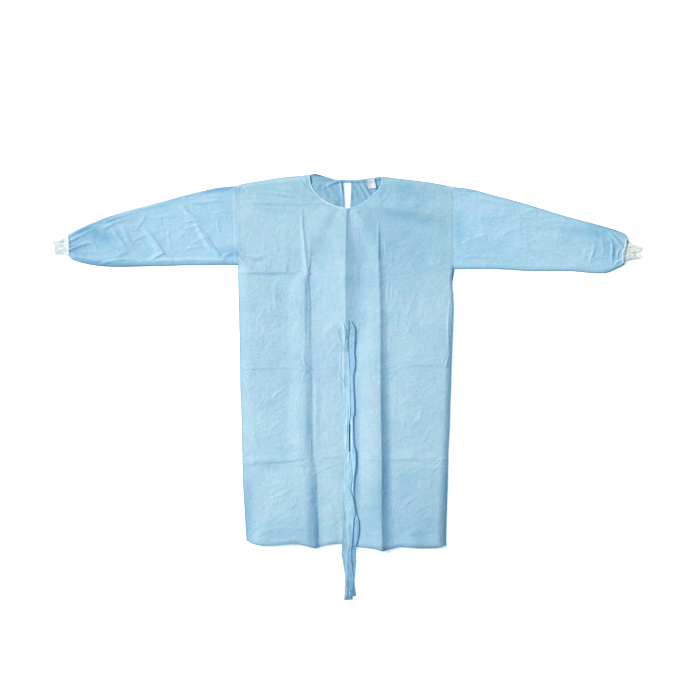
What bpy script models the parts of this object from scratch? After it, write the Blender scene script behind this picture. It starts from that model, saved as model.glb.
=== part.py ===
"""Disposable isolation gown, laid out flat on its back with the arms spread.

Frame: +X to the gown's right-hand side as it is looked down on, +Y towards the
neck, +Z up. The origin is at the bottom centre of the gown's box, on the
surface that it lies on. All tables are in millimetres.
"""

import math

import bmesh
import bpy
from mathutils import Vector
from mathutils.bvhtree import BVHTree

for old in list(bpy.data.objects):
    bpy.data.objects.remove(old, do_unlink=True)

MM = 0.001

# Driving dimensions, in millimetres
WALL = 1.1            # cloth wall, front, back and sleeves
KNIT_WALL = 1.5       # cuff knit
GAP = 0.3             # between pieces at seams and between layers
BODY_PUFF = 1.2       # how far the front floats off the back between its edges
EDGE_FADE = 60.0      # distance from an edge over which that float dies away
NECK_STRIP = 4.6      # width of the neck binding seen on the front
NECK_STRIP_THICK = 1.5
BACK_STRIP = 9.0      # width of the neck binding seen inside the back neck
BACK_STRIP_THICK = 1.2
TIE_WALL = 1.1        # waist tie
LABEL_WALL = 1.0
FOLD_GAP = 0.4        # inside a sleeve's folded edge
HIDDEN_HEM = 3.0      # how much shorter the back is at the hem

# Side edges of the body: y, x of the left edge, x of the right edge
SIDES = (
    (640.0, -344.2, 332.4),
    (620.0, -344.0, 332.4),
    (383.0, -339.5, 332.3),
    (346.0, -339.3, 331.6),
    (246.0, -336.8, 334.0),
    (171.0, -335.6, 331.3),
    (96.0, -333.2, 328.2),
    (-4.0, -332.6, 325.1),
    (-54.0, -330.1, 322.6),
    (-128.0, -327.6, 321.0),
    (-203.0, -326.2, 316.6),
    (-303.0, -323.9, 315.0),
    (-353.0, -320.7, 313.0),
    (-403.0, -317.6, 311.6),
    (-453.0, -314.5, 309.9),
    (-520.0, -310.6, 309.2),
)

# Shoulder line, left and right of the neck: x, y
SHOULDER_LEFT = (
    (-344.2, 626.7), (-327.0, 632.9), (-295.0, 638.0), (-264.0, 642.3),
    (-233.0, 648.5), (-202.0, 653.5), (-171.0, 656.5), (-140.0, 659.4),
    (-116.4, 661.5),
)
SHOULDER_RIGHT = (
    (109.8, 656.3), (125.0, 654.0), (141.0, 651.8), (172.0, 648.5),
    (203.0, 645.4), (234.0, 641.5), (265.0, 636.5), (297.0, 631.5),
    (333.0, 623.5),
)

# Front neckline: x, y
NECK_FRONT = (
    (-116.4, 661.5), (-110.1, 631.0), (-92.4, 602.3), (-67.1, 580.8),
    (-38.7, 566.4), (-11.9, 559.3), (2.5, 557.4), (24.0, 561.1),
    (50.9, 573.6), (74.3, 591.4), (95.8, 612.9), (108.3, 629.3),
    (109.8, 656.3),
)

# Back neck edge: x, y
NECK_BACK = (
    (-116.4, 661.5), (-101.0, 664.8), (-80.0, 660.0), (-59.9, 654.1),
    (-31.5, 646.6), (-12.0, 645.4), (14.0, 645.4), (33.1, 646.0),
    (65.2, 650.0), (108.0, 656.0), (109.8, 656.3),
)

# Hem of the front: x, y
HEM = (
    (-320.0, -478.0), (-311.0, -480.0), (-302.0, -486.0), (-281.0, -492.8),
    (-246.0, -495.3), (-219.0, -494.1), (-174.0, -490.0), (-146.0, -491.6),
    (-99.5, -502.8), (-68.0, -494.0), (-18.0, -489.0), (35.0, -499.7),
    (78.0, -502.8), (110.0, -512.1), (141.0, -505.9), (166.0, -499.5),
    (216.0, -501.8), (271.0, -502.0), (290.0, -500.0), (320.0, -494.0),
)

# Lengthwise lines of the front panel: x at the shoulder, x at the hem
FRONT_LINES = (
    (-318.0, -290.0), (-270.0, -246.0), (-220.0, -205.0), (-180.0, -168.0),
    (-156.0, -132.0), (-140.0, -99.5), (-126.0, -88.0), (-116.4, -78.0),
    (-110.1, -68.0), (-92.4, -57.0), (-67.1, -44.0), (-38.7, -30.0),
    (-11.9, -12.0), (2.5, 6.0), (24.0, 25.0), (50.9, 48.0), (74.3, 76.0),
    (95.8, 110.0), (108.3, 128.0), (109.8, 141.0), (132.0, 158.0),
    (175.0, 190.0), (225.0, 226.0), (278.0, 268.0),
)

# Crosswise lines of the front panel below the neck: y
FRONT_ROWS = (
    -476.0, -430.0, -380.0, -330.0, -290.0, -252.0, -231.0, -210.0, -150.0,
    -90.0, -30.0, 30.0, 56.0, 82.0, 140.0, 200.0, 260.0, 318.0, 349.0,
    380.0, 430.0, 480.0, 525.0, 545.0,
)
UPPER_STEPS = (0.4, 1.0)   # lines between the last row and the top edge

# Folds of the body front, each a soft ridge:
# x and y of one end, x and y of the other, reach to its left, reach to its
# right (looking from the first end to the second), height
BODY_FOLDS = (
    (-139.8, 548.0, -121.0, 360.0, 40.0, 30.0, 2.2),   # left fold, upper part
    (-121.0, 360.0, -117.0, -200.0, 40.0, 36.0, 2.0),  # left fold, lower part
    (-101.5, -317.0, -99.5, -500.0, 42.0, 34.0, 2.0),  # left fold at the hem
    (2.0, 556.0, 6.0, 240.0, 36.0, 36.0, 2.0),         # centre fold above the tie
    (101.4, 520.0, 104.0, 271.0, 50.0, 34.0, 2.2),     # right fold, upper part
    (104.0, 271.0, 110.0, -512.0, 52.0, 40.0, 3.0),    # right fold, lower part
    (-339.0, 349.0, -121.0, 352.0, 26.0, 26.0, 1.5),   # cross fold, chest, left
    (-333.0, 52.0, -121.0, 56.0, 24.0, 26.0, 1.2),     # cross fold, hip, left
    (135.0, 62.0, 325.0, 62.0, 24.0, 26.0, 1.2),       # cross fold, hip, right
    (-326.0, -236.0, -110.0, -229.0, 22.0, 26.0, 1.4), # cross fold, knee, left
    (125.0, -231.0, 316.0, -229.0, 22.0, 26.0, 1.4),   # cross fold, knee, right
)

# Folds of the left sleeve's upper layer, same columns
SLEEVE_FOLDS_LEFT = (
    (-520.0, 571.0, -423.0, 444.0, 34.0, 30.0, 1.6),
    (-423.0, 444.0, -389.0, 392.0, 30.0, 30.0, 1.4),
    (-631.0, 497.0, -571.0, 419.0, 30.0, 30.0, 1.4),
    (-571.0, 419.0, -525.0, 397.0, 26.0, 26.0, 1.0),
    (-731.0, 489.0, -684.0, 424.0, 34.0, 34.0, 1.4),
    (-863.0, 425.0, -757.0, 386.0, 26.0, 30.0, 1.4),
    (-742.0, 493.0, -676.0, 511.0, 24.0, 28.0, 1.0),
)

# Folds of the right sleeve's upper layer
SLEEVE_FOLDS_RIGHT = (
    (400.0, 586.0, 515.0, 564.0, 26.0, 30.0, 1.2),
    (559.0, 542.0, 594.0, 543.0, 26.0, 26.0, 1.0),
    (541.0, 533.0, 537.0, 461.0, 24.0, 26.0, 1.2),
    (772.0, 441.0, 759.0, 374.0, 24.0, 26.0, 1.2),
    (776.0, 486.0, 786.0, 455.0, 24.0, 26.0, 1.0),
    (818.0, 478.0, 838.0, 398.0, 24.0, 24.0, 1.4),
    (350.0, 470.0, 434.0, 437.0, 26.0, 28.0, 1.2),
)

# Sections of the left sleeve, from the armhole out:
# x and y on the top edge, x and y on the underarm edge, float of the top layer
SLEEVE_LEFT = (
    (-344.6, 626.7, -339.8, 380.3, 0.6),
    (-372.0, 624.5, -368.0, 380.2, 1.0),
    (-402.0, 621.3, -399.0, 380.2, 1.2),
    (-432.0, 615.0, -430.0, 380.2, 1.2),
    (-466.0, 607.3, -462.0, 380.0, 1.1),
    (-500.0, 599.0, -496.0, 379.5, 1.1),
    (-535.0, 589.0, -530.0, 378.5, 1.1),
    (-570.0, 578.7, -565.0, 377.3, 1.2),
    (-605.0, 570.0, -600.0, 376.5, 1.2),
    (-640.0, 560.8, -635.0, 376.0, 1.1),
    (-675.0, 551.0, -669.0, 375.0, 1.1),
    (-705.0, 543.0, -700.0, 374.0, 1.1),
    (-735.0, 533.5, -731.0, 374.6, 1.2),
    (-765.0, 523.3, -762.0, 376.4, 1.3),
    (-794.0, 511.2, -791.0, 380.0, 1.3),
    (-820.0, 499.3, -817.0, 385.0, 1.2),
    (-843.0, 488.2, -839.0, 390.0, 1.1),
    (-859.0, 479.6, -856.0, 397.0, 0.9),
    (-870.6, 473.2, -869.6, 409.8, 0.6),
)

# Sections of the right sleeve, same columns
SLEEVE_RIGHT = (
    (332.8, 623.4, 332.6, 366.8, 0.6),
    (362.0, 620.4, 362.0, 367.2, 1.0),
    (392.0, 616.7, 392.0, 367.7, 1.2),
    (424.0, 607.3, 424.0, 367.7, 1.2),
    (456.0, 598.0, 456.0, 367.5, 1.1),
    (490.0, 589.8, 490.0, 366.0, 1.1),
    (524.0, 580.7, 524.0, 364.0, 1.1),
    (558.0, 570.7, 558.0, 362.0, 1.1),
    (592.0, 560.2, 592.0, 361.6, 1.1),
    (626.0, 549.8, 626.0, 361.5, 1.1),
    (660.0, 539.5, 660.0, 361.5, 1.1),
    (694.0, 529.3, 694.0, 361.2, 1.1),
    (728.0, 520.3, 728.0, 358.6, 1.2),
    (760.0, 512.5, 758.0, 355.6, 1.3),
    (790.0, 504.0, 783.0, 354.6, 1.3),
    (816.0, 496.3, 802.0, 354.6, 1.3),
    (838.0, 489.5, 818.0, 358.0, 1.2),
    (858.0, 483.3, 838.0, 367.3, 1.1),
    (870.0, 474.5, 855.0, 375.0, 0.9),
    (875.5, 464.4, 866.3, 382.0, 0.6),
)

# Sections of the cuffs, from the sleeve out:
# x and y on the top edge, x and y on the lower edge, float of the top layer
CUFF_LEFT = (
    (-871.0, 471.0, -870.0, 411.4, 0.5),
    (-878.0, 466.8, -878.0, 413.6, 0.9),
    (-890.0, 462.4, -890.0, 413.4, 1.2),
    (-901.0, 458.6, -901.0, 412.8, 1.5),
    (-910.4, 455.2, -910.4, 412.3, 1.8),
)
CUFF_RIGHT = (
    (875.8, 459.0, 867.2, 389.0, 0.5),
    (881.5, 453.5, 875.0, 392.4, 0.9),
    (889.5, 444.6, 886.0, 395.6, 1.3),
    (898.5, 441.7, 896.0, 397.8, 1.6),
    (907.5, 438.8, 905.5, 400.4, 1.9),
)

# How far a cuff's lips reach past its last section:
# place across the cuff from the lower edge (0) to the top edge (1), reach
LIPS_LEFT = ((0.0, 0.3), (0.55, 0.4), (0.68, 0.2), (0.85, 8.1), (0.93, 5.5), (1.0, 0.8))
LIPS_RIGHT = ((0.0, 8.5), (0.12, 12.8), (0.33, 10.0), (0.45, 0.3), (0.7, 9.0), (0.9, 10.2), (1.0, 9.6))

# Waist tie, from its stitched middle down. The strip is doubled: the lower
# tail lies on the gown and the upper tail on that.
# y, left and right edge of the upper tail, left and right of the lower tail
TIE = (
    (206.0, -14.0, 12.5, -13.0, 13.5),
    (184.0, -29.5, 21.0, -18.0, 25.0),
    (158.0, -24.0, 18.5, -12.0, 26.6),
    (136.0, -17.5, 17.0, -9.0, 25.4),
    (106.0, -20.5, 16.0, -9.0, 24.6),
    (80.0, -24.0, 15.0, -8.0, 26.6),
    (56.0, -26.0, 13.5, -8.5, 25.2),
    (22.0, -24.0, 13.0, -12.0, 20.4),
    (-40.0, -19.0, 12.0, -11.0, 23.2),
    (-90.0, -12.5, 11.5, -10.0, 23.0),
    (-150.0, -10.6, 10.6, -10.0, 21.0),
    (-197.0, -10.4, 12.0, -6.0, 27.4),
    (-231.0, -10.4, 16.0, -3.0, 28.9),
    (-288.0, -10.2, 19.0, -9.0, 22.6),
    (-340.0, -9.4, 20.0, -9.0, 24.0),
    (-388.0, -13.5, 21.8, -3.0, 29.4),
    (-412.0, -17.8, 22.4, 4.0, 35.0),
    (-427.0, -17.6, 21.2, 9.0, 40.4),
    (-450.0, -17.2, 19.0, 9.0, 40.2),
    (-478.0, -16.5, 16.8, 7.0, 36.0),
    (-499.0, -14.6, 15.6, 3.0, 29.5),
    (-524.0, -16.8, 14.8, -3.0, 27.4),
    (-545.0, -12.4, 18.0, -3.0, 27.2),
    (-590.0, -5.9, 22.6, -6.0, 24.6),
    (-628.0, -5.2, 20.6, -6.0, 24.6),
    (-650.0, -6.8, 19.2, -4.0, 28.2),
)
TIE_UPPER_END = (-664.8, -8.4, 18.1)    # y, left, right of the upper tail's end
TIE_FOLD_REACH = 1.8                    # how far the doubled end stands past its last row

# Centre-back edges: y, x of the left panel's edge, x of the right panel's edge
BACK_EDGES = (
    (660.0, -10.6, 13.4),
    (636.0, -10.0, 12.5),
    (564.0, -5.3, 9.7),
    (300.0, -1.0, 1.6),
    (-520.0, -0.8, 0.8),
)
BACK_ROWS = (-440.0, -300.0, -150.0, 0.0, 150.0, 280.0, 380.0, 470.0, 560.0, 625.0)
BACK_LINES = (0.2, 0.4, 0.6, 0.8)   # lengthwise lines, as shares of a back panel's width

# Size label: x and y of its corners, from the neck end, left then right
LABEL = ((63.6, 645.6, 86.1, 651.2), (65.2, 634.6, 88.4, 638.4), (67.4, 617.5, 91.4, 619.6))


def table(rows, at, column, key=0):
    """Value of a column of a table at a place between its rows."""
    ordered = sorted(rows, key=lambda row: row[key])
    if at <= ordered[0][key]:
        return ordered[0][column]
    for low, high in zip(ordered, ordered[1:]):
        if at <= high[key]:
            share = (at - low[key]) / (high[key] - low[key])
            return low[column] + share * (high[column] - low[column])
    return ordered[-1][column]


def ease(share):
    share = min(max(share, 0.0), 1.0)
    return share * share * (3.0 - 2.0 * share)


def folds_height(folds, x, y):
    """Height that a table of folds adds at a point, each fading at its ends."""
    height = 0.0
    for x0, y0, x1, y1, left, right, rise in folds:
        dx, dy = x1 - x0, y1 - y0
        length = math.hypot(dx, dy)
        along = ((x - x0) * dx + (y - y0) * dy) / length
        side = ((x - x0) * dy - (y - y0) * dx) / length
        reach = right if side > 0 else left
        over = max(-along, along - length, 0.0)
        height = max(height, rise * ease(1 - abs(side) / reach) * ease(1 - over / 25.0))
    return height


def shoulder_y(x):
    return table(SHOULDER_LEFT if x < 0 else SHOULDER_RIGHT, x, 1)


def front_top_y(x):
    if -116.4 <= x <= 109.8:
        return table(NECK_FRONT, x, 1)
    return shoulder_y(x)


def back_top_y(x):
    if -116.4 <= x <= 109.8:
        return table(NECK_BACK, x, 1)
    return shoulder_y(x)


def front_rise(x, y):
    """Height of the front's underside over the back: a slight float, and the folds."""
    side = min(x - table(SIDES, y, 1), table(SIDES, y, 2) - x)
    end = min(y - table(HEM, x, 1), front_top_y(x) - y)
    inside = ease(side / EDGE_FADE) * (0.25 + 0.75 * ease(end / EDGE_FADE))
    near_neck = ease((front_top_y(x) - y) / 25.0)
    folds = folds_height(BODY_FOLDS, x, y) * (0.25 + 0.75 * ease(side / 20.0))
    return BODY_PUFF * inside + folds * (near_neck if -116.4 < x < 109.8 else 1.0)


def material(name, colour, roughness):
    made = bpy.data.materials.new(name)
    made.use_nodes = True
    shader = made.node_tree.nodes["Principled BSDF"]
    shader.inputs["Base Color"].default_value = (*colour, 1.0)
    shader.inputs["Roughness"].default_value = roughness
    shader.inputs["Metallic"].default_value = 0.0
    return made


NONWOVEN = material("light_blue_nonwoven", (0.42, 0.66, 0.84), 0.6)
NONWOVEN_INSIDE = material("inner_face_nonwoven", (0.30, 0.52, 0.68), 0.65)
NONWOVEN_STRIP = material("light_blue_strip", (0.45, 0.70, 0.88), 0.6)
KNIT = material("off_white_knit", (0.70, 0.75, 0.73), 0.9)
LABEL_TAPE = material("white_label_tape", (0.85, 0.86, 0.86), 0.5)


def finish_object(name, bm, look):
    bmesh.ops.recalc_face_normals(bm, faces=bm.faces)
    if bm.calc_volume(signed=True) < 0:
        bmesh.ops.reverse_faces(bm, faces=bm.faces)
    mesh = bpy.data.meshes.new(name)
    bm.to_mesh(mesh)
    bm.free()
    made = bpy.data.objects.new(name, mesh)
    bpy.context.scene.collection.objects.link(made)
    mesh.materials.append(look)
    mesh.shade_smooth()
    mesh.set_sharp_from_angle(angle=math.radians(35))
    return made


def raised_panel(name, grid, look, wall=WALL):
    """A grid of underside points, extruded straight up by the cloth's wall."""
    bm = bmesh.new()
    rows = [[bm.verts.new(Vector(point) * MM) for point in row] for row in grid]
    for low, high in zip(rows, rows[1:]):
        for a, b, c, d in zip(low, low[1:], high[1:], high):
            bm.faces.new((a, b, c, d))
    raised = bmesh.ops.extrude_face_region(bm, geom=list(bm.faces))
    lifted = [item for item in raised["geom"] if isinstance(item, bmesh.types.BMVert)]
    bmesh.ops.translate(bm, verts=lifted, vec=(0, 0, wall * MM))
    return finish_object(name, bm, look)


def front_grid():
    grid = []

    def line_x(line, y):
        share = (620.0 - y) / (620.0 + 495.0)
        return line[0] + share * (line[1] - line[0])

    def row_points(y_of, edge_y):
        low_x, high_x = table(SIDES, edge_y, 1), table(SIDES, edge_y, 2)
        xs = [low_x] + [line_x(line, edge_y) for line in FRONT_LINES] + [high_x]
        return [(x, y_of(x)) for x in xs]

    flat_rows = [row_points(lambda x: table(HEM, x, 1), -500.0)]
    flat_rows += [row_points(lambda x, y=y: y, y) for y in FRONT_ROWS]
    last = FRONT_ROWS[-1]
    top_x = [-344.2] + [line[0] for line in FRONT_LINES] + [332.4]
    below = [point[0] for point in flat_rows[-1]]
    for step in UPPER_STEPS:
        row = []
        for x_low, x_high in zip(below, top_x):
            x = x_low + step * (x_high - x_low)
            row.append((x, last + step * (front_top_y(x_high) - last)))
        flat_rows.append(row)
    for row in flat_rows:
        grid.append([(x, y, WALL + GAP + front_rise(x, y)) for x, y in row])
    return grid


def back_grid(side):
    """Back panel: side 1 is the left one and 2 the right one."""
    grid = []
    for row in (None, *BACK_ROWS, "top"):
        y = -500.0 if row is None else 640.0 if row == "top" else row
        outer, inner = table(SIDES, y, side), table(BACK_EDGES, y, side)
        xs = [outer + share * (inner - outer) for share in (0.0, *BACK_LINES, 1.0)]
        if row == "top":
            xs = back_top_lines(outer, inner)
        elif y > 500.0:
            top = back_top_lines(table(SIDES, 640.0, side), table(BACK_EDGES, 640.0, side))
            share = (y - 500.0) / 140.0
            xs = [x + share * (t - x) for x, t in zip(refined(xs), top)]
            xs[0], xs[-1] = outer, inner
        else:
            xs = refined(xs)
        xs = sorted(xs)
        if row is None:
            grid.append([(x, table(HEM, x, 1) + HIDDEN_HEM, 0.0) for x in xs])
        elif row == "top":
            grid.append([(x, back_top_y(x), 0.0) for x in xs])
        else:
            grid.append([(x, y, 0.0) for x in xs])
    return grid


def refined(xs):
    """Each stretch between lengthwise lines, halved."""
    halves = [(a + b) / 2 for a, b in zip(xs, xs[1:])]
    return [x for pair in zip(xs, halves) for x in pair] + [xs[-1]]


def back_top_lines(outer, inner):
    """Ends of the lengthwise lines on the shoulder and the back neck edge."""
    if outer < 0:
        return [outer, -300.0, -233.0, -171.0, -140.0, -116.4, -101.0, -80.0, -59.9, -31.5, inner]
    return [outer, 297.0, 250.0, 203.0, 160.0, 125.0, 109.8, 87.0, 65.2, 33.1, inner]


def tube(name, sections, folds, look, wall, across, lips=None):
    """A flattened tube of cloth, open at both ends.

    Each section is a ring: its lower half lies flat, its upper half rests on
    it with a slight float and the folds, and the two meet in rounded edges.
    """
    outward = 1.0 if sections[-1][0] > 0 else -1.0

    def section_points(section, edge, shares, lifts):
        x1, y1, x0, y0, _ = section
        length = math.hypot(x1 - x0, y1 - y0)
        margin = edge / length
        points = []
        for share, z in zip(shares, lifts):
            t = margin + share * (1 - 2 * margin)
            x, y = x0 + t * (x1 - x0), y0 + t * (y1 - y0)
            if lips and section is sections[-1]:
                x += outward * table(lips, t, 1)
            points.append((x, y, z))
        return points

    shares = [0.5 - 0.5 * math.cos(math.pi * i / across) for i in range(across + 1)]
    shares = [0.5 * share + 0.5 * i / across for i, share in enumerate(shares)]

    def upper(section, share, extra):
        x1, y1, x0, y0, rise = section
        x, y = x0 + share * (x1 - x0), y0 + share * (y1 - y0)
        bulge = ease(min(share, 1 - share) * 4.0)
        end = min(abs(x - sections[0][0]), abs(x - sections[-1][0]))
        lift = rise * bulge + folds_height(folds, x, y) * bulge * (0.3 + 0.7 * ease(end / 25.0))
        return wall + FOLD_GAP + lift + extra

    bm = bmesh.new()
    outer_rings, inner_rings = [], []
    for section in sections:
        last = len(shares) - 1
        low = [0.0 if 0 < i < last else (wall + FOLD_GAP / 2) for i in range(len(shares))]
        high = [upper(section, share, wall) for share in shares]
        ring = section_points(section, 0.0, shares, low)
        ring += section_points(section, 0.0, shares[1:-1], high[1:-1])[::-1]
        outer_rings.append([bm.verts.new(Vector(p) * MM) for p in ring])
        low = [wall if 0 < i < last else (wall + FOLD_GAP / 2) for i in range(len(shares))]
        high = [upper(section, share, 0.0) for share in shares]
        ring = section_points(section, wall * 1.6, shares, low)
        ring += section_points(section, wall * 1.6, shares[1:-1], high[1:-1])[::-1]
        inner_rings.append([bm.verts.new(Vector(p) * MM) for p in ring])

    def skin(rings, inward):
        for first, second in zip(rings, rings[1:]):
            for i in range(len(first)):
                j = (i + 1) % len(first)
                face = (first[i], first[j], second[j], second[i])
                bm.faces.new(face[::-1] if inward else face)

    skin(outer_rings, False)
    skin(inner_rings, True)
    for outside, inside in ((outer_rings[0], inner_rings[0]), (outer_rings[-1], inner_rings[-1])):
        for i in range(len(outside)):
            j = (i + 1) % len(outside)
            bm.faces.new((outside[i], outside[j], inside[j], inside[i]))
    return finish_object(name, bm, look)


def band(name, outer, inner, low, high, look):
    """A flat strip between two edge lines, from one height to another."""
    bm = bmesh.new()
    corners = []
    for (xo, yo), (xi, yi) in zip(outer, inner):
        corners.append([
            bm.verts.new(Vector(p) * MM)
            for p in ((xo, yo, low), (xi, yi, low), (xi, yi, high), (xo, yo, high))
        ])
    for first, second in zip(corners, corners[1:]):
        for i in range(4):
            j = (i + 1) % 4
            bm.faces.new((first[i], first[j], second[j], second[i]))
    bm.faces.new(corners[0])
    bm.faces.new(corners[-1][::-1])
    return finish_object(name, bm, look)


def offset_line(points, distance):
    """A line beside another, to the left of its direction."""
    moved = []
    for i, (x, y) in enumerate(points):
        x0, y0 = points[max(i - 1, 0)]
        x1, y1 = points[min(i + 1, len(points) - 1)]
        length = math.hypot(x1 - x0, y1 - y0)
        moved.append((x - (y1 - y0) / length * distance, y + (x1 - x0) / length * distance))
    return moved


def waist_tie(front, look):
    """The doubled tie, laid on the front's own surface and on the ground past the hem."""
    bm = bmesh.new()
    bm.from_mesh(front.data)
    surface = BVHTree.FromBMesh(bm)
    bm.free()

    def ground(y_low, y_high, left, right):
        top = 0.0
        for i in range(7):
            y = y_low + (y_high - y_low) * i / 6
            for k in range(7):
                x = left - 3 + (right - left + 6) * k / 6
                hit = surface.ray_cast(Vector((x * MM, y * MM, 1.0)), Vector((0, 0, -1)))[0]
                if hit is not None:
                    top = max(top, hit.z / MM + GAP)
        return top

    rests = []
    for i, row in enumerate(TIE):
        above, below = TIE[max(i - 1, 0)][0], TIE[min(i + 1, len(TIE) - 1)][0]
        rests.append(ground(below, above, min(row[1], row[3]), max(row[2], row[4])))

    def across(left, right):
        return [left + (right - left) * share for share in (0.0, 0.5, 1.0)]

    outer, inner = [], []          # the strip's two faces, from the lower tail's end round
    for row, rest in reversed(list(zip(TIE, rests))):
        y, _, _, left, right = row
        outer.append([(x, y, rest) for x in across(left, right)])
        inner.append([(x, y, rest + TIE_WALL) for x in across(left, right)])
    y, left, right = TIE[0][0], TIE[0][1], TIE[0][2]
    middle = rests[0] + TIE_WALL + GAP / 2
    outer.append([(x, y + TIE_FOLD_REACH, middle) for x in across(left, right)])
    inner.append([(x, y + TIE_FOLD_REACH / 3, middle) for x in across(left, right)])
    upper = [(row[0], row[1], row[2], rest) for row, rest in zip(TIE, rests)]
    upper.append((*TIE_UPPER_END, rests[-1]))
    for y, left, right, rest in upper:
        low = rest + TIE_WALL + GAP
        outer.append([(x, y, low + TIE_WALL) for x in across(left, right)])
        inner.append([(x, y, low) for x in across(left, right)])

    bm = bmesh.new()
    faces = [[[bm.verts.new(Vector(p) * MM) for p in row] for row in side] for side in (outer, inner)]
    outer, inner = faces
    for i in range(len(outer) - 1):
        for k in range(2):
            bm.faces.new((outer[i][k], outer[i][k + 1], outer[i + 1][k + 1], outer[i + 1][k]))
            bm.faces.new((inner[i + 1][k], inner[i + 1][k + 1], inner[i][k + 1], inner[i][k]))
        for k in (0, 2):
            bm.faces.new((outer[i][k], outer[i + 1][k], inner[i + 1][k], inner[i][k]))
    for i in (0, len(outer) - 1):
        for k in range(2):
            bm.faces.new((outer[i][k], outer[i][k + 1], inner[i][k + 1], inner[i][k]))
    return finish_object("waist_tie", bm, look)


def label():
    grid = []
    binding_top = WALL + GAP + BACK_STRIP_THICK + GAP
    for i, (x0, y0, x1, y1) in enumerate(LABEL):
        z = binding_top if i < 2 else WALL + GAP
        grid.append([(x0, y0, z), ((x0 + x1) / 2, (y0 + y1) / 2, z), (x1, y1, z)])
    return raised_panel("label", grid[::-1], LABEL_TAPE, LABEL_WALL)


front_panel = raised_panel("front_panel", front_grid(), NONWOVEN)
raised_panel("back_panel_left", back_grid(1), NONWOVEN_INSIDE)
raised_panel("back_panel_right", back_grid(2), NONWOVEN_INSIDE)
tube("sleeve_left", SLEEVE_LEFT, SLEEVE_FOLDS_LEFT, NONWOVEN, WALL, 12)
tube("sleeve_right", SLEEVE_RIGHT, SLEEVE_FOLDS_RIGHT, NONWOVEN, WALL, 12)
tube("cuff_left", CUFF_LEFT, (), KNIT, KNIT_WALL, 10, LIPS_LEFT)
tube("cuff_right", CUFF_RIGHT, (), KNIT, KNIT_WALL, 10, LIPS_RIGHT)

neck = [(x, y) for x, y in NECK_FRONT]
band(
    "neck_binding_front",
    offset_line(neck, GAP),
    offset_line(neck, GAP + NECK_STRIP),
    WALL + GAP,
    WALL + GAP + NECK_STRIP_THICK,
    NONWOVEN_STRIP,
)
back_neck = [(x, y) for x, y in NECK_BACK if -106.0 < x < 100.0] + [(100.5, 655.0)]
band(
    "neck_binding_back",
    offset_line(back_neck, -0.2),
    offset_line(back_neck, -BACK_STRIP),
    WALL + GAP,
    WALL + GAP + BACK_STRIP_THICK,
    NONWOVEN_STRIP,
)
waist_tie(front_panel, NONWOVEN_STRIP)
label()
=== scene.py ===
import math

import bmesh
import bpy
import numpy as np
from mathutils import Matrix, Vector
from mathutils.bvhtree import BVHTree


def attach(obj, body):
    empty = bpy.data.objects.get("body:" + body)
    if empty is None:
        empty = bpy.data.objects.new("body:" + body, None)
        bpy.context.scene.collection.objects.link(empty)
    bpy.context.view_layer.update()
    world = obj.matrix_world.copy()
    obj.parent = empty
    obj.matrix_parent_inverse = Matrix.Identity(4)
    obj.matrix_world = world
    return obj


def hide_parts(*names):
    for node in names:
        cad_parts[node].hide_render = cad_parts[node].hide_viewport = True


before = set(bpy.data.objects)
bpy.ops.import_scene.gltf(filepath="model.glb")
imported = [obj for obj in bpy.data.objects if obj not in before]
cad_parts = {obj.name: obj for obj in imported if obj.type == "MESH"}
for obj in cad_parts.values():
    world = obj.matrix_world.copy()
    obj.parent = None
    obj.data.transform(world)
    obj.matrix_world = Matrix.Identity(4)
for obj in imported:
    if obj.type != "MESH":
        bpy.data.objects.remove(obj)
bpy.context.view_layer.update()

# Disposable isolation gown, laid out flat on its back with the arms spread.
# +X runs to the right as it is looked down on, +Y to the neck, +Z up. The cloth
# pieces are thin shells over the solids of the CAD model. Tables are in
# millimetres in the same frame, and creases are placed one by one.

MM = 0.001

CLOTH = 0.5          # thickness of the nonwoven
FLOAT = 1.35         # lowest height of the front's upper face over the ground
CREASE_PAINTED_SHADE = 1.1          # painted shade in a crease's bottom, per millimetre of depth
SEAM_HALF = 1.6      # half width of the dip at an armhole seam

# ---------------------------------------------------------------- outlines
# Side edges of the body: y, x of the left edge, x of the right edge
SIDES = (
    (640.0, -344.2, 332.4), (620.0, -344.0, 332.4), (383.0, -339.5, 332.3),
    (372.0, -339.4, 331.8), (356.0, -339.4, 330.0), (342.0, -339.2, 327.6),
    (322.0, -338.8, 327.9), (300.0, -338.2, 330.4), (270.0, -337.4, 332.6),
    (246.0, -336.8, 333.4), (210.0, -336.0, 332.6), (171.0, -335.2, 331.0),
    (130.0, -334.2, 329.4), (96.0, -333.2, 328.0), (48.0, -333.0, 326.4),
    (-4.0, -332.4, 325.0), (-54.0, -330.1, 322.8), (-128.0, -327.8, 321.0),
    (-203.0, -326.2, 317.0), (-260.0, -325.2, 315.8), (-303.0, -323.9, 315.0),
    (-353.0, -320.9, 313.2), (-403.0, -317.6, 311.6), (-453.0, -314.7, 310.1),
    (-520.0, -310.6, 309.2),
)
# Shoulder line, left and right of the neck: x, y
SHOULDER_LEFT = (
    (-344.2, 626.7), (-327.0, 632.6), (-295.0, 638.6), (-264.0, 643.0),
    (-233.0, 648.6), (-202.0, 653.2), (-171.0, 656.5), (-140.0, 659.2),
    (-116.4, 661.5),
)
SHOULDER_RIGHT = (
    (109.8, 656.3), (125.0, 654.4), (141.0, 652.2), (172.0, 648.5),
    (203.0, 645.0), (234.0, 641.0), (265.0, 636.5), (297.0, 631.0),
    (333.0, 623.5),
)
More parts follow.
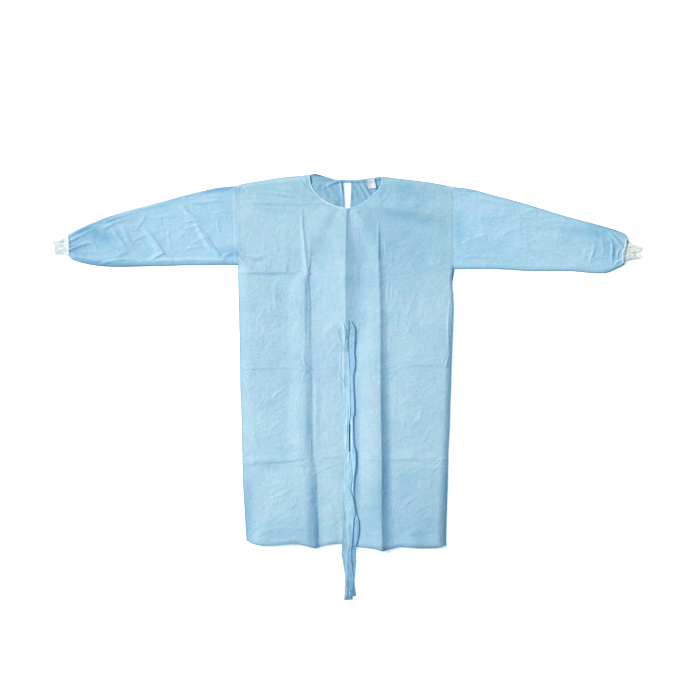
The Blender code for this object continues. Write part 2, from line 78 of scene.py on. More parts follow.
# Front neckline: x, y
NECK_FRONT = (
    (-116.4, 661.5), (-115.2, 649.0), (-112.6, 636.0), (-107.8, 623.0),
    (-100.6, 611.6), (-92.4, 602.3), (-80.6, 590.4), (-67.1, 580.8),
    (-52.8, 572.8), (-38.7, 566.6), (-25.0, 562.0), (-11.9, 559.0),
    (2.5, 557.4), (13.5, 558.2), (24.0, 560.9), (37.8, 566.2), (50.9, 573.6),
    (63.2, 582.0), (74.3, 591.4), (85.6, 601.8), (95.8, 612.9),
    (103.4, 623.4), (108.0, 635.0), (109.6, 646.0), (109.8, 656.3),
)
# Back neck edge: x, y
NECK_BACK = (
    (-116.4, 661.5), (-101.0, 664.6), (-80.0, 660.0), (-59.9, 654.1),
    (-45.0, 649.6), (-31.5, 646.8), (-12.0, 645.4), (14.0, 645.2),
    (33.1, 646.2), (48.0, 648.0), (65.2, 650.4), (88.0, 653.4),
    (100.0, 655.0), (109.8, 656.3),
)
# Hem of the front: x, y
HEM = (
    (-326.0, -470.0), (-317.0, -473.0), (-311.0, -478.6), (-302.0, -485.4),
    (-292.0, -489.8), (-281.0, -492.6), (-264.0, -494.8), (-246.0, -495.2),
    (-219.0, -494.0), (-196.0, -491.6), (-174.0, -489.8), (-158.0, -489.8),
    (-146.0, -491.4), (-128.0, -495.6), (-112.0, -500.4), (-99.5, -503.0),
    (-88.0, -500.0), (-68.0, -494.0), (-44.0, -490.6), (-18.0, -488.6),
    (8.0, -493.6), (35.0, -499.4), (56.0, -501.0), (78.0, -502.8),
    (96.0, -507.4), (110.0, -512.1), (124.0, -509.0), (141.0, -504.8),
    (154.0, -501.0), (166.0, -498.8), (190.0, -500.4), (216.0, -501.8),
    (246.0, -502.6), (271.0, -502.4), (290.0, -500.2), (309.2, -494.6),
    (325.0, -491.0),
)
# Sections of the left sleeve, from the armhole out: x and y on the top edge,
# x and y on the underarm edge
SLEEVE_LEFT = (
    (-344.6, 626.7, -339.8, 380.3), (-372.0, 624.5, -368.0, 380.2),
    (-402.0, 621.0, -399.0, 380.2), (-432.0, 615.2, -430.0, 380.2),
    (-466.0, 607.3, -462.0, 380.0), (-500.0, 598.8, -496.0, 379.5),
    (-535.0, 589.0, -530.0, 378.5), (-570.0, 579.0, -565.0, 377.3),
    (-605.0, 570.0, -600.0, 376.5), (-640.0, 560.8, -635.0, 376.0),
    (-675.0, 551.4, -669.0, 375.0), (-705.0, 543.0, -700.0, 374.2),
    (-735.0, 533.5, -731.0, 374.6), (-765.0, 522.9, -762.0, 376.4),
    (-794.0, 511.4, -791.0, 379.8), (-820.0, 499.6, -817.0, 384.8),
    (-843.0, 488.4, -839.0, 390.4), (-859.0, 480.0, -856.0, 397.0),
    (-870.6, 473.2, -869.6, 409.8),
)
# Sections of the right sleeve, same columns
SLEEVE_RIGHT = (
    (332.8, 623.4, 332.6, 366.8), (362.0, 620.4, 362.0, 367.2),
    (392.0, 615.8, 392.0, 367.7), (424.0, 607.3, 424.0, 367.7),
    (456.0, 598.2, 456.0, 367.5), (490.0, 589.6, 490.0, 366.0),
    (524.0, 580.5, 524.0, 364.0), (558.0, 570.7, 558.0, 362.0),
    (592.0, 560.2, 592.0, 361.6), (626.0, 549.8, 626.0, 361.5),
    (660.0, 539.5, 660.0, 361.5), (694.0, 529.3, 694.0, 361.2),
    (728.0, 520.3, 728.0, 358.6), (760.0, 512.3, 758.0, 355.6),
    (790.0, 504.2, 783.0, 354.6), (816.0, 496.5, 802.0, 354.8),
    (838.0, 489.5, 818.0, 358.0), (858.0, 482.3, 838.0, 366.6),
    (870.0, 474.5, 855.0, 375.0), (875.5, 464.4, 866.3, 382.0),
)
# Sections of the cuffs, from the sleeve out, same columns
CUFF_LEFT = (
    (-866.0, 472.4, -865.4, 410.6), (-871.0, 470.6, -870.4, 411.4),
    (-878.0, 467.2, -878.0, 412.8), (-890.0, 462.8, -890.0, 413.2),
    (-901.0, 458.8, -901.0, 412.8), (-910.4, 455.2, -910.4, 412.3),
)
CUFF_RIGHT = (
    (871.6, 461.4, 863.0, 388.0), (875.8, 458.0, 867.2, 389.6),
    (881.5, 452.6, 875.0, 392.4), (889.5, 445.4, 886.0, 395.6),
    (898.5, 441.9, 896.0, 397.8), (907.5, 438.8, 905.5, 400.4),
)
# How far a cuff's lips reach past its last section: place across it from the
# lower edge (0) to the top edge (1), reach
LIPS_LEFT = ((0.0, 0.3), (0.3, 0.9), (0.55, 0.4), (0.68, 0.2), (0.78, 4.6), (0.85, 7.9), (0.93, 6.0), (1.0, 1.2))
LIPS_RIGHT = ((0.0, 7.6), (0.12, 10.6), (0.25, 9.8), (0.36, 6.0), (0.44, 0.3), (0.54, 4.0), (0.66, 8.6), (0.8, 10.4), (0.92, 10.2), (1.0, 8.4))
# Waist tie, from its stitched middle down: y, left and right edge of the upper
# tail, left and right edge of the lower tail, and how far the right side of each
# stands up
TIE = (
    (207.9, -13.7, 5.6, -8.7, 11.9, 0.2, 0.2),
    (202.3, -16.8, 6.9, -10, 16.2, 0.3, 0.4),
    (193, -22.5, 7.5, -10.6, 21.8, 0.4, 0.7),
    (183.6, -27.5, 7.5, -11.2, 25, 0.4, 1),
    (174.3, -29.6, 6.9, -11.9, 26.2, 0.4, 1.2),
    (159.9, -26.5, 6.2, -11.9, 26.8, 0.3, 1.3),
    (146.2, -21.5, 5.3, -11.9, 26.2, 0.3, 1.3),
    (133.7, -18.1, 5, -11.9, 25.6, 0.4, 1.3),
    (115, -16.2, 5.3, -11.9, 24.6, 0.1, 1.2),
    (102.5, -17.5, 6.2, -11.9, 24.3, 0.1, 1.2),
    (90, -19.3, 7.5, -11.9, 25.9, 0.1, 1.4),
    (80.7, -21.2, 8.1, -11.9, 26.8, 0.1, 1.3),
    (61.9, -24.3, 9, -11.9, 25.9, 0.1, 1.2),
    (43.2, -25.3, 9.7, -11.9, 22.5, 0.1, 1.1),
    (30.7, -25.3, 10, -11.9, 20.3, 0.1, 1.1),
    (4.2, -22.8, 10.6, -11.2, 21.5, 0.1, 1.2),
    (-16.1, -18.1, 10.6, -10, 22.5, 0.1, 1.2),
    (-39.8, -14.4, 10.6, -8.7, 23.4, 0.1, 1.3),
    (-66, -11.5, 10.9, -8.1, 24, 0.4, 1.3),
    (-86.3, -10.6, 11.2, -8.1, 24.3, 0.5, 1.3),
    (-94.1, -10.3, 10.3, -8.7, 20.6, 0.7, 1.2),
    (-119, -10.6, 6.9, -9.4, 20, 0.8, 1.2),
    (-168.9, -10, 6.9, -9.4, 21.2, 0.8, 1.3),
    (-187.7, -9.7, 6.9, -8.7, 24.3, 0.8, 1.4),
    (-198.6, -9.4, 6.9, -8.1, 27.5, 0.6, 2.2),
    (-206.4, -9.4, 10.3, -7.5, 28.4, 0.4, 2.2),
    (-231.3, -9.7, 14, -6.2, 29, 0.3, 2.3),
    (-259.4, -10.3, 16.2, -6.9, 27.1, 0.3, 2.1),
    (-287.5, -10.3, 17.2, -8.1, 22.5, 0.3, 1.6),
    (-303.1, -10.3, 15.3, -8.7, 22.2, 0.3, 1.4),
    (-318.7, -10.6, 14, -8.7, 21.8, 0.4, 1.2),
    (-331.2, -10.9, 17.5, -8.1, 22.5, 0.6, 1),
    (-343.7, -11.2, 20.6, -7.5, 23.7, 0.8, 0.9),
    (-363.9, -13.1, 26.5, -5.6, 24.3, 1, 0.6),
    (-391.7, -15, 28.4, -2.5, 28.1, 0.8, 0.5),
    (-402.9, -16.5, 25.3, 0, 33.4, 0.7, 0.4),
    (-412.3, -17.8, 22.8, 2.5, 37.1, 0.5, 0.5),
    (-426.7, -17.5, 21.8, 3.7, 39, 0.5, 0.6),
    (-447.6, -16.8, 20, 4.4, 39, 0.5, 0.7),
    (-462.2, -16.5, 19, 5, 37.4, 0.5, 0.6),
    (-477.8, -16.2, 17.8, 5, 34.9, 0.5, 0.5),
    (-488.7, -15, 16.8, 4.4, 32.1, 0.4, 0.4),
    (-496.5, -14.7, 15.9, 3.7, 29, 0.4, 0.4),
    (-505.9, -15.3, 15.3, 2.5, 28.1, 0.4, 0.3),
    (-515.3, -17.2, 14.7, 1.2, 27.5, 0.4, 0.3),
    (-542.1, -13.1, 15.6, -1.2, 27.5, 0.4, 0.3),
    (-565.2, -9.7, 18.1, -2.5, 26.2, 0.4, 0.3),
    (-590.1, -5.9, 20.6, -2.5, 24.6, 0.3, 0.3),
    (-602.6, -5, 21.8, -1.9, 23.4, 0.2, 0.2),
    (-618.2, -4.7, 20, -1.2, 24, 0.2, 0.2),
    (-633.8, -5.9, 19, -1.2, 26.2, 0.2, 0.2),
    (-650.4, -7.5, 18.4, -0.6, 28.4, 0.1, 0.2),
    (-665, -8.4, 18.1, -0.6, 28.7, 0.1, 0.2),
)
# Centre-back edges: y, x of the left panel's edge, x of the right panel's edge
BACK_EDGES = (
    (660.0, -10.6, 13.4), (636.0, -10.0, 12.6), (620.0, -8.8, 12.0),
    (600.0, -7.6, 11.2), (580.0, -6.2, 10.4), (564.0, -5.3, 9.7),
    (500.0, -3.4, 6.0), (300.0, -1.0, 1.6), (-520.0, -0.8, 0.8),
)
# Size label: y down its length as a share, x and y of its left and right corner
LABEL = ((0.0, 63.4, 646.0, 86.2, 651.4), (0.34, 65.0, 635.0, 88.2, 639.4), (1.0, 67.2, 617.4, 91.6, 619.8))

# ---------------------------------------------------------------- creases
# Each crease: name, profile on its left, profile on its right, then its path.
# Rows of a path: x, y, height (below zero is a trough), reach to the left,
# reach to the right. Paths run upward or to the right.
FOLDS = (
    ("left crease, upper", "cusp", "ramp", (
       (-122, 355, 1.76, 16, 8), (-127, 383, 1.85, 14, 14), (-130, 408, 1.5, 13, 13),
       (-132, 436, 1.23, 12, 8), (-135, 471, 1.14, 12, 6), (-138, 508, 0.97, 12, 5),
       (-139, 539, 0.62, 10, 5), (-139, 561, 0, 8, 4),
    )),
    ("left crease, second line", "soft", "line", (
       (-120, 358, 0.6, 5, 4), (-116, 380, 0.8, 6, 4), (-114, 408, 0.7, 6, 4),
       (-113, 433, 0.3, 5, 4), (-112, 449, 0, 5, 4),
    )),
    ("left crease, chest to hip", "soft", "ramp", (
       (-128, -4, 0.1, 50, 20), (-129, 34, 1, 54, 21), (-129, 65, 2, 56, 22),
       (-130, 131, 2.5, 58, 22), (-131, 193, 2.9, 58, 20), (-131, 255, 3.1, 58, 19),
       (-131, 302, 3, 56, 16), (-129, 333, 2.5, 44, 13), (-125, 355, 0.8, 26, 10),
    )),
    ("left crease, inner line", "cusp", "line", (
       (-115, 109, 0.1, 5, 4), (-119, 140, 0.7, 5, 4), (-117, 193, 0.6, 5, 4),
       (-116, 255, 0.6, 5, 4), (-119, 302, 0.7, 5, 4), (-122, 340, 0.5, 4, 3),
    )),
    ("left crease, hip to knee", "soft", "dome", (
       (-125, -272, 0.6, 50, 24), (-130, -203, 2.9, 56, 24), (-132, -150, 3.2, 56, 23),
       (-133, -72, 3.2, 56, 22), (-132, -22, 2.9, 54, 22), (-131, 21, 1.7, 50, 21),
       (-130, 53, 0.8, 46, 20), (-129, 90, 0.1, 40, 18),
    )),
    ("left crease, hip line", "cusp", "line", (
       (-113, -247, 0.1, 4, 7), (-112, -197, 0.5, 4, 8), (-112, -135, 0.6, 4, 8),
       (-113, -57, 0.6, 4, 8), (-114, -4, 0.6, 4, 8), (-115, 31, 0.5, 4, 7),
       (-115, 53, 0.1, 4, 5),
    )),
    ("left crease, far side", "soft", "soft", (
       (-95, -216, 0, 9, 16), (-96, -135, 0.6, 9, 16), (-96, -41, 0.7, 9, 16),
       (-96, 21, 0.4, 9, 16), (-96, 53, 0, 9, 16),
    )),
    ("left crease, lower", "soft", "dome", (
       (-129, -506, 6.6, 190, 44), (-130, -465, 6.4, 190, 43), (-131, -415, 5.8, 180, 42),
       (-132, -362, 5, 170, 41), (-132, -316, 4.3, 160, 40), (-131, -278, 3.4, 140, 38),
       (-130, -247, 2, 110, 34), (-129, -222, 0.2, 90, 30),
    )),
    ("left crease, lower foot", "soft", "soft", (
       (-97, -506, 0.5, 12, 12), (-99, -465, 0.5, 12, 12), (-100, -409, 0.3, 12, 12),
       (-103, -353, 0, 10, 10),
    )),
    ("centre crease", "line", "fade", (
       (-2, 109, 0.4, 80, 44), (-2, 152, 3.4, 100, 56), (-2, 190, 5.6, 110, 64),
       (-4, 240, 6.6, 110, 64), (-5, 302, 6.8, 110, 62), (-5, 371, 6, 105, 54),
       (-4, 421, 4.7, 100, 42), (-3, 464, 3.5, 80, 28), (-2, 508, 2.5, 50, 15),
       (1, 555, 1.8, 30, 9),
    )),
    ("under the tie", "ramp", "soft", (
       (19, 109, 0.4, 50, 14), (21, 46, 1.9, 80, 20), (22, -41, 3.1, 90, 27),
       (21, -91, 3.6, 90, 29), (19, -128, 3.8, 90, 30), (22, -178, 3.8, 90, 30),
       (27, -222, 3.9, 90, 29), (26, -259, 3.9, 90, 31), (23, -297, 4.4, 90, 34),
       (24, -328, 4.6, 90, 34), (27, -369, 4.6, 90, 32), (31, -406, 3.2, 80, 28),
       (33, -447, 1.2, 60, 18), (33, -484, 0.1, 40, 12),
    )),
    ("right crease ramp", "soft", "cusp", (
       (110, -515, 6, 80, 40), (109, -415, 6.4, 84, 40), (109, -291, 6.6, 84, 36),
       (108, -166, 6.4, 84, 33), (106, -41, 6.1, 84, 31), (105, 84, 5.2, 84, 30),
       (105, 177, 4.5, 80, 29), (104, 271, 3.7, 76, 26), (103, 349, 2.9, 64, 23),
       (102, 411, 2, 50, 19), (101, 464, 1.1, 40, 14), (100, 514, 0.1, 24, 10),
    )),
    ("right crease pleat line", "cusp", "line", (
       (99, 271, 0.2, 4, 5), (98, 365, 0.7, 5, 5), (98, 427, 0.9, 6, 5), (98, 483, 0.9, 6, 5),
       (99, 511, 0.4, 5, 5), (99, 527, 0, 4, 4),
    )),
    ("chest fold", "soft", "ramp", (
       (-333, 357, 1.3, 150, 8), (-296, 356, 1.6, 150, 8), (-240, 356, 1.6, 150, 8),
       (-196, 357, 1.3, 120, 7), (-180, 356, 0.5, 60, 6), (-155, 354, 0.3, 20, 5),
       (-137, 351, 0.1, 10, 4),
    )),
    ("chest fold, faint right", "soft", "soft", (
       (-90, 349, 0.2, 30, 10), (-21, 347, 0.3, 30, 10), (47, 349, 0.2, 30, 10),
       (91, 352, 0.1, 20, 10),
    )),
    ("hip fold, left", "soft", "line", (
       (-330, 56, 0.5, 60, 6), (-286, 58, 0.8, 60, 6), (-233, 59, 0.7, 60, 6),
       (-190, 59, 0.6, 50, 5), (-152, 56, 0.5, 40, 5), (-134, 53, 0.3, 20, 4),
    )),
    ("hip fold, centre", "cusp", "line", (
       (-109, 54, 0.2, 8, 4), (-80, 56, 0.5, 8, 4), (-52, 63, 0.4, 8, 4), (-21, 65, 0.1, 8, 4),
    )),
    ("hip fold, right of tie", "soft", "line", (
       (35, 62, 0.2, 20, 4), (63, 63, 0.35, 20, 4), (94, 63, 0.15, 20, 4),
    )),
    ("hip fold, right", "soft", "line", (
       (141, 61, 0.2, 40, 5), (191, 67, 0.7, 60, 7), (244, 69, 1, 60, 8), (291, 68, 1, 50, 8),
       (316, 65, 0.4, 30, 6),
    )),
    ("knee fold, left", "soft", "ramp", (
       (-324, -239, 0.9, 24, 6), (-283, -237, 1.3, 26, 7), (-233, -233, 1.4, 26, 7),
       (-177, -229, 1.3, 26, 7), (-146, -225, 0.9, 22, 6), (-134, -224, 0.3, 14, 5),
    )),
    ("knee fold, centre", "soft", "line", (
       (-96, -223, 0.2, 20, 5), (-71, -220, 0.5, 20, 6), (-40, -218, 0.6, 20, 6),
       (-12, -219, 0.5, 16, 5),
    )),
    ("knee fold, right of tie", "cusp", "line", (
       (51, -229, 0.2, 8, 4), (72, -224, 0.6, 8, 4), (91, -228, 0.5, 8, 4),
       (104, -229, 0.1, 6, 4),
    )),
    ("knee fold, right", "soft", "ramp", (
       (125, -227, 0.4, 26, 6), (166, -225, 0.9, 26, 8), (203, -224, 1.1, 26, 8),
       (241, -225, 0.8, 22, 7), (278, -226, 0.7, 20, 7), (303, -227, 0.6, 16, 6),
       (316, -231, 0.2, 10, 5),
    )),
    ("knee fan l1", "cusp", "line", (
       (-212, -242, 0.17, 5, 5), (-193, -251, 0.77, 5, 5), (-171, -260, 0.69, 5, 5),
       (-152, -266, 0.09, 4, 4),
    )),
    ("knee fan l2", "cusp", "line", (
       (-177, -247, 0, 4, 4), (-158, -256, 0.6, 4, 4), (-143, -269, 0.34, 4, 4),
       (-134, -281, 0, 4, 4),
    )),
    ("knee fan l3", "cusp", "line", (
       (-158, -230, 0, 4, 4), (-148, -237, 0.69, 4, 4), (-135, -245, 0.34, 4, 4),
       (-127, -250, 0, 4, 4),
    )),
    ("knee fan l4", "cusp", "line", (
       (-146, -245, 0, 4, 4), (-137, -258, 0.69, 4, 4), (-132, -272, 0.26, 4, 4),
       (-134, -284, 0, 4, 4),
    )),
    ("knee fan l5", "cusp", "line", (
       (-130, -214, 0, 4, 4), (-119, -225, 0.69, 5, 5), (-112, -238, 0.43, 5, 5),
       (-96, -250, 0, 4, 4),
    )),
    ("knee fan c1", "cusp", "line", (
       (-110, -284, 0, 5, 6), (-93, -266, 0.77, 6, 6), (-68, -253, 0.69, 6, 6),
       (-37, -242, 0.26, 6, 5), (-15, -234, 0, 5, 5),
    )),
    ("knee fan c2", "cusp", "line", (
       (-87, -271, 0, 5, 4), (-59, -264, 0.43, 5, 5), (-27, -256, 0.26, 5, 4),
       (-12, -253, 0, 4, 4),
    )),
    ("knee fan r1", "cusp", "line", (
       (210, -238, 0.09, 5, 5), (228, -244, 0.6, 5, 5), (250, -252, 0.69, 5, 5),
       (275, -258, 0.09, 5, 5),
    )),
    ("knee fan r2", "cusp", "line", (
       (222, -255, 0, 5, 5), (244, -259, 0.43, 5, 5), (266, -256, 0.26, 5, 5),
       (281, -250, 0, 4, 4),
    )),
    ("knee fan r3", "cusp", "line", (
       (260, -269, 0.06, 5, 5), (276, -253, 0.54, 6, 6), (291, -238, 0.6, 6, 6),
       (306, -224, 0.54, 6, 6), (319, -217, 0.12, 5, 5),
    )),
    ("knee fan r4", "cusp", "line", (
       (260, -250, 0, 4, 4), (272, -239, 0.42, 5, 4), (285, -233, 0.12, 4, 4),
    )),
    ("hip star 1", "cusp", "line", (
       (-138, 83, 0, 5, 4), (-131, 73, 1.14, 6, 5), (-122, 63, 1.35, 6, 5),
       (-112, 53, 0.94, 5, 5), (-102, 45, 0, 4, 4),
    )),
    ("hip star 2", "cusp", "line", (
       (-168, 66, 0, 5, 4), (-149, 71, 1.17, 6, 4), (-135, 69, 0.78, 5, 4), (-129, 62, 0, 4, 4),
    )),
    ("hip star 3", "cusp", "line", (
       (-135, 15, 0, 4, 4), (-136, 33, 0.53, 5, 4), (-131, 44, 0.59, 5, 4),
       (-119, 50, 0.12, 4, 4),
    )),
    ("hip star 4", "soft", "line", (
       (-152, 49, 0.13, 4, 4), (-137, 51, 0.78, 5, 4), (-121, 45, 0.52, 4, 4),
       (-112, 37, 0, 4, 4),
    )),
    ("hip star 5", "soft", "line", (
       (-135, 109, 0, 6, 5), (-136, 90, 0.65, 6, 5), (-132, 74, 0.26, 5, 4),
    )),
    ("hip right fan 1", "cusp", "line", (
       (125, 43, 0.1, 6, 5), (147, 53, 0.7, 6, 5), (172, 61, 0.4, 6, 5), (191, 65, 0, 5, 5),
    )),
    ("hip right fan 2", "cusp", "line", (
       (132, 24, 0, 7, 6), (147, 42, 0.6, 7, 6), (166, 53, 0.2, 6, 5),
    )),
    ("hip right edge 1", "cusp", "line", (
       (300, 49, 0, 5, 5), (310, 70, 0.9, 6, 5), (317, 92, 1, 6, 5), (324, 112, 0.2, 5, 4),
    )),
    ("hip right edge 2", "cusp", "line", (
       (291, 65, 0, 5, 5), (302, 84, 0.6, 5, 5), (310, 102, 0.2, 5, 5),
    )),
    ("side lens", "cusp", "line", (
       (321, 106, 0.2, 6, 4), (317, 146, 1, 7, 4), (316, 193, 1, 7, 4), (318, 234, 0.7, 6, 4),
       (321, 271, 0.1, 5, 4),
    )),
    ("pinch 1", "cusp", "cusp", (
       (-122, 343, 0.1, 4, 4), (-117, 353, 1.5, 4, 4), (-111, 363, 0.2, 4, 4),
    )),
    ("pinch 2", "cusp", "line", (
       (-146, 390, 0, 5, 5), (-135, 371, 0.6, 6, 5), (-128, 355, 0.6, 5, 4), (-126, 343, 0, 4, 4),
    )),
    ("pinch 3", "cusp", "line", (
       (-180, 356, 0, 5, 4), (-158, 362, 0.7, 6, 4), (-140, 361, 0.5, 5, 4), (-129, 355, 0, 4, 4),
    )),
    ("neck fold left", "soft", "soft", (
       (-127, 390, 0.3, 30, 24), (-113, 430, 0.9, 46, 34), (-96, 471, 1.3, 50, 40),
       (-76, 511, 1.4, 46, 38), (-57, 542, 0.9, 32, 28), (-43, 558, 0.2, 20, 16),
    )),
    ("neck fold right", "soft", "soft", (
       (97, 371, 0.2, 20, 6), (93, 414, 0.9, 30, 12), (82, 455, 1.4, 36, 24),
       (68, 489, 1.7, 38, 34), (49, 522, 1.7, 34, 36), (32, 542, 1.1, 24, 28),
       (16, 557, 0.3, 14, 14),
    )),
    ("neck fold right, small", "cusp", "line", (
       (60, 502, 0.1, 6, 8), (44, 524, 0.8, 7, 9), (29, 544, 0.9, 6, 8), (18, 556, 0.2, 5, 5),
    )),
    ("neck edge left 1", "cusp", "line", (
       (-151, 650, 0.3, 6, 5), (-140, 635, 1, 7, 5), (-125, 619, 1.1, 7, 6),
       (-107, 603, 0.7, 6, 5), (-90, 587, 0.1, 5, 4),
    )),
    ("neck edge left 2", "soft", "line", (
       (-135, 652, 0.3, 5, 4), (-127, 636, 0.9, 5, 4), (-116, 622, 0.6, 5, 4),
       (-105, 612, 0.1, 4, 4),
    )),
    ("neck edge left 3", "soft", "line", (
       (-109, 586, 0.1, 6, 5), (-80, 575, 0.6, 7, 5), (-52, 562, 0.5, 7, 5), (-24, 554, 0, 6, 5),
    )),
    ("neck edge right 1", "soft", "line", (
       (47, 557, 0.1, 8, 6), (76, 572, 0.25, 9, 7), (97, 592, 0.25, 9, 7), (114, 616, 0.2, 8, 6),
       (121, 636, 0.1, 6, 5),
    )),
    ("neck edge right 2", "cusp", "line", (
       (91, 564, 0, 5, 5), (113, 583, 0.4, 6, 5), (129, 605, 0.4, 6, 5), (138, 627, 0, 5, 5),
    )),
    ("left shoulder 1", "soft", "line", (
       (-265, 622, 0.14, 16, 6), (-221, 618, 0.68, 18, 7), (-177, 612, 1.22, 18, 8),
       (-143, 604, 1.35, 14, 8), (-112, 591, 0.68, 10, 6), (-96, 583, 0, 8, 5),
    )),
    ("left shoulder 2", "soft", "line", (
       (-302, 607, 0.14, 10, 5), (-240, 603, 0.81, 12, 6), (-190, 597, 1.08, 12, 6),
       (-146, 588, 1.08, 12, 6), (-109, 579, 0.41, 9, 5),
    )),
    ("left shoulder 3", "soft", "line", (
       (-327, 574, 0.54, 18, 7), (-265, 572, 1.08, 20, 7), (-208, 571, 1.22, 20, 7),
       (-146, 571, 1.08, 16, 7), (-96, 572, 0.81, 10, 5), (-46, 564, 0.14, 8, 5),
    )),
    ("left shoulder 4", "soft", "line", (
       (-330, 591, 0.27, 9, 5), (-271, 589, 0.68, 10, 5), (-202, 583, 0.54, 10, 5),
       (-152, 578, 0, 8, 5),
    )),
    ("left shoulder 5", "soft", "line", (
       (-277, 632, 0.14, 10, 6), (-227, 634, 0.68, 11, 6), (-183, 632, 0.68, 10, 6),
       (-152, 622, 0, 8, 5),
    )),
    ("left shoulder 6", "soft", "line", (
       (-324, 557, 0, 9, 5), (-265, 556, 0.4, 10, 5), (-196, 555, 0.4, 10, 5),
       (-146, 552, 0, 8, 5),
    )),
    ("left shoulder 7", "soft", "soft", (
       (-330, 546, 0, 10, 9), (-277, 539, 0.4, 10, 9), (-233, 530, 0.3, 10, 9),
       (-196, 521, 0, 9, 8),
    )),
    ("right shoulder valley", "soft", "line", (
       (54, 566, 0.3, 40, 16), (104, 560, 1.4, 60, 24), (154, 552, 2.5, 70, 27),
       (200, 544, 2.7, 70, 27), (241, 532, 2.2, 60, 26), (278, 519, 1.4, 50, 24),
       (316, 506, 0.3, 36, 18),
    )),
    ("right shoulder lower", "soft", "soft", (
       (116, 514, 0, 14, 18), (166, 499, 0.6, 16, 20), (216, 486, 0.7, 16, 20),
       (272, 471, 0.3, 16, 18), (310, 458, 0, 14, 16),
    )),
    ("right shoulder streak 1", "soft", "line", (
       (141, 620, 0, 12, 8), (203, 608, 0.6, 14, 9), (266, 592, 0.6, 14, 9), (319, 577, 0, 12, 8),
    )),
    ("right shoulder streak 2", "soft", "line", (
       (166, 580, 0, 10, 8), (216, 570, 0.5, 12, 8), (272, 558, 0.5, 12, 8), (322, 546, 0, 10, 8),
    )),
    ("right shoulder streak 3", "soft", "line", (
       (122, 595, 0, 10, 8), (166, 594, 0.4, 11, 8), (210, 586, 0.4, 11, 8), (253, 574, 0, 10, 8),
    )),
    ("armpit 1", "soft", "line", (
       (-334, 422, 0.75, 12, 6), (-326, 411, 2.1, 14, 6), (-308, 405, 2.25, 14, 7),
       (-283, 400, 1.8, 12, 6), (-261, 405, 1.05, 9, 5), (-243, 393, 0.15, 7, 5),
    )),
    ("armpit 2", "soft", "line", (
       (-333, 400, 1.22, 8, 6), (-319, 384, 1.76, 9, 6), (-302, 375, 1.08, 8, 6),
       (-283, 366, 0, 6, 5),
    )),
    ("armpit 3", "soft", "soft", (
       (-283, 390, 0, 12, 12), (-265, 380, 0.6, 12, 12), (-252, 368, 0.3, 10, 10),
       (-246, 358, 0, 8, 8),
    )),
    ("left chest 1", "cusp", "line", (
       (-271, 546, 0, 5, 5), (-252, 537, 0.6, 5, 5), (-227, 526, 0.6, 5, 5), (-212, 514, 0, 5, 5),
    )),
    ("left chest 2", "cusp", "line", (
       (-282, 522, 0.09, 5, 4), (-272, 509, 0.69, 5, 5), (-256, 501, 0.6, 5, 5),
       (-233, 499, 0, 5, 4),
    )),
    ("left chest 3", "cusp", "line", (
       (-333, 515, 0.26, 5, 5), (-318, 505, 0.6, 5, 5), (-299, 496, 0, 5, 4),
    )),
    ("left chest 4", "cusp", "line", (
       (-246, 522, 0, 4, 4), (-221, 519, 0.43, 5, 4), (-199, 519, 0.43, 5, 4),
       (-177, 511, 0, 4, 4),
    )),
    ("left chest 5", "cusp", "line", (
       (-210, 471, 0.09, 4, 4), (-211, 489, 0.52, 5, 4), (-215, 508, 0.09, 4, 4),
    )),
    ("left chest 6", "cusp", "line", (
       (-212, 472, 0.09, 4, 4), (-196, 476, 0.52, 4, 4), (-177, 481, 0, 4, 4),
    )),
    ("left chest 7", "cusp", "line", (
       (-269, 411, 0, 5, 5), (-260, 433, 0.6, 6, 5), (-258, 455, 0.52, 5, 5),
       (-263, 474, 0, 4, 4),
    )),
    ("left chest 8", "cusp", "line", (
       (-221, 408, 0, 5, 5), (-217, 430, 0.6, 6, 5), (-221, 452, 0.52, 5, 5),
       (-228, 471, 0, 4, 4),
    )),
    ("left chest 9", "cusp", "line", (
       (-280, 402, 0, 5, 5), (-261, 413, 0.43, 5, 5), (-240, 415, 0.34, 5, 4),
       (-221, 408, 0, 4, 4),
    )),
    ("left chest 10", "cusp", "line", (
       (-321, 481, 0, 5, 4), (-293, 486, 0.43, 5, 4), (-252, 487, 0.34, 5, 4),
       (-221, 483, 0, 4, 4),
    )),
    ("left chest 11", "cusp", "line", (
       (-215, 386, 0, 5, 4), (-187, 396, 0.43, 5, 4), (-158, 402, 0.34, 5, 4),
       (-140, 402, 0, 4, 4),
    )),
    ("left chest 12", "cusp", "line", (
       (-321, 455, 0, 5, 5), (-302, 461, 0.34, 5, 5), (-277, 458, 0.34, 5, 5),
       (-261, 449, 0, 4, 4),
    )),
    ("left chest 13", "cusp", "line", (
       (-199, 421, 0, 6, 6), (-190, 439, 0.52, 6, 6), (-174, 452, 0.26, 6, 6),
       (-155, 455, 0, 5, 5),
    )),
    ("left chest 14", "cusp", "line", (
       (-246, 390, 0, 4, 4), (-240, 408, 0.34, 5, 5), (-243, 430, 0.26, 5, 5),
       (-252, 446, 0, 4, 4),
    )),
    ("left chest tuck 1", "cusp", "line", (
       (-253, 358, 0.09, 4, 4), (-253, 374, 0.77, 4, 4), (-252, 388, 0, 4, 4),
    )),
    ("left chest tuck 2", "cusp", "line", (
       (-242, 358, 0.09, 4, 4), (-242, 374, 0.69, 4, 4), (-241, 388, 0, 4, 4),
    )),
    ("left chest tuck 3", "cusp", "line", (
       (-190, 355, 0.17, 4, 4), (-190, 371, 0.77, 5, 4), (-188, 386, 0, 4, 4),
    )),
    ("left chest tuck 4", "cusp", "line", (
       (-210, 358, 0.09, 4, 4), (-212, 374, 0.43, 4, 4), (-210, 390, 0, 4, 4),
    )),
    ("left chest tuck 5", "cusp", "line", (
       (-165, 361, 0.09, 4, 4), (-168, 380, 0.52, 5, 4), (-166, 396, 0, 4, 4),
    )),
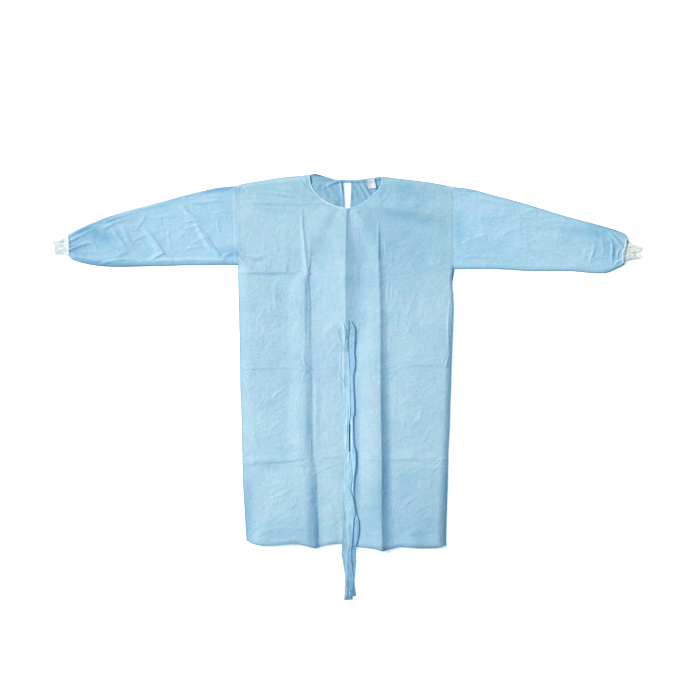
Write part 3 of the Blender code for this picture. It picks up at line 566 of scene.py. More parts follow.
    ("right chest 1", "cusp", "line", (
       (138, 430, 0, 5, 5), (160, 441, 0.52, 6, 5), (185, 446, 0.43, 6, 5), (210, 439, 0, 5, 5),
    )),
    ("right chest 2", "cusp", "line", (
       (154, 390, 0, 5, 5), (169, 408, 0.6, 5, 5), (182, 427, 0.52, 5, 5), (200, 439, 0, 5, 5),
    )),
    ("right chest 3", "cusp", "line", (
       (135, 371, 0, 5, 5), (141, 396, 0.52, 5, 5), (139, 421, 0.43, 5, 5), (134, 443, 0, 5, 5),
    )),
    ("right chest 4", "cusp", "line", (
       (182, 371, 0, 5, 5), (203, 385, 0.43, 5, 5), (228, 391, 0.43, 5, 5), (260, 386, 0, 5, 5),
    )),
    ("right chest 5", "cusp", "line", (
       (213, 402, 0, 5, 5), (232, 418, 0.43, 5, 5), (253, 424, 0.34, 5, 5), (278, 418, 0, 5, 5),
    )),
    ("right chest 6", "cusp", "line", (
       (150, 471, 0, 5, 5), (175, 476, 0.43, 5, 5), (203, 471, 0.43, 5, 5), (228, 459, 0, 5, 5),
    )),
    ("right chest 7", "cusp", "line", (
       (118, 390, 0, 4, 4), (121, 421, 0.43, 5, 5), (120, 452, 0.43, 5, 5), (117, 483, 0, 4, 4),
    )),
    ("right chest 8", "cusp", "line", (
       (278, 365, 0, 5, 5), (286, 386, 0.52, 5, 5), (297, 405, 0.34, 5, 5), (310, 418, 0, 4, 4),
    )),
    ("left mid long 1", "soft", "soft", (
       (-221, 221, 0, 10, 12), (-222, 265, 0.77, 10, 12), (-223, 308, 0.6, 10, 12),
       (-218, 340, 0, 10, 12),
    )),
    ("left mid 1", "cusp", "line", (
       (-283, 196, 0, 5, 5), (-272, 217, 0.69, 6, 5), (-261, 237, 0.52, 6, 5),
       (-258, 258, 0, 5, 5),
    )),
    ("left mid 2", "cusp", "line", (
       (-255, 262, 0, 5, 5), (-241, 244, 0.52, 5, 5), (-235, 230, 0.34, 5, 5),
       (-238, 215, 0, 4, 4),
    )),
    ("left mid 3", "soft", "line", (
       (-258, 225, 0.09, 9, 5), (-224, 224, 0.77, 10, 5), (-190, 219, 0.6, 9, 5),
       (-168, 212, 0, 8, 5),
    )),
    ("left mid 4", "cusp", "line", (
       (-246, 177, 0.09, 5, 5), (-225, 191, 0.77, 6, 5), (-205, 200, 0.6, 5, 5),
       (-183, 205, 0, 5, 5),
    )),
    ("left mid 5", "cusp", "line", (
       (-240, 159, 0, 5, 5), (-222, 170, 0.77, 6, 5), (-205, 177, 0.43, 5, 5),
       (-183, 179, 0, 5, 5),
    )),
    ("left mid 6", "cusp", "line", (
       (-212, 234, 0, 5, 5), (-210, 258, 0.52, 5, 5), (-212, 283, 0.43, 5, 5),
       (-208, 305, 0, 5, 5),
    )),
    ("left mid 7", "soft", "soft", (
       (-147, 124, 0, 9, 9), (-148, 177, 0.13, 9, 9), (-149, 234, 0.13, 9, 9),
       (-147, 283, 0, 9, 9),
    )),
    ("left mid 8", "cusp", "line", (
       (-283, 109, 0, 5, 5), (-271, 127, 0.43, 5, 5), (-263, 146, 0.43, 5, 5),
       (-265, 168, 0, 5, 5),
    )),
    ("left mid 9", "cusp", "line", (
       (-252, 112, 0, 5, 5), (-243, 129, 0.43, 5, 5), (-224, 140, 0.34, 5, 5),
       (-199, 143, 0, 5, 5),
    )),
    ("left mid 10", "cusp", "line", (
       (-321, 167, 0, 5, 4), (-290, 171, 0.34, 5, 5), (-258, 168, 0.34, 5, 5),
       (-233, 161, 0, 4, 4),
    )),
    ("left mid 11", "cusp", "line", (
       (-324, 99, 0, 5, 5), (-296, 106, 0.43, 5, 5), (-265, 101, 0.34, 5, 5), (-240, 90, 0, 5, 5),
    )),
    ("left mid 12", "cusp", "line", (
       (-321, 255, 0, 5, 5), (-302, 243, 0.34, 5, 5), (-280, 238, 0.34, 5, 5),
       (-258, 243, 0, 5, 5),
    )),
    ("left mid 13", "cusp", "line", (
       (-208, 106, 0, 5, 5), (-190, 115, 0.34, 5, 5), (-168, 115, 0.26, 5, 5),
       (-146, 106, 0, 5, 5),
    )),
    ("left mid 14", "soft", "line", (
       (-196, 294, 0, 6, 5), (-177, 297, 0.43, 6, 5), (-155, 294, 0.34, 6, 5),
       (-137, 287, 0, 5, 4),
    )),
    ("left mid 15", "cusp", "line", (
       (-308, 280, 0, 5, 5), (-293, 299, 0.34, 5, 5), (-274, 310, 0.34, 5, 5),
       (-249, 312, 0, 5, 5),
    )),
    ("tie pull left", "soft", "line", (
       (-77, 140, 0.05, 16, 12), (-60, 168, 0.5, 18, 14), (-40, 190, 0.68, 18, 13),
       (-19, 207, 0.36, 12, 8), (-9, 221, 0.05, 8, 6),
    )),
    ("tie pull left 2", "cusp", "line", (
       (-65, 93, 0, 6, 6), (-49, 113, 0.49, 8, 7), (-34, 129, 0.42, 7, 6), (-21, 146, 0, 5, 5),
    )),
    ("tie pull right", "soft", "line", (
       (29, 184, 0.08, 8, 8), (44, 209, 0.24, 10, 9), (54, 240, 0.16, 10, 9), (60, 271, 0, 9, 9),
    )),
    ("right mid V a", "cusp", "line", (
       (165, 212, 0.09, 5, 5), (180, 196, 0.77, 5, 6), (193, 177, 0.95, 5, 6),
       (200, 163, 0.09, 5, 5),
    )),
    ("right mid V b", "cusp", "line", (
       (169, 156, 0.09, 5, 5), (183, 165, 0.77, 5, 5), (196, 182, 0.69, 5, 5),
       (203, 202, 0.17, 5, 5),
    )),
    ("right mid up", "cusp", "line", (
       (175, 202, 0.09, 5, 5), (192, 234, 0.77, 6, 6), (202, 262, 0.69, 6, 6),
       (213, 290, 0.09, 5, 5),
    )),
    ("right mid up 2", "cusp", "line", (
       (200, 215, 0, 5, 5), (208, 243, 0.43, 5, 5), (211, 271, 0.34, 5, 5), (222, 296, 0, 5, 5),
    )),
    ("right mid pair", "cusp", "line", (
       (129, 252, 0.09, 5, 5), (127, 283, 0.77, 5, 5), (129, 315, 0.6, 5, 5), (136, 343, 0, 5, 5),
    )),
    ("right mid pair 2", "cusp", "line", (
       (142, 258, 0, 5, 5), (140, 290, 0.43, 5, 5), (143, 321, 0.34, 5, 5), (147, 346, 0, 5, 5),
    )),
    ("right mid 4", "cusp", "line", (
       (238, 202, 0, 5, 5), (232, 227, 0.43, 5, 5), (235, 252, 0.43, 5, 5), (247, 274, 0, 5, 5),
    )),
    ("right mid 5", "cusp", "line", (
       (154, 137, 0, 5, 5), (175, 149, 0.52, 6, 5), (200, 157, 0.43, 6, 5), (228, 156, 0, 5, 5),
    )),
    ("right mid 6", "cusp", "line", (
       (147, 177, 0, 5, 5), (155, 199, 0.52, 6, 6), (157, 224, 0.43, 6, 6), (150, 246, 0, 5, 5),
    )),
    ("right mid 7", "cusp", "line", (
       (219, 118, 0, 5, 5), (244, 126, 0.34, 5, 5), (272, 127, 0.34, 5, 5), (297, 121, 0, 5, 5),
    )),
    ("right mid 8", "cusp", "line", (
       (253, 162, 0, 5, 5), (266, 143, 0.43, 5, 5), (271, 124, 0.34, 5, 5), (266, 102, 0, 5, 5),
    )),
    ("right mid 9", "cusp", "line", (
       (216, 305, 0, 5, 5), (232, 297, 0.43, 5, 5), (239, 285, 0.34, 5, 5), (235, 271, 0, 5, 5),
    )),
    ("right mid 10", "soft", "line", (
       (166, 96, 0, 8, 5), (210, 99, 0.43, 8, 6), (260, 101, 0.43, 8, 6), (297, 109, 0, 7, 5),
    )),
    ("right mid 11", "cusp", "line", (
       (122, 84, 0, 6, 5), (132, 115, 0.43, 6, 5), (135, 146, 0.43, 6, 5), (133, 177, 0, 5, 5),
    )),
    ("low left 1", "cusp", "line", (
       (-249, -47, 0.09, 6, 5), (-227, -29, 0.86, 7, 6), (-205, -11, 0.86, 7, 6),
       (-183, 7, 0.17, 6, 5),
    )),
    ("low left 2", "cusp", "line", (
       (-265, -57, 0, 6, 5), (-246, -45, 0.52, 6, 6), (-224, -38, 0.43, 6, 5),
       (-199, -29, 0, 5, 5),
    )),
    ("low left 3", "cusp", "line", (
       (-243, -72, 0.09, 5, 5), (-218, -64, 0.69, 6, 5), (-193, -59, 0.6, 6, 5),
       (-171, -57, 0, 5, 5),
    )),
    ("low left 4", "cusp", "line", (
       (-212, -87, 0, 5, 5), (-193, -75, 0.69, 6, 5), (-174, -69, 0.34, 5, 5),
       (-152, -69, 0, 5, 5),
    )),
    ("low left 5", "cusp", "line", (
       (-246, -108, 0.09, 5, 5), (-227, -99, 0.69, 5, 5), (-205, -93, 0.6, 5, 5),
       (-183, -93, 0, 5, 5),
    )),
    ("low left 6", "cusp", "line", (
       (-240, -138, 0.09, 5, 5), (-225, -120, 0.77, 6, 5), (-208, -108, 0.6, 5, 5),
       (-190, -103, 0, 5, 5),
    )),
    ("low left 7", "cusp", "line", (
       (-268, -160, 0, 5, 5), (-246, -150, 0.6, 6, 5), (-224, -146, 0.52, 5, 5),
       (-199, -150, 0, 5, 5),
    )),
    ("low left 8", "cusp", "line", (
       (-227, -136, 0, 5, 5), (-215, -152, 0.43, 5, 5), (-208, -169, 0.26, 5, 5),
       (-212, -185, 0, 5, 5),
    )),
    ("low left 9", "cusp", "line", (
       (-305, -63, 0, 5, 5), (-280, -66, 0.43, 5, 5), (-255, -60, 0.43, 5, 5),
       (-236, -47, 0, 5, 5),
    )),
    ("low left 10", "cusp", "line", (
       (-261, -103, 0, 5, 5), (-252, -119, 0.43, 5, 5), (-253, -138, 0.34, 5, 5),
       (-265, -153, 0, 5, 5),
    )),
    ("low left 11", "cusp", "line", (
       (-233, -191, 0, 6, 5), (-205, -186, 0.43, 6, 5), (-177, -190, 0.43, 6, 5),
       (-149, -197, 0, 5, 5),
    )),
    ("low left 12", "cusp", "line", (
       (-302, 3, 0, 5, 5), (-271, 7, 0.34, 6, 5), (-236, 3, 0.34, 6, 5), (-205, -5, 0, 5, 5),
    )),
    ("low left 13", "cusp", "line", (
       (-174, -219, 0.09, 5, 4), (-160, -211, 0.52, 5, 4), (-145, -203, 0.17, 5, 4),
    )),
    ("low left 14", "cusp", "line", (
       (-296, -135, 0, 5, 5), (-283, -160, 0.34, 6, 5), (-277, -185, 0.26, 5, 5),
       (-280, -206, 0, 5, 5),
    )),
    ("low centre 1", "cusp", "line", (
       (-77, -44, 0, 5, 5), (-52, -40, 0.34, 5, 5), (-27, -44, 0.26, 5, 5), (-12, -50, 0, 5, 5),
    )),
    ("low centre 2", "cusp", "line", (
       (-84, -85, 0, 6, 5), (-59, -80, 0.43, 6, 5), (-31, -82, 0.34, 6, 5), (-15, -88, 0, 5, 5),
    )),
    ("low centre 3", "cusp", "line", (
       (-68, -143, 0, 5, 5), (-52, -137, 0.52, 5, 5), (-37, -144, 0.26, 5, 5),
       (-27, -156, 0, 5, 5),
    )),
    ("low centre 4", "cusp", "line", (
       (-77, -169, 0, 5, 5), (-59, -175, 0.34, 5, 5), (-37, -172, 0.34, 5, 5),
       (-18, -160, 0, 5, 5),
    )),
    ("low right 1", "cusp", "line", (
       (163, -60, 0.09, 5, 5), (180, -46, 0.69, 6, 6), (197, -32, 0.6, 6, 6), (219, -22, 0, 5, 5),
    )),
    ("low right 2", "cusp", "line", (
       (210, -116, 0.09, 5, 5), (223, -99, 0.77, 6, 6), (232, -78, 0.69, 6, 6),
       (233, -57, 0, 5, 5),
    )),
    ("low right 3", "cusp", "line", (
       (169, -138, 0, 5, 5), (177, -116, 0.6, 6, 6), (182, -93, 0.43, 6, 6), (178, -72, 0, 5, 5),
    )),
    ("low right 4", "cusp", "line", (
       (185, -141, 0, 5, 5), (203, -119, 0.6, 6, 6), (222, -105, 0.52, 6, 6), (244, -97, 0, 5, 5),
    )),
    ("low right 5", "cusp", "line", (
       (225, -32, 0, 5, 5), (241, -14, 0.6, 6, 5), (260, 1, 0.52, 6, 5), (281, 12, 0, 5, 5),
    )),
    ("low right 6", "cusp", "line", (
       (191, -78, 0, 6, 5), (219, -67, 0.6, 6, 6), (250, -62, 0.52, 6, 6), (281, -63, 0, 5, 5),
    )),
    ("low right 7", "cusp", "line", (
       (244, -91, 0, 5, 5), (263, -80, 0.43, 5, 5), (281, -75, 0.34, 5, 5), (300, -75, 0, 5, 5),
    )),
    ("low right 8", "cusp", "line", (
       (154, -178, 0, 6, 6), (169, -160, 0.43, 6, 6), (191, -149, 0.43, 6, 6),
       (219, -147, 0, 5, 5),
    )),
    ("low right 9", "cusp", "line", (
       (235, -178, 0, 5, 5), (247, -156, 0.52, 6, 6), (256, -135, 0.34, 6, 6),
       (275, -116, 0, 5, 5),
    )),
    ("low right 10", "cusp", "line", (
       (166, -4, 0, 6, 5), (194, 3, 0.43, 6, 5), (225, 5, 0.34, 6, 5), (256, 0, 0, 5, 5),
    )),
    ("low right 11", "soft", "line", (
       (178, -197, 0, 7, 5), (216, -193, 0.43, 7, 5), (256, -194, 0.43, 7, 5),
       (291, -200, 0, 6, 5),
    )),
    ("hem left 1", "cusp", "line", (
       (-252, -359, 0.09, 6, 5), (-227, -345, 0.77, 7, 6), (-205, -336, 0.95, 7, 6),
       (-180, -323, 0.6, 6, 6), (-162, -312, 0, 5, 5),
    )),
    ("hem left 2", "cusp", "line", (
       (-249, -377, 0.09, 6, 5), (-230, -361, 0.77, 6, 6), (-208, -351, 0.69, 6, 6),
       (-180, -346, 0, 6, 5),
    )),
    ("hem left 3", "cusp", "line", (
       (-218, -390, 0.09, 6, 5), (-196, -380, 0.77, 6, 6), (-174, -375, 0.69, 6, 6),
       (-152, -375, 0, 5, 5),
    )),
    ("hem left 4", "cusp", "line", (
       (-240, -412, 0.09, 6, 5), (-218, -398, 0.69, 6, 6), (-196, -390, 0.69, 6, 6),
       (-171, -387, 0, 5, 5),
    )),
    ("hem left 5", "cusp", "line", (
       (-233, -431, 0, 6, 5), (-212, -417, 0.52, 6, 6), (-190, -408, 0.52, 6, 6),
       (-165, -403, 0, 5, 5),
    )),
    ("hem left 6", "cusp", "line", (
       (-178, -384, 0.09, 4, 4), (-168, -370, 0.69, 5, 5), (-155, -362, 0.17, 4, 4),
    )),
    ("hem left 7", "cusp", "line", (
       (-265, -319, 0, 5, 5), (-240, -308, 0.43, 6, 5), (-212, -305, 0.43, 6, 5),
       (-183, -294, 0, 5, 5),
    )),
    ("hem left 8", "cusp", "line", (
       (-277, -372, 0, 5, 5), (-268, -350, 0.43, 5, 5), (-271, -328, 0.34, 5, 5),
       (-265, -306, 0, 5, 5),
    )),
    ("hem left 9", "cusp", "line", (
       (-277, -428, 0, 6, 6), (-252, -419, 0.43, 6, 6), (-230, -422, 0.34, 6, 6),
       (-208, -434, 0, 6, 6),
    )),
    ("hem left 10", "soft", "soft", (
       (-283, -465, 0, 9, 9), (-246, -447, 0.52, 10, 10), (-202, -440, 0.43, 10, 10),
       (-158, -447, 0, 9, 9),
    )),
    ("hem left 11", "cusp", "line", (
       (-240, -337, 0, 5, 5), (-230, -325, 0.43, 5, 5), (-212, -316, 0.43, 5, 5),
       (-190, -311, 0, 5, 5),
    )),
    ("hem centre 1", "cusp", "line", (
       (-65, -437, 0, 6, 6), (-40, -423, 0.6, 7, 6), (-21, -409, 0.26, 6, 5),
    )),
    ("hem centre 2", "cusp", "line", (
       (-52, -378, 0, 5, 5), (-40, -362, 0.43, 5, 5), (-21, -353, 0.26, 5, 5),
    )),
    ("hem centre 3", "soft", "soft", (
       (-34, -291, 0, 9, 7), (-31, -328, 0.13, 9, 7), (-27, -372, 0.18, 9, 7),
       (-27, -415, 0.1, 9, 7), (-27, -447, 0, 8, 6),
    )),
    ("hem right 1", "cusp", "line", (
       (169, -384, 0.06, 6, 6), (188, -364, 0.6, 7, 7), (207, -348, 0.6, 7, 7),
       (228, -339, 0.42, 6, 6), (253, -336, 0, 6, 5),
    )),
    ("hem right 2", "cusp", "line", (
       (200, -397, 0.06, 6, 6), (225, -382, 0.54, 7, 7), (253, -370, 0.54, 7, 7),
       (281, -356, 0.06, 6, 6),
    )),
    ("hem right 3", "cusp", "line", (
       (210, -412, 0, 6, 6), (232, -397, 0.48, 6, 6), (253, -387, 0.42, 6, 6),
       (278, -381, 0, 6, 5),
    )),
    ("hem right 4", "cusp", "line", (
       (197, -434, 0, 6, 6), (219, -417, 0.36, 7, 7), (247, -407, 0.3, 7, 7),
       (278, -403, 0, 6, 6),
    )),
    ("hem right 5", "soft", "line", (
       (135, -481, 0, 7, 8), (137, -440, 0.2, 8, 9), (141, -406, 0.24, 8, 9),
       (150, -375, 0.16, 8, 8), (160, -350, 0, 7, 8),
    )),
    ("hem right 6", "cusp", "line", (
       (165, -453, 0, 5, 5), (162, -431, 0.35, 6, 6), (155, -409, 0.25, 6, 6),
       (154, -390, 0, 5, 5),
    )),
    ("hem right 7", "cusp", "line", (
       (178, -350, 0, 5, 5), (188, -334, 0.43, 5, 5), (200, -324, 0.34, 5, 5),
       (222, -319, 0, 5, 5),
    )),
    ("hem right 8", "soft", "soft", (
       (178, -465, 0, 9, 10), (216, -450, 0.52, 10, 11), (256, -447, 0.43, 10, 11),
       (288, -453, 0, 9, 9),
    )),
    ("hem right 9", "cusp", "line", (
       (241, -325, 0, 5, 5), (256, -309, 0.52, 6, 6), (266, -291, 0.43, 6, 6),
       (281, -275, 0, 5, 5),
    )),
    ("hem right 10", "cusp", "line", (
       (166, -294, 0, 6, 5), (188, -283, 0.43, 6, 5), (213, -278, 0.43, 6, 5),
       (241, -283, 0, 5, 5),
    )),
    ("hem lift left", "soft", "soft", (
       (-265, -497, 1, 30, 34), (-258, -447, 0.7, 30, 34), (-252, -390, 0.2, 30, 34),
       (-249, -353, 0, 26, 30),
    )),
    ("hem lift centre", "soft", "soft", (
       (-49, -497, 1.2, 34, 26), (-49, -440, 0.8, 34, 26), (-46, -369, 0.2, 30, 24),
       (-46, -328, 0, 26, 22),
    )),
    ("hem lift right", "soft", "soft", (
       (210, -506, 1, 40, 40), (207, -447, 0.7, 40, 40), (203, -378, 0.2, 36, 36),
       (203, -328, 0, 30, 30),
    )),
    ("sleeve l main 1", "soft", "cusp", (
       (-385, 399, 0.3, 12, 6), (-402, 421, 1.4, 16, 7), (-421, 443, 1.6, 18, 8),
       (-436, 471, 1.3, 16, 8), (-449, 489, 0.3, 10, 6),
    )),
    ("sleeve l main 2", "soft", "cusp", (
       (-421, 427, 0.2, 10, 6), (-433, 446, 1.5, 16, 8), (-446, 471, 1.8, 18, 8),
       (-460, 496, 1.4, 16, 8), (-470, 511, 0.3, 10, 6),
    )),
    ("sleeve l main 3", "soft", "cusp", (
       (-449, 516, 0.2, 10, 6), (-467, 525, 1.3, 16, 7), (-487, 539, 1.6, 18, 8),
       (-506, 558, 1.3, 16, 8), (-524, 575, 0.3, 10, 6),
    )),
    ("sleeve l cross 1", "cusp", "line", (
       (-514, 509, 0.2, 8, 6), (-492, 516, 1, 9, 7), (-470, 517, 1, 9, 7), (-449, 511, 0.3, 7, 6),
    )),
    ("sleeve l cross 2", "cusp", "line", (
       (-511, 491, 0.2, 8, 6), (-489, 497, 1.1, 9, 7), (-467, 504, 0.9, 9, 7),
       (-452, 508, 0.1, 7, 6),
    )),
    ("sleeve l underarm 1", "cusp", "line", (
       (-417, 453, 0.1, 10, 8), (-396, 441, 1.2, 14, 10), (-371, 430, 1.6, 15, 12),
       (-346, 419, 1.5, 14, 12), (-324, 402, 0.3, 9, 8),
    )),
    ("sleeve l underarm 2", "soft", "line", (
       (-389, 390, 0.2, 9, 7), (-377, 408, 1.2, 12, 9), (-358, 416, 1, 12, 9),
       (-339, 411, 0.2, 9, 7),
    )),
    ("sleeve l Y up left", "soft", "cusp", (
       (-573, 421, 0.9, 14, 6), (-583, 436, 1.7, 20, 7), (-600, 461, 1.5, 20, 7),
       (-620, 486, 1, 16, 6), (-636, 502, 0.1, 10, 5),
    )),
    ("sleeve l Y left", "cusp", "cusp", (
       (-626, 448, -0.2, 6, 6), (-611, 435, -1, 6, 6), (-592, 424, -1.1, 6, 6),
       (-579, 420, -0.4, 6, 6),
    )),
    ("sleeve l Y low left", "soft", "cusp", (
       (-618, 391, 0.2, 14, 5), (-598, 401, 1.3, 18, 6), (-583, 410, 1.4, 18, 6),
       (-573, 414, 0.6, 10, 5),
    )),
    ("sleeve l Y low right", "cusp", "cusp", (
       (-568, 416, -0.5, 7, 7), (-555, 409, -1.6, 7, 7), (-539, 401, -1.6, 7, 7),
       (-520, 395, -0.3, 6, 6),
    )),
    ("sleeve l Y up", "cusp", "cusp", (
       (-569, 424, -0.25, 6, 5), (-565, 449, -0.3, 6, 6), (-563, 474, -0.25, 6, 6),
       (-562, 496, -0.05, 5, 5),
    )),
    ("sleeve l Y right of", "cusp", "line", (
       (-548, 427, 0, 7, 6), (-553, 452, 0.5, 8, 7), (-556, 477, 0.4, 8, 7), (-553, 502, 0, 7, 6),
    )),
    ("sleeve l outer diag", "cusp", "line", (
       (-681, 421, 0.2, 9, 7), (-695, 441, 1.2, 12, 9), (-711, 464, 1.4, 12, 9),
       (-728, 489, 0.9, 10, 8), (-739, 502, 0.1, 7, 6),
    )),
    ("sleeve l outer diag 2", "soft", "soft", (
       (-667, 439, 0.1, 9, 10), (-683, 464, 0.9, 11, 12), (-695, 489, 0.8, 11, 12),
       (-704, 508, 0.1, 9, 10),
    )),
    ("sleeve l outer ridge", "soft", "line", (
       (-773, 491, 0.1, 9, 8), (-751, 497, 1.1, 10, 9), (-729, 508, 1.3, 10, 9),
       (-704, 517, 0.9, 10, 8), (-670, 525, 0.2, 8, 7),
    )),
    ("sleeve l outer ridge 2", "soft", "line", (
       (-764, 511, 0.1, 8, 6), (-733, 522, 1, 9, 7), (-698, 533, 1, 9, 7), (-658, 544, 0.2, 8, 6),
    )),
    ("sleeve l hollow", "soft", "soft", (
       (-801, 471, -0.3, 20, 20), (-773, 471, -1.4, 24, 24), (-745, 464, -1.4, 24, 24),
       (-714, 455, -0.3, 18, 18),
    )),
    ("sleeve l patch left", "soft", "soft", (
       (-795, 458, 0.03, 12, 14), (-790, 477, 0.24, 14, 16), (-786, 496, 0.21, 13, 15),
       (-779, 511, 0.03, 10, 11),
    )),
    ("sleeve l pocket", "cusp", "line", (
       (-872, 422, 0.9, 9, 8), (-851, 434, 1.6, 11, 9), (-823, 444, 1.5, 11, 8),
       (-798, 449, 0.9, 9, 7), (-784, 441, 0.2, 7, 5),
    )),
    ("sleeve l pocket 2", "soft", "line", (
       (-781, 427, 0.1, 6, 5), (-782, 439, 0.9, 7, 6), (-792, 448, 0.6, 7, 6),
    )),
    ("sleeve l pocket inner", "soft", "soft", (
       (-839, 411, 0, 8, 8), (-814, 421, 0.7, 9, 9), (-786, 419, 0.7, 9, 9), (-758, 408, 0, 8, 8),
    )),
    ("sleeve l band 1", "soft", "cusp", (
       (-864, 424, 0.6, 9, 9), (-848, 408, 1.9, 11, 12), (-820, 400, 2.1, 11, 13),
       (-789, 393, 2, 11, 12), (-761, 386, 1.2, 9, 8), (-739, 382, 0.2, 7, 6),
    )),
    ("sleeve l band 2", "soft", "line", (
       (-767, 383, 0.3, 8, 7), (-745, 389, 1.2, 9, 8), (-714, 396, 1, 9, 8),
       (-683, 396, 0.7, 8, 7), (-636, 393, 0.2, 7, 6),
    )),
    ("sleeve l low bright", "soft", "line", (
       (-729, 403, 0.1, 8, 7), (-704, 413, 0.9, 9, 8), (-676, 422, 0.3, 8, 7),
    )),
    ("sleeve l bottom 1", "soft", "cusp", (
       (-639, 391, 0.3, 10, 12), (-583, 393, 1.5, 11, 14), (-505, 395, 1.6, 11, 14),
       (-427, 395, 1.5, 11, 14), (-358, 393, 0.5, 10, 12),
    )),
    ("sleeve l top dark", "soft", "soft", (
       (-449, 595, -0.3, 12, 12), (-414, 606, -1.1, 14, 12), (-371, 614, -1.1, 14, 12),
       (-333, 619, -0.3, 10, 10),
    )),
    ("sleeve l streak 1", "soft", "line", (
       (-508, 572, 0.1, 9, 8), (-458, 575, 1, 9, 9), (-408, 579, 0.9, 9, 9),
       (-352, 581, 0.1, 9, 8),
    )),
    ("sleeve l streak 2", "soft", "line", (
       (-602, 525, 0.1, 8, 6), (-580, 530, 0.9, 8, 7), (-555, 531, 0.8, 8, 7),
       (-533, 529, 0.1, 8, 6),
    )),
    ("sleeve l streak 3", "cusp", "line", (
       (-427, 542, 0, 8, 7), (-396, 547, 0.6, 9, 8), (-361, 546, 0.5, 9, 8), (-346, 542, 0, 7, 6),
    )),
    ("sleeve l streak 4", "soft", "line", (
       (-670, 547, 0, 8, 7), (-626, 556, 0.7, 9, 8), (-583, 566, 0.6, 9, 8), (-545, 572, 0, 8, 7),
    )),
    ("sleeve l streak 5", "cusp", "line", (
       (-430, 502, 0, 7, 6), (-405, 506, 0.6, 8, 7), (-377, 502, 0.5, 8, 7), (-352, 492, 0, 7, 6),
    )),
    ("sleeve l mid 1", "cusp", "line", (
       (-673, 449, 0, 7, 7), (-651, 464, 0.8, 9, 8), (-626, 474, 0.6, 9, 8), (-608, 474, 0, 7, 7),
    )),
    ("sleeve l mid 2", "cusp", "line", (
       (-511, 425, 0, 7, 6), (-489, 433, 0.9, 9, 7), (-464, 436, 0.8, 9, 7), (-430, 433, 0, 7, 6),
    )),
    ("sleeve l mid 3", "cusp", "line", (
       (-495, 436, 0, 7, 6), (-474, 452, 0.8, 9, 8), (-449, 464, 0.5, 8, 7), (-430, 468, 0, 6, 6),
    )),
    ("sleeve l mid 4", "cusp", "line", (
       (-670, 480, 0, 7, 7), (-651, 499, 0.7, 9, 8), (-636, 521, 0.5, 9, 8), (-626, 539, 0, 7, 7),
    )),
    ("sleeve l mid 5", "cusp", "line", (
       (-533, 458, 0, 7, 6), (-514, 474, 0.6, 8, 8), (-502, 483, 0.4, 8, 7), (-480, 486, 0, 6, 6),
    )),
    ("sleeve l mid 6", "cusp", "line", (
       (-389, 471, 0, 7, 6), (-399, 492, 0.6, 8, 7), (-402, 514, 0.5, 8, 7), (-396, 536, 0, 6, 6),
    )),
    ("sleeve l end gather 1", "cusp", "line", (
       (-867, 453, 0.9, 8, 7), (-848, 463, 1.4, 9, 8), (-823, 475, 1.1, 9, 8),
       (-795, 486, 0.2, 7, 6),
    )),
    ("sleeve l end gather 2", "soft", "line", (
       (-865, 438, 0.9, 6, 6), (-848, 444, 0.9, 6, 6), (-829, 450, 0.2, 6, 5),
    )),
    ("sleeve l end gather 3", "soft", "line", (
       (-860, 471, 0.7, 6, 6), (-836, 484, 0.9, 7, 7), (-807, 497, 0.6, 7, 6),
       (-779, 505, 0, 6, 6),
    )),
    ("sleeve r 1", "soft", "line", (
       (384, 597, 0.1, 10, 8), (409, 587, 1.1, 12, 10), (441, 580, 1.2, 12, 10),
       (478, 572, 0.7, 10, 9), (515, 562, 0.1, 9, 7),
    )),
    ("sleeve r 2", "soft", "line", (
       (553, 547, 0.1, 8, 6), (578, 550, 0.9, 8, 7), (606, 547, 0.6, 8, 6), (628, 539, 0.1, 7, 5),
    )),
    ("sleeve r 3", "soft", "line", (
       (536, 464, 0, 8, 7), (539, 496, 0.35, 9, 8), (542, 527, 0.1, 8, 7),
    )),
    ("sleeve r 4", "cusp", "line", (
       (757, 377, 0.1, 7, 6), (762, 402, 0.8, 8, 7), (770, 430, 0.7, 8, 7), (773, 452, 0.1, 7, 6),
    )),
    ("sleeve r 5", "cusp", "line", (
       (778, 458, 0.1, 6, 6), (776, 475, 0.6, 7, 6), (771, 492, 0.1, 6, 6),
    )),
    ("sleeve r hollow", "soft", "soft", (
       (572, 492, -0.2, 18, 18), (640, 486, -1.1, 22, 22), (715, 480, -1.2, 22, 22),
       (802, 471, -0.6, 20, 20),
    )),
    ("sleeve r streak 1", "cusp", "line", (
       (347, 443, 0.1, 9, 8), (378, 455, 0.7, 10, 9), (412, 469, 0.6, 10, 9),
       (447, 480, 0.1, 8, 7),
    )),
    ("sleeve r streak 2", "cusp", "line", (
       (372, 502, 0, 8, 7), (403, 492, 0.6, 9, 8), (425, 474, 0.6, 9, 8), (441, 449, 0, 7, 7),
    )),
    ("sleeve r streak 3", "soft", "line", (
       (344, 403, 0.1, 9, 7), (397, 406, 0.6, 9, 8), (459, 405, 0.6, 9, 8), (515, 399, 0, 8, 7),
    )),
    ("sleeve r streak 4", "cusp", "line", (
       (409, 539, 0, 8, 7), (437, 530, 0.5, 9, 8), (469, 531, 0.5, 9, 8), (503, 539, 0, 8, 7),
    )),
    ("sleeve r streak 5", "soft", "soft", (
       (497, 446, 0, 9, 9), (547, 436, 0.5, 9, 9), (603, 428, 0.5, 9, 9), (653, 427, 0, 9, 9),
    )),
    ("sleeve r streak 6", "soft", "soft", (
       (603, 508, 0, 9, 9), (653, 517, 0.5, 9, 9), (703, 514, 0.4, 9, 9), (746, 502, 0, 9, 9),
    )),
    ("sleeve r streak 7", "cusp", "line", (
       (603, 439, 0, 8, 7), (628, 427, 0.6, 9, 8), (653, 418, 0.5, 9, 8), (684, 414, 0, 7, 7),
    )),
    ("sleeve r streak 8", "cusp", "line", (
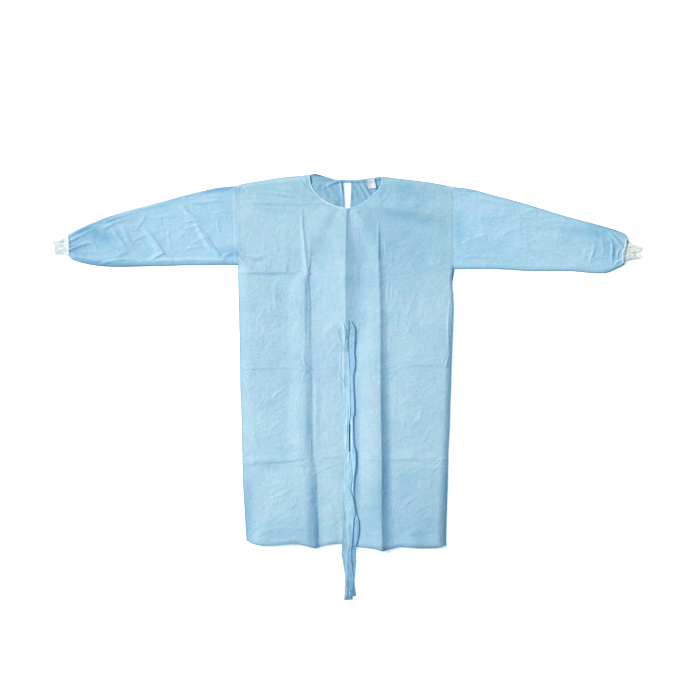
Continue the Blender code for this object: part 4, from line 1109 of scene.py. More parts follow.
       (478, 464, 0, 8, 7), (500, 483, 0.5, 9, 8), (525, 492, 0.4, 9, 8), (553, 492, 0, 7, 7),
    )),
    ("sleeve r diag 1", "soft", "cusp", (
       (810, 491, 0.46, 9, 9), (827, 472, 1.49, 11, 12), (843, 455, 1.84, 11, 12),
       (857, 439, 1.49, 9, 10), (868, 431, 0.34, 7, 7),
    )),
    ("sleeve r diag 2", "cusp", "cusp", (
       (829, 486, 0.46, 7, 7), (846, 473, 1.38, 8, 9), (862, 461, 1.38, 8, 9),
       (874, 453, 0.57, 6, 6),
    )),
    ("sleeve r vertical dark", "cusp", "cusp", (
       (829, 380, 0.24, 9, 9), (827, 405, 1.68, 12, 11), (829, 427, 1.92, 12, 11),
       (826, 449, 1.2, 11, 10), (818, 468, 0.24, 9, 8),
    )),
    ("sleeve r squiggle 1", "cusp", "cusp", (
       (849, 393, 0.3, 6, 6), (844, 408, 1.1, 7, 7), (847, 422, 1.2, 7, 7), (854, 433, 0.5, 6, 6),
    )),
    ("sleeve r squiggle 2", "soft", "cusp", (
       (831, 375, 0.1, 7, 7), (843, 388, 1, 8, 8), (857, 394, 0.9, 7, 7), (866, 402, 0.3, 5, 5),
    )),
    ("sleeve r squiggle 3", "cusp", "line", (
       (840, 371, 0.2, 6, 6), (856, 381, 0.8, 6, 6), (865, 393, 0.5, 5, 5),
    )),
    ("sleeve r squiggle 4", "cusp", "line", (
       (854, 406, 0.1, 5, 5), (860, 418, 0.7, 5, 5), (867, 425, 0.3, 4, 4),
    )),
    ("sleeve r end dark", "cusp", "soft", (
       (790, 486, 0.1, 8, 10), (799, 458, 0.5, 9, 12), (802, 430, 0.5, 9, 12),
       (796, 402, 0.1, 8, 9),
    )),
)
# Creases of the back panels where they show inside the neck
NECK_FOLDS = (
    ("left big fold", "cusp", "cusp", (
       (-72.4, 619.2, 0.4, 10, 7), (-55.5, 629.1, 1.8, 12, 7), (-38.1, 636.6, 2.4, 12, 7),
       (-21.8, 643.5, 2.6, 9, 6),
    )),
    ("left slit edge", "soft", "cusp", (
       (-11.9, 564.3, 0.4, 5, 3), (-13.1, 595.5, 0.8, 6, 3.5), (-14.4, 617.3, 1.8, 8, 3.5),
       (-16.8, 636, 2.2, 8, 4), (-19.3, 649.7, 1.6, 7, 4),
    )),
    ("left inner stripe", "cusp", "cusp", (
       (-80.5, 609.2, 0.2, 4, 5), (-63, 593.6, 1.2, 4, 6), (-43.1, 581.1, 1.4, 4, 6),
       (-22.5, 572.4, 1, 4, 6), (-5.6, 568.6, 0.2, 4, 5),
    )),
    ("left side fold", "soft", "line", (
       (-105.5, 650.4, 0.3, 6, 5), (-83.6, 649.7, 1.3, 7, 7), (-58.7, 643.5, 1.3, 7, 7),
       (-39.9, 637.3, 0.4, 6, 5),
    )),
    ("left spots 1", "cusp", "cusp", (
       (-94.2, 614.2, 0.1, 5, 5), (-88, 626.7, 0.9, 5, 5), (-86.7, 639.1, 0.2, 5, 5),
    )),
    ("left spots 2", "cusp", "cusp", (
       (-72.4, 611.1, 0.1, 5, 5), (-69.3, 623.5, 1, 5, 5), (-71.1, 636, 0.3, 5, 5),
    )),
    ("left lower line", "cusp", "cusp", (
       (-105.5, 620.4, 0.2, 5, 5), (-88, 602.9, 0.9, 6, 6), (-64.9, 584.2, 1, 6, 6),
       (-33.7, 570.5, 0.4, 5, 5),
    )),
    ("right diagonal 1", "cusp", "line", (
       (28.7, 642.3, 0.4, 5, 5), (42.4, 617.3, 1.6, 5, 6), (54.9, 595.5, 1.8, 5, 6),
       (63, 579.9, 0.8, 5, 5),
    )),
    ("right diagonal 2", "cusp", "line", (
       (45.6, 642.3, 1, 5, 7), (56.8, 623.5, 2.4, 5, 8), (68, 604.8, 2.6, 5, 8),
       (76.8, 590.5, 1.4, 5, 6),
    )),
    ("right diagonal 3", "soft", "cusp", (
       (61.8, 617.3, 0.4, 5, 5), (72.4, 603.6, 1.6, 5, 5), (81.7, 593, 1, 4, 4),
    )),
    ("right soft", "soft", "soft", (
       (15, 634.8, 0.1, 6, 8), (25.6, 607.9, 0.8, 6, 8), (36.2, 579.9, 0.5, 6, 8),
    )),
    ("right slit edge", "cusp", "soft", (
       (11.2, 564.3, 0.3, 3, 6), (12.5, 595.5, 0.7, 3, 7), (13.7, 623.5, 0.6, 3, 7),
       (14.4, 639.1, 0.2, 3, 6),
    )),
    ("right side fold", "cusp", "soft", (
       (98.6, 611.1, 0.3, 5, 6), (101.7, 629.8, 1.2, 5, 6), (105.5, 647.2, 0.8, 5, 6),
    )),
    ("left cloth ripple", "soft", "soft", (
       (-64.9, 644.1, 0, 8, 8), (-49.3, 614.2, 0.8, 8, 8), (-27.5, 586.1, 0.5, 8, 8),
       (-15, 570.5, 0, 6, 6),
    )),
)
# The tie's own creases: upper tail, then lower tail
UPPER_FOLDS = (
    ("left lobe", "line", "cusp", (
       (0.6, 155.5, 1, 18, 4), (-3.7, 174.3, 1.5, 20, 5), (-10, 193, 1.6, 18, 5),
       (-14.4, 206.7, 0.6, 12, 5),
    )),
    ("right lobe", "soft", "cusp", (
       (21.2, 108.7, 0.9, 9, 4), (20.6, 139.9, 1.2, 10, 4), (20, 171.1, 1.3, 10, 5),
       (16.8, 189.9, 1.2, 8, 5), (8.1, 202.3, 0.6, 7, 5),
    )),
    ("middle valley", "cusp", "cusp", (
       (4.4, 102.5, -0.2, 4, 5), (4.4, 115, -1.1, 4, 5), (4.4, 130.6, -1, 4, 5),
       (3.1, 149.3, -0.3, 5, 5), (1.9, 164.9, -0.1, 5, 5),
    )),
    ("left tuck", "cusp", "cusp", (
       (-4.4, 124.3, -0.2, 4, 4), (-2.5, 139.9, -1, 4, 4), (0, 153.7, -0.5, 4, 4),
    )),
    ("narrow ridge", "cusp", "line", (
       (-0.6, 115, 0.3, 5, 5), (-3.7, 133.7, 0.8, 6, 5), (-5.6, 152.4, 0.8, 6, 5),
       (-6.9, 168, 0.2, 5, 5),
    )),
    ("lower lens left", "cusp", "line", (
       (17.5, 28.9, 0.3, 4, 7), (14.4, 52.6, 0.6, 5, 9), (13.7, 77.5, 0.5, 5, 9),
       (16.8, 96.3, 0.1, 4, 7),
    )),
    ("lower lens rim", "cusp", "cusp", (
       (20.6, 30.7, 0.5, 4, 3), (25.6, 55.7, 1.1, 5, 3), (25.3, 80.7, 1.1, 5, 3),
       (23.7, 99.4, 0.4, 4, 3),
    )),
    ("left wrinkle", "soft", "cusp", (
       (-25.6, 27.6, 0.4, 8, 5), (-18.1, 19.5, 1.2, 8, 5), (-8.7, 7.6, 1.1, 8, 5),
       (0.6, -2.3, 0.1, 6, 5),
    )),
    ("left wrinkle 2", "soft", "soft", (
       (-30.6, 12, 0.2, 6, 6), (-21.2, -0.5, 0.6, 7, 6), (-11.9, -12.9, 0.1, 6, 6),
    )),
    ("left flat edge", "soft", "soft", (
       (-18.1, 46.3, 0.2, 8, 8), (-22.5, 96.3, 0.6, 8, 8), (-19.3, 133.7, 0.4, 8, 8),
    )),
    ("thin line above the slit", "cusp", "cusp", (
       (6.6, -103.4, -0.5, 2.4, 2.4), (6.2, -53.5, -0.3, 2.4, 2.4), (5.6, -22.3, -0.2, 2.4, 2.4),
       (5, 2.7, -0.1, 2.4, 2.4),
    )),
    ("left strap roll", "soft", "cusp", (
       (0, -203.3, 0.2, 8, 4), (0, -178.3, 0.7, 8, 4), (0.3, -134.6, 0.8, 8, 4),
       (1.2, -106.5, 0.8, 7, 4), (2.5, -84.7, 0.1, 6, 4),
    )),
    ("slit foot ridge", "cusp", "cusp", (
       (5, -246.9, 0.2, 6, 4), (6.2, -225.1, 1.2, 7, 5), (8.7, -206.4, 1, 6, 5),
    )),
    ("lens rim", "line", "cusp", (
       (20.6, -287.5, 0.5, 5, 4), (23.7, -271.9, 1.1, 8, 4), (26.2, -250.1, 0.9, 10, 4),
       (25.6, -225.1, 0.7, 10, 4), (20.6, -203.3, 0.3, 7, 4),
    )),
    ("lens groove", "cusp", "line", (
       (18.7, -290.6, -0.5, 4, 4), (15, -265.7, -0.7, 4, 5), (12.5, -237.6, -0.9, 4, 5),
       (10.6, -212.6, -0.6, 4, 4),
    )),
    ("fold under the lens", "soft", "cusp", (
       (-13.1, -315.6, -1, 14, 4), (-0.6, -313.7, -1.5, 16, 4), (11.2, -320, -1.3, 14, 4),
       (20.6, -334.3, -0.3, 8, 4),
    )),
    ("twist rim", "cusp", "line", (
       (24.3, -390.5, 0.25, 5, 4), (21.8, -368.6, 0.75, 6, 5), (16.8, -343.7, 1.25, 7, 6),
       (8.7, -324.9, 1.12, 6, 5), (-2.5, -317.5, 0.38, 5, 4),
    )),
    ("twist diag", "cusp", "line", (
       (-13.1, -353, 0.84, 5, 4), (-2.5, -360.5, 1.26, 5, 4), (10, -369.9, 1.12, 5, 4),
       (21.2, -376.1, 0.28, 4, 4),
    )),
    ("twist diag 2", "soft", "soft", (
       (-8.7, -374.9, 0.3, 5, 5), (3.7, -384.2, 0.6, 5, 5), (16.2, -396.7, 0.1, 5, 5),
    )),
    ("left rim", "soft", "soft", (
       (-13.7, -480.9, 0.3, 4, 6), (-11.9, -431, 0.5, 4, 6), (-6.9, -384.2, 0.4, 4, 6),
    )),
    ("middle soft", "soft", "soft", (
       (3.7, -477.8, 0, 9, 9), (5, -437.3, 0.5, 9, 9), (6.9, -399.8, 0, 9, 9),
    )),
    ("right side at the foot", "cusp", "line", (
       (18.7, -487.2, 0.2, 5, 4), (18.1, -459.1, 0.3, 6, 4), (18.7, -431, 0.3, 6, 4),
       (21.2, -406.1, 0.1, 5, 4),
    )),
    ("hem step", "cusp", "line", (
       (-18.1, -498.4, -0.1, 8, 12), (0.6, -497.8, -0.2, 8, 12), (22.5, -498.4, -0.1, 8, 12),
    )),
    ("end seam V left", "cusp", "cusp", (
       (-4.4, -595.1, -0.15, 3.4, 4), (-1.2, -605.7, -1.35, 3.4, 4), (5.6, -619.5, -1.65, 3.4, 4),
       (8.1, -623.2, -0.75, 3.4, 4),
    )),
    ("end seam V right", "cusp", "cusp", (
       (6.9, -621.3, -1.35, 3.4, 4), (13.1, -608.9, -1.65, 3.4, 4), (18.7, -597.6, -0.75, 3.4, 4),
    )),
    ("end V lip", "cusp", "cusp", (
       (-4.4, -615.1, 0.75, 4, 3), (1.9, -627.6, 1.35, 4, 3), (10, -635.1, 1.2, 4, 3),
       (18.1, -627.6, 0.6, 4, 3),
    )),
    ("end pucker 1", "soft", "soft", (
       (-2.5, -655.7, 0.9, 4, 4), (0.6, -640.1, 0.75, 4, 4), (3.7, -624.5, 0.15, 4, 4),
    )),
    ("end pucker 2", "soft", "soft", (
       (11.9, -658.8, 0.9, 4, 4), (11.2, -643.2, 0.9, 4, 4), (10, -627.6, 0.15, 4, 4),
    )),
    ("fall pucker", "soft", "soft", (
       (-5.6, -518.4, 0, 7, 7), (3.7, -534, 0.6, 7, 7), (13.1, -552.7, 0.4, 7, 7),
       (16.2, -571.4, 0, 6, 6),
    )),
)
LOWER_FOLDS = (
    ("second tail rim", "soft", "cusp", (
       (29.3, -496.5, 0.1, 6, 5), (33.1, -477.8, 0.3, 8, 6), (34.3, -446.6, 0.35, 8, 6),
       (32.4, -421.7, 0.3, 8, 6), (28.7, -399.8, 0.1, 6, 5),
    )),
    ("slit", "cusp", "cusp", (
       (11.5, -215.7, -0.3, 4, 2.4), (11.5, -197, -3.2, 6, 2.6), (11.9, -159.6, -3.6, 6, 2.6),
       (11.9, -125.3, -3.2, 6, 2.6), (11.9, -106.5, -0.8, 4, 2.6), (11.2, -94.1, 0, 3, 2.4),
    )),
    ("second tail groove", "soft", "soft", (
       (23.1, -496.5, -0.6, 3, 5), (22.5, -465.3, -0.3, 3, 5), (23.1, -434.1, -0.2, 3, 5),
       (24.3, -409.2, -0.1, 3, 5),
    )),
    ("fold over the hem", "cusp", "cusp", (
       (16.2, -505.9, -0.8, 5, 5), (25.6, -507.2, -1, 5, 5), (34.9, -504, -0.4, 5, 5),
    )),
    ("second tail fall", "soft", "cusp", (
       (26.8, -652.5, 0.2, 4, 3), (24.3, -618.2, 0.5, 4, 3), (25, -577.7, 0.8, 5, 3),
       (26.8, -540.2, 0.8, 5, 3), (26.2, -512.1, 0.3, 4, 3),
    )),
)
# Faint crossing creases on the hidden back: same columns
BACK_FOLDS = (
    ("left length", "cusp", "soft", (
       (-104, -480, 1.2, 22, 18), (-112, -300, 1.0, 24, 18), (-122, -60, 0.9, 24, 18),
       (-124, 200, 1.0, 24, 18), (-131, 400, 0.8, 22, 16), (-140, 540, 0, 18, 14),
    )),
    ("right length", "soft", "cusp", (
       (108, -486, 1.3, 24, 20), (105, -300, 1.1, 26, 20), (104, -40, 1.0, 26, 18),
       (104, 200, 1.0, 24, 18), (103, 380, 0.7, 20, 16), (101, 520, 0, 16, 12),
    )),
    ("knee", "cusp", "cusp", (
       (-322, -238, 0.5, 9, 8), (-220, -234, 0.9, 10, 8), (-60, -229, 0.6, 9, 8),
       (60, -230, 0.7, 9, 8), (180, -230, 0.9, 10, 8), (314, -232, 0.5, 9, 8),
    )),
    ("hip", "cusp", "cusp", (
       (-330, 54, 0.4, 9, 8), (-200, 58, 0.8, 9, 8), (-40, 62, 0.5, 9, 8),
       (90, 62, 0.6, 9, 8), (220, 65, 0.9, 9, 8), (322, 63, 0.4, 9, 8),
    )),
    ("chest", "cusp", "cusp", (
       (-336, 346, 0.5, 9, 8), (-220, 349, 0.9, 10, 8), (-120, 347, 0.6, 9, 8),
       (-20, 346, 0.5, 9, 8), (110, 350, 0.7, 9, 8), (250, 352, 0.5, 9, 8), (326, 351, 0.3, 9, 8),
    )),
    ("left slant", "soft", "soft", (
       (-290, 120, 0, 20, 20), (-262, 170, 0.9, 22, 22), (-240, 232, 0.8, 22, 22), (-232, 290, 0, 18, 18),
    )),
    ("right slant", "soft", "soft", (
       (190, -160, 0, 20, 20), (216, -110, 0.9, 22, 22), (252, -66, 0.8, 22, 22), (286, -10, 0, 18, 18),
    )),
    ("low left slant", "soft", "soft", (
       (-270, -420, 0, 20, 20), (-226, -372, 0.8, 20, 20), (-190, -318, 0.7, 20, 20), (-168, -270, 0, 18, 18),
    )),
    ("shoulder blade", "soft", "soft", (
       (70, 470, 0, 18, 18), (130, 500, 0.8, 20, 20), (200, 512, 0.8, 20, 20), (280, 500, 0, 18, 18),
    )),
)
# Small crumples between the creases, by area: centre x and y, half width and
# half height, how many, their usual slant in degrees and its spread, least and
# most length, height and width
CRUMPLES = (
    ("left shoulder", -222.0, 590.0, 120.0, 60.0, 80, -11.0, 7.0, 22.0, 80.0, 0.10, 0.26, 2.6, 5.0),
    ("right shoulder", 210.0, 590.0, 120.0, 60.0, 44, 14.0, 10.0, 22.0, 70.0, 0.08, 0.22, 3.0, 6.0),
    ("left chest", -230.0, 450.0, 110.0, 90.0, 46, 90.0, 40.0, 10.0, 40.0, 0.10, 0.30, 2.4, 5.0),
    ("left chest level", -230.0, 450.0, 110.0, 90.0, 44, 0.0, 14.0, 12.0, 50.0, 0.08, 0.24, 2.2, 4.6),
    ("above chest fold", -240.0, 372.0, 96.0, 24.0, 26, 90.0, 14.0, 8.0, 26.0, 0.14, 0.34, 2.2, 3.8),
    ("right chest", 200.0, 440.0, 115.0, 100.0, 80, 20.0, 50.0, 12.0, 46.0, 0.08, 0.26, 2.4, 5.2),
    ("middle chest", -5.0, 400.0, 110.0, 150.0, 50, 84.0, 30.0, 12.0, 40.0, 0.06, 0.18, 2.4, 4.8),
    ("left waist", -230.0, 200.0, 105.0, 140.0, 70, 70.0, 34.0, 12.0, 50.0, 0.10, 0.30, 2.4, 5.2),
    ("left waist level", -230.0, 200.0, 105.0, 140.0, 60, 2.0, 12.0, 12.0, 46.0, 0.08, 0.22, 2.2, 4.2),
    ("middle waist", -5.0, 160.0, 110.0, 180.0, 60, 4.0, 26.0, 12.0, 50.0, 0.06, 0.18, 2.2, 4.6),
    ("right waist", 215.0, 200.0, 105.0, 150.0, 70, 54.0, 34.0, 12.0, 46.0, 0.10, 0.30, 2.4, 5.2),
    ("right waist level", 215.0, 200.0, 105.0, 150.0, 40, -3.0, 12.0, 12.0, 46.0, 0.08, 0.22, 2.2, 4.2),
    ("left hip", -225.0, -90.0, 105.0, 130.0, 60, 34.0, 30.0, 14.0, 50.0, 0.10, 0.30, 2.4, 5.2),
    ("left hip level", -225.0, -90.0, 105.0, 140.0, 60, 1.0, 12.0, 12.0, 50.0, 0.08, 0.22, 2.2, 4.4),
    ("middle hip", -5.0, -100.0, 110.0, 150.0, 60, 2.0, 26.0, 12.0, 50.0, 0.06, 0.18, 2.2, 4.6),
    ("right hip", 210.0, -90.0, 100.0, 130.0, 64, 44.0, 30.0, 14.0, 50.0, 0.10, 0.30, 2.4, 5.4),
    ("left hem", -215.0, -360.0, 105.0, 110.0, 76, 34.0, 22.0, 14.0, 54.0, 0.12, 0.34, 2.6, 5.6),
    ("middle hem", -5.0, -370.0, 110.0, 110.0, 54, 20.0, 34.0, 12.0, 44.0, 0.06, 0.20, 2.4, 4.8),
    ("right hem", 215.0, -360.0, 105.0, 110.0, 76, 40.0, 24.0, 14.0, 54.0, 0.12, 0.34, 2.6, 5.6),
    ("left sleeve inner", -470.0, 500.0, 120.0, 110.0, 80, -20.0, 34.0, 14.0, 60.0, 0.10, 0.30, 2.6, 5.6),
    ("left sleeve outer", -730.0, 460.0, 140.0, 70.0, 70, -8.0, 34.0, 12.0, 50.0, 0.10, 0.30, 2.6, 5.2),
    ("right sleeve inner", 450.0, 500.0, 120.0, 110.0, 60, 12.0, 30.0, 14.0, 60.0, 0.08, 0.24, 2.8, 6.0),
    ("right sleeve outer", 720.0, 450.0, 140.0, 80.0, 60, 8.0, 34.0, 12.0, 50.0, 0.08, 0.26, 2.6, 5.4),
)
# Soft ovals of painted shade and painted light over broad areas:
# x, y, radius across, radius up, amount (below zero is darker)
PAINTED_LIGHT_AND_SHADE_SPOTS = (
    (122, 549, 41, 14, -0.4),
    (185, 536, 44, 16, -0.38),
    (250, 521, 44, 17, -0.36),
    (172, 477, 137, 150, -0.46),
    (197, 614, 125, 28, -0.4),
    (-314, 558, 31, 50, 0.6),
    (-330, 514, 16, 81, 0.5),
    (54, 255, 25, 137, -0.3),
    (72, -447, 37, 106, -0.4),
    (200, -409, 106, 106, -0.55),
    (-290, -141, 37, 162, 0.3),
    (-65, -128, 34, 156, 0.5),
    (-208, -459, 137, 44, -0.5),
    (-308, -369, 16, 112, -0.8),
    (122, -284, 14, 312, -0.5),
    (-105, -375, 17, 144, -0.6),
    (-121, -97, 11, 137, -0.15),
    (32, -253, 8, 206, -0.6),
    (-258, 354, 75, 4, -0.5),
    (-358, 419, 41, 22, -0.8),
    (-826, 492, 62, 22, -1),
    (-733, 524, 56, 16, -0.6),
    (-754, 464, 44, 22, -0.8),
    (-845, 430, 41, 34, -0.9),
    (-792, 388, 50, 11, -0.7),
    (-683, 382, 75, 8, -0.6),
    (-383, 612, 62, 9, -0.6),
    (759, 480, 106, 25, -0.5),
    (827, 427, 31, 44, -0.6),
    (350, 496, 16, 50, -0.5),
)
# Where the front's colour leans to cyan, below zero, or to lavender
HUES = (
    (-177, 599, 218, 56, -0.9),
    (228, 583, 156, 69, -0.9),
    (228, 458, 125, 125, -0.8),
    (-59, -41, 44, 250, 0.8),
    (66, -103, 37, 218, 0.7),
    (-240, 209, 94, 156, 0.4),
    (-146, -453, 187, 50, -0.7),
    (197, -431, 125, 75, -0.6),
    (303, 483, 75, 162, -0.8),
)


# ---------------------------------------------------------------- numbers
def table(rows, at, column, key=0):
    """A smooth curve through a column of a table, with no overshoot."""
    data = np.array(sorted(rows, key=lambda row: row[key]), float)
    x, y = data[:, key], data[:, column]
    keep = np.concatenate([[True], np.diff(x) > 1e-9])
    x, y = x[keep], y[keep]
    at = np.clip(np.asarray(at, float), x[0], x[-1])
    if len(x) == 2:
        return y[0] + (at - x[0]) / (x[1] - x[0]) * (y[1] - y[0])
    h = np.diff(x)
    d = np.diff(y) / h
    m = np.zeros(len(x))
    w1, w2 = 2 * h[1:] + h[:-1], h[1:] + 2 * h[:-1]
    same = d[:-1] * d[1:] > 0
    with np.errstate(divide="ignore", invalid="ignore"):
        inner = (w1 + w2) / (w1 / d[:-1] + w2 / d[1:])
    m[1:-1] = np.where(same, inner, 0.0)
    m[0], m[-1] = d[0], d[-1]
    i = np.clip(np.searchsorted(x, at, side="right") - 1, 0, len(h) - 1)
    t = (at - x[i]) / h[i]
    t2, t3 = t * t, t * t * t
    return (
        (2 * t3 - 3 * t2 + 1) * y[i] + (t3 - 2 * t2 + t) * h[i] * m[i]
        + (3 * t2 - 2 * t3) * y[i + 1] + (t3 - t2) * h[i] * m[i + 1]
    )


def ease(share):
    share = np.clip(share, 0.0, 1.0)
    return share * share * (3.0 - 2.0 * share)


def noise(x, y, across, up, seed):
    """Smooth value noise from -1 to 1, with its own grain each way."""
    lattice = np.random.default_rng(seed).uniform(-1.0, 1.0, (97, 97))
    u, v = np.asarray(x, float) / across + 31.7, np.asarray(y, float) / up + 17.3
    i, j = np.floor(u).astype(int), np.floor(v).astype(int)
    a, b = u - i, v - j
    a, b = a * a * a * (a * (6 * a - 15) + 10), b * b * b * (b * (6 * b - 15) + 10)
    i0, j0, i1, j1 = i % 97, j % 97, (i + 1) % 97, (j + 1) % 97
    low = lattice[i0, j0] * (1 - a) + lattice[i1, j0] * a
    high = lattice[i0, j1] * (1 - a) + lattice[i1, j1] * a
    return low * (1 - b) + high * b


def smooth_path(rows, step=4.0):
    """Points along a Catmull-Rom curve through a path's rows."""
    data = np.array(rows, float)
    ends = np.vstack([2 * data[0] - data[1], data, 2 * data[-1] - data[-2]])
    ends[0, 2:], ends[-1, 2:] = data[0, 2:], data[-1, 2:]
    out = []
    for a, b, c, d in zip(ends, ends[1:], ends[2:], ends[3:]):
        count = max(2, int(math.hypot(*(c[:2] - b[:2])) / step))
        t = (np.arange(count) / count)[:, None]
        points = 0.5 * (
            2 * b + (c - a) * t + (2 * a - 5 * b + 4 * c - d) * t ** 2
            + (3 * b - a - 3 * c + d) * t ** 3
        )
        points[:, 2:] = b[2:] + (c[2:] - b[2:]) * (t * t * (3 - 2 * t))
        out.append(points)
    out.append(data[-1:])
    return np.vstack(out)


def profile(kind, u):
    u = np.clip(u, 0.0, 1.0)
    if kind == "cusp":
        return (1 - u) ** 2
    if kind == "line":
        return (1 - u) ** 1.3
    if kind == "fade":
        return (1 - u) ** 1.7
    if kind == "ramp":
        return 1 - u
    if kind == "dome":
        return 1 - u * u
    if kind == "shelf":
        up = 1 + 0.5 * np.sin(0.5 * math.pi * np.clip(u / 0.23, 0, 1))
        return np.where(u < 0.23, up, 0.75 * (1 + np.cos(math.pi * np.clip((u - 0.23) / 0.77, 0, 1))))
    return (1 - u * u) ** 2


def creases(folds, x, y, gain=1.0):
    """Height in millimetres that a table of creases adds at each point."""
    shape = np.shape(x)
    x, y = np.ravel(x).astype(float), np.ravel(y).astype(float)
    total = np.zeros(len(x))
    for _, kind_left, kind_right, rows in folds:
        path = smooth_path(rows)
        reach = path[:, 3:5].max() + 1.0
        near = np.nonzero(
            (x > path[:, 0].min() - reach) & (x < path[:, 0].max() + reach)
            & (y > path[:, 1].min() - reach) & (y < path[:, 1].max() + reach)
        )[0]
        if not len(near):
            continue
        start, end = path[:-1], path[1:]
        way = end[:, :2] - start[:, :2]
        size = np.maximum((way ** 2).sum(1), 1e-9)
        for part in np.array_split(near, max(1, len(near) * len(way) // 3_000_000 + 1)):
            px, py = x[part, None] - start[:, 0], y[part, None] - start[:, 1]
            t = np.clip((px * way[:, 0] + py * way[:, 1]) / size, 0.0, 1.0)
            dx, dy = px - t * way[:, 0], py - t * way[:, 1]
            far = dx * dx + dy * dy
            best = far.argmin(1)
            row = np.arange(len(part))
            t, distance = t[row, best], np.sqrt(far[row, best])
            side = way[best, 0] * dy[row, best] - way[best, 1] * dx[row, best]
            at = start[best] + (end[best] - start[best]) * t[:, None]
            left = profile(kind_left, distance / np.maximum(at[:, 3], 0.5))
            right = profile(kind_right, distance / np.maximum(at[:, 4], 0.5))
            total[part] += gain * at[:, 2] * np.where(side > 0, left, right)
    return total.reshape(shape)


def crumples(x, y):
    """Short shallow creases scattered over the areas of the table, each slightly bent."""
    shape = np.shape(x)
    x, y = np.ravel(x).astype(float), np.ravel(y).astype(float)
    total = np.zeros(len(x))
    chance = np.random.default_rng(77)
    for _, cx, cy, rx, ry, count, slant, spread, short, long, low, high, thin, wide in CRUMPLES:
        for _ in range(count):
            px, py = cx + rx * chance.uniform(-1, 1), cy + ry * chance.uniform(-1, 1)
            angle = math.radians(slant + spread * chance.normal())
            size = chance.beta(1.6, 3.0)
            half = 0.5 * (short + (long - short) * size)
            rise = (low + (high - low) * chance.uniform()) * (1.0 if chance.uniform() < 0.68 else -0.8)
            reach = thin + (wide - thin) * size * chance.uniform(0.6, 1.4)
            other = reach * chance.uniform(0.5, 1.6)
            bend = chance.normal() * 0.16 / half
            near = np.nonzero((np.abs(x - px) < half + 9.0) & (np.abs(y - py) < half + 9.0))[0]
            if not len(near):
                continue
            dx, dy = x[near] - px, y[near] - py
            along = dx * math.cos(angle) + dy * math.sin(angle)
            across = dy * math.cos(angle) - dx * math.sin(angle) - bend * along * along
            body = np.clip(1 - (along / half) ** 2, 0.0, 1.0)
            side = np.where(across > 0, reach, other) * (0.55 + 0.45 * body)
            total[near] += rise * body * np.clip(1 - np.abs(across) / side, 0.0, 1.0) ** 1.5
    return total.reshape(shape)


# ---------------------------------------------------------------- the lie of the cloth
def shoulder_y(x):
    return np.where(x < 0, table(SHOULDER_LEFT, x, 1), table(SHOULDER_RIGHT, x, 1))


def top_y(x, neck):
    between = (x > -116.4) & (x < 109.8)
    return np.where(between, table(neck, x, 1), shoulder_y(x))


def upper_edge(x):
    """The top outline of the laid gown, shoulders and sleeves as one line."""
    left = table([(row[0], row[1]) for row in SLEEVE_LEFT], x, 1)
    right = table([(row[0], row[1]) for row in SLEEVE_RIGHT], x, 1)
    return np.where(x < -344.2, left, np.where(x > 332.6, right, shoulder_y(x)))


def lower_edge(x):
    """The underarm outline of the sleeves."""
    left = table([(row[2], row[3]) for row in SLEEVE_LEFT], x, 1)
    right = table([(row[2], row[3]) for row in SLEEVE_RIGHT], x, 1)
    return np.where(x < 0, left, right)


RIGHT_ROLL = ((660.0, 2.4, 8.0), (350.0, 1.7, 8.0), (240.0, 2.2, 13.0), (120.0, 3.2, 18.0),
              (0.0, 4.0, 21.0), (-200.0, 4.8, 24.0), (-350.0, 6.0, 27.0), (-500.0, 7.4, 30.0))
LEFT_ROLL = ((660.0, 2.4, 24.0), (350.0, 2.2, 34.0), (0.0, 2.2, 40.0), (-300.0, 2.4, 40.0), (-500.0, 2.6, 40.0))


def ripples(x, y):
    """The faint cockle of nonwoven that was packed folded: fine lines, mostly crosswise."""
    warp = 9.0 * noise(x, y, 60.0, 45.0, 5) + 3.0 * noise(x, y, 21.0, 26.0, 6)
    where = 0.35 + 0.65 * ease(0.5 + 0.9 * noise(x, y, 70.0, 55.0, 7))
    fine = np.sin((y + warp) * 2 * math.pi / 11.3) * 0.055 + np.sin((y * 0.93 + 0.2 * x + 1.6 * warp) * 2 * math.pi / 17.9) * 0.072
    cross = np.sin((x + 1.3 * warp) * 2 * math.pi / 23.0) * 0.04
    cockle = 0.19 * noise(x, y, 13.0, 8.0, 8) + 0.24 * noise(x, y, 30.0, 20.0, 9)
    broad = 0.40 * noise(x, y, 90.0, 120.0, 10)
    return where * (fine + cross) + cockle * (0.5 + 0.5 * where) + broad


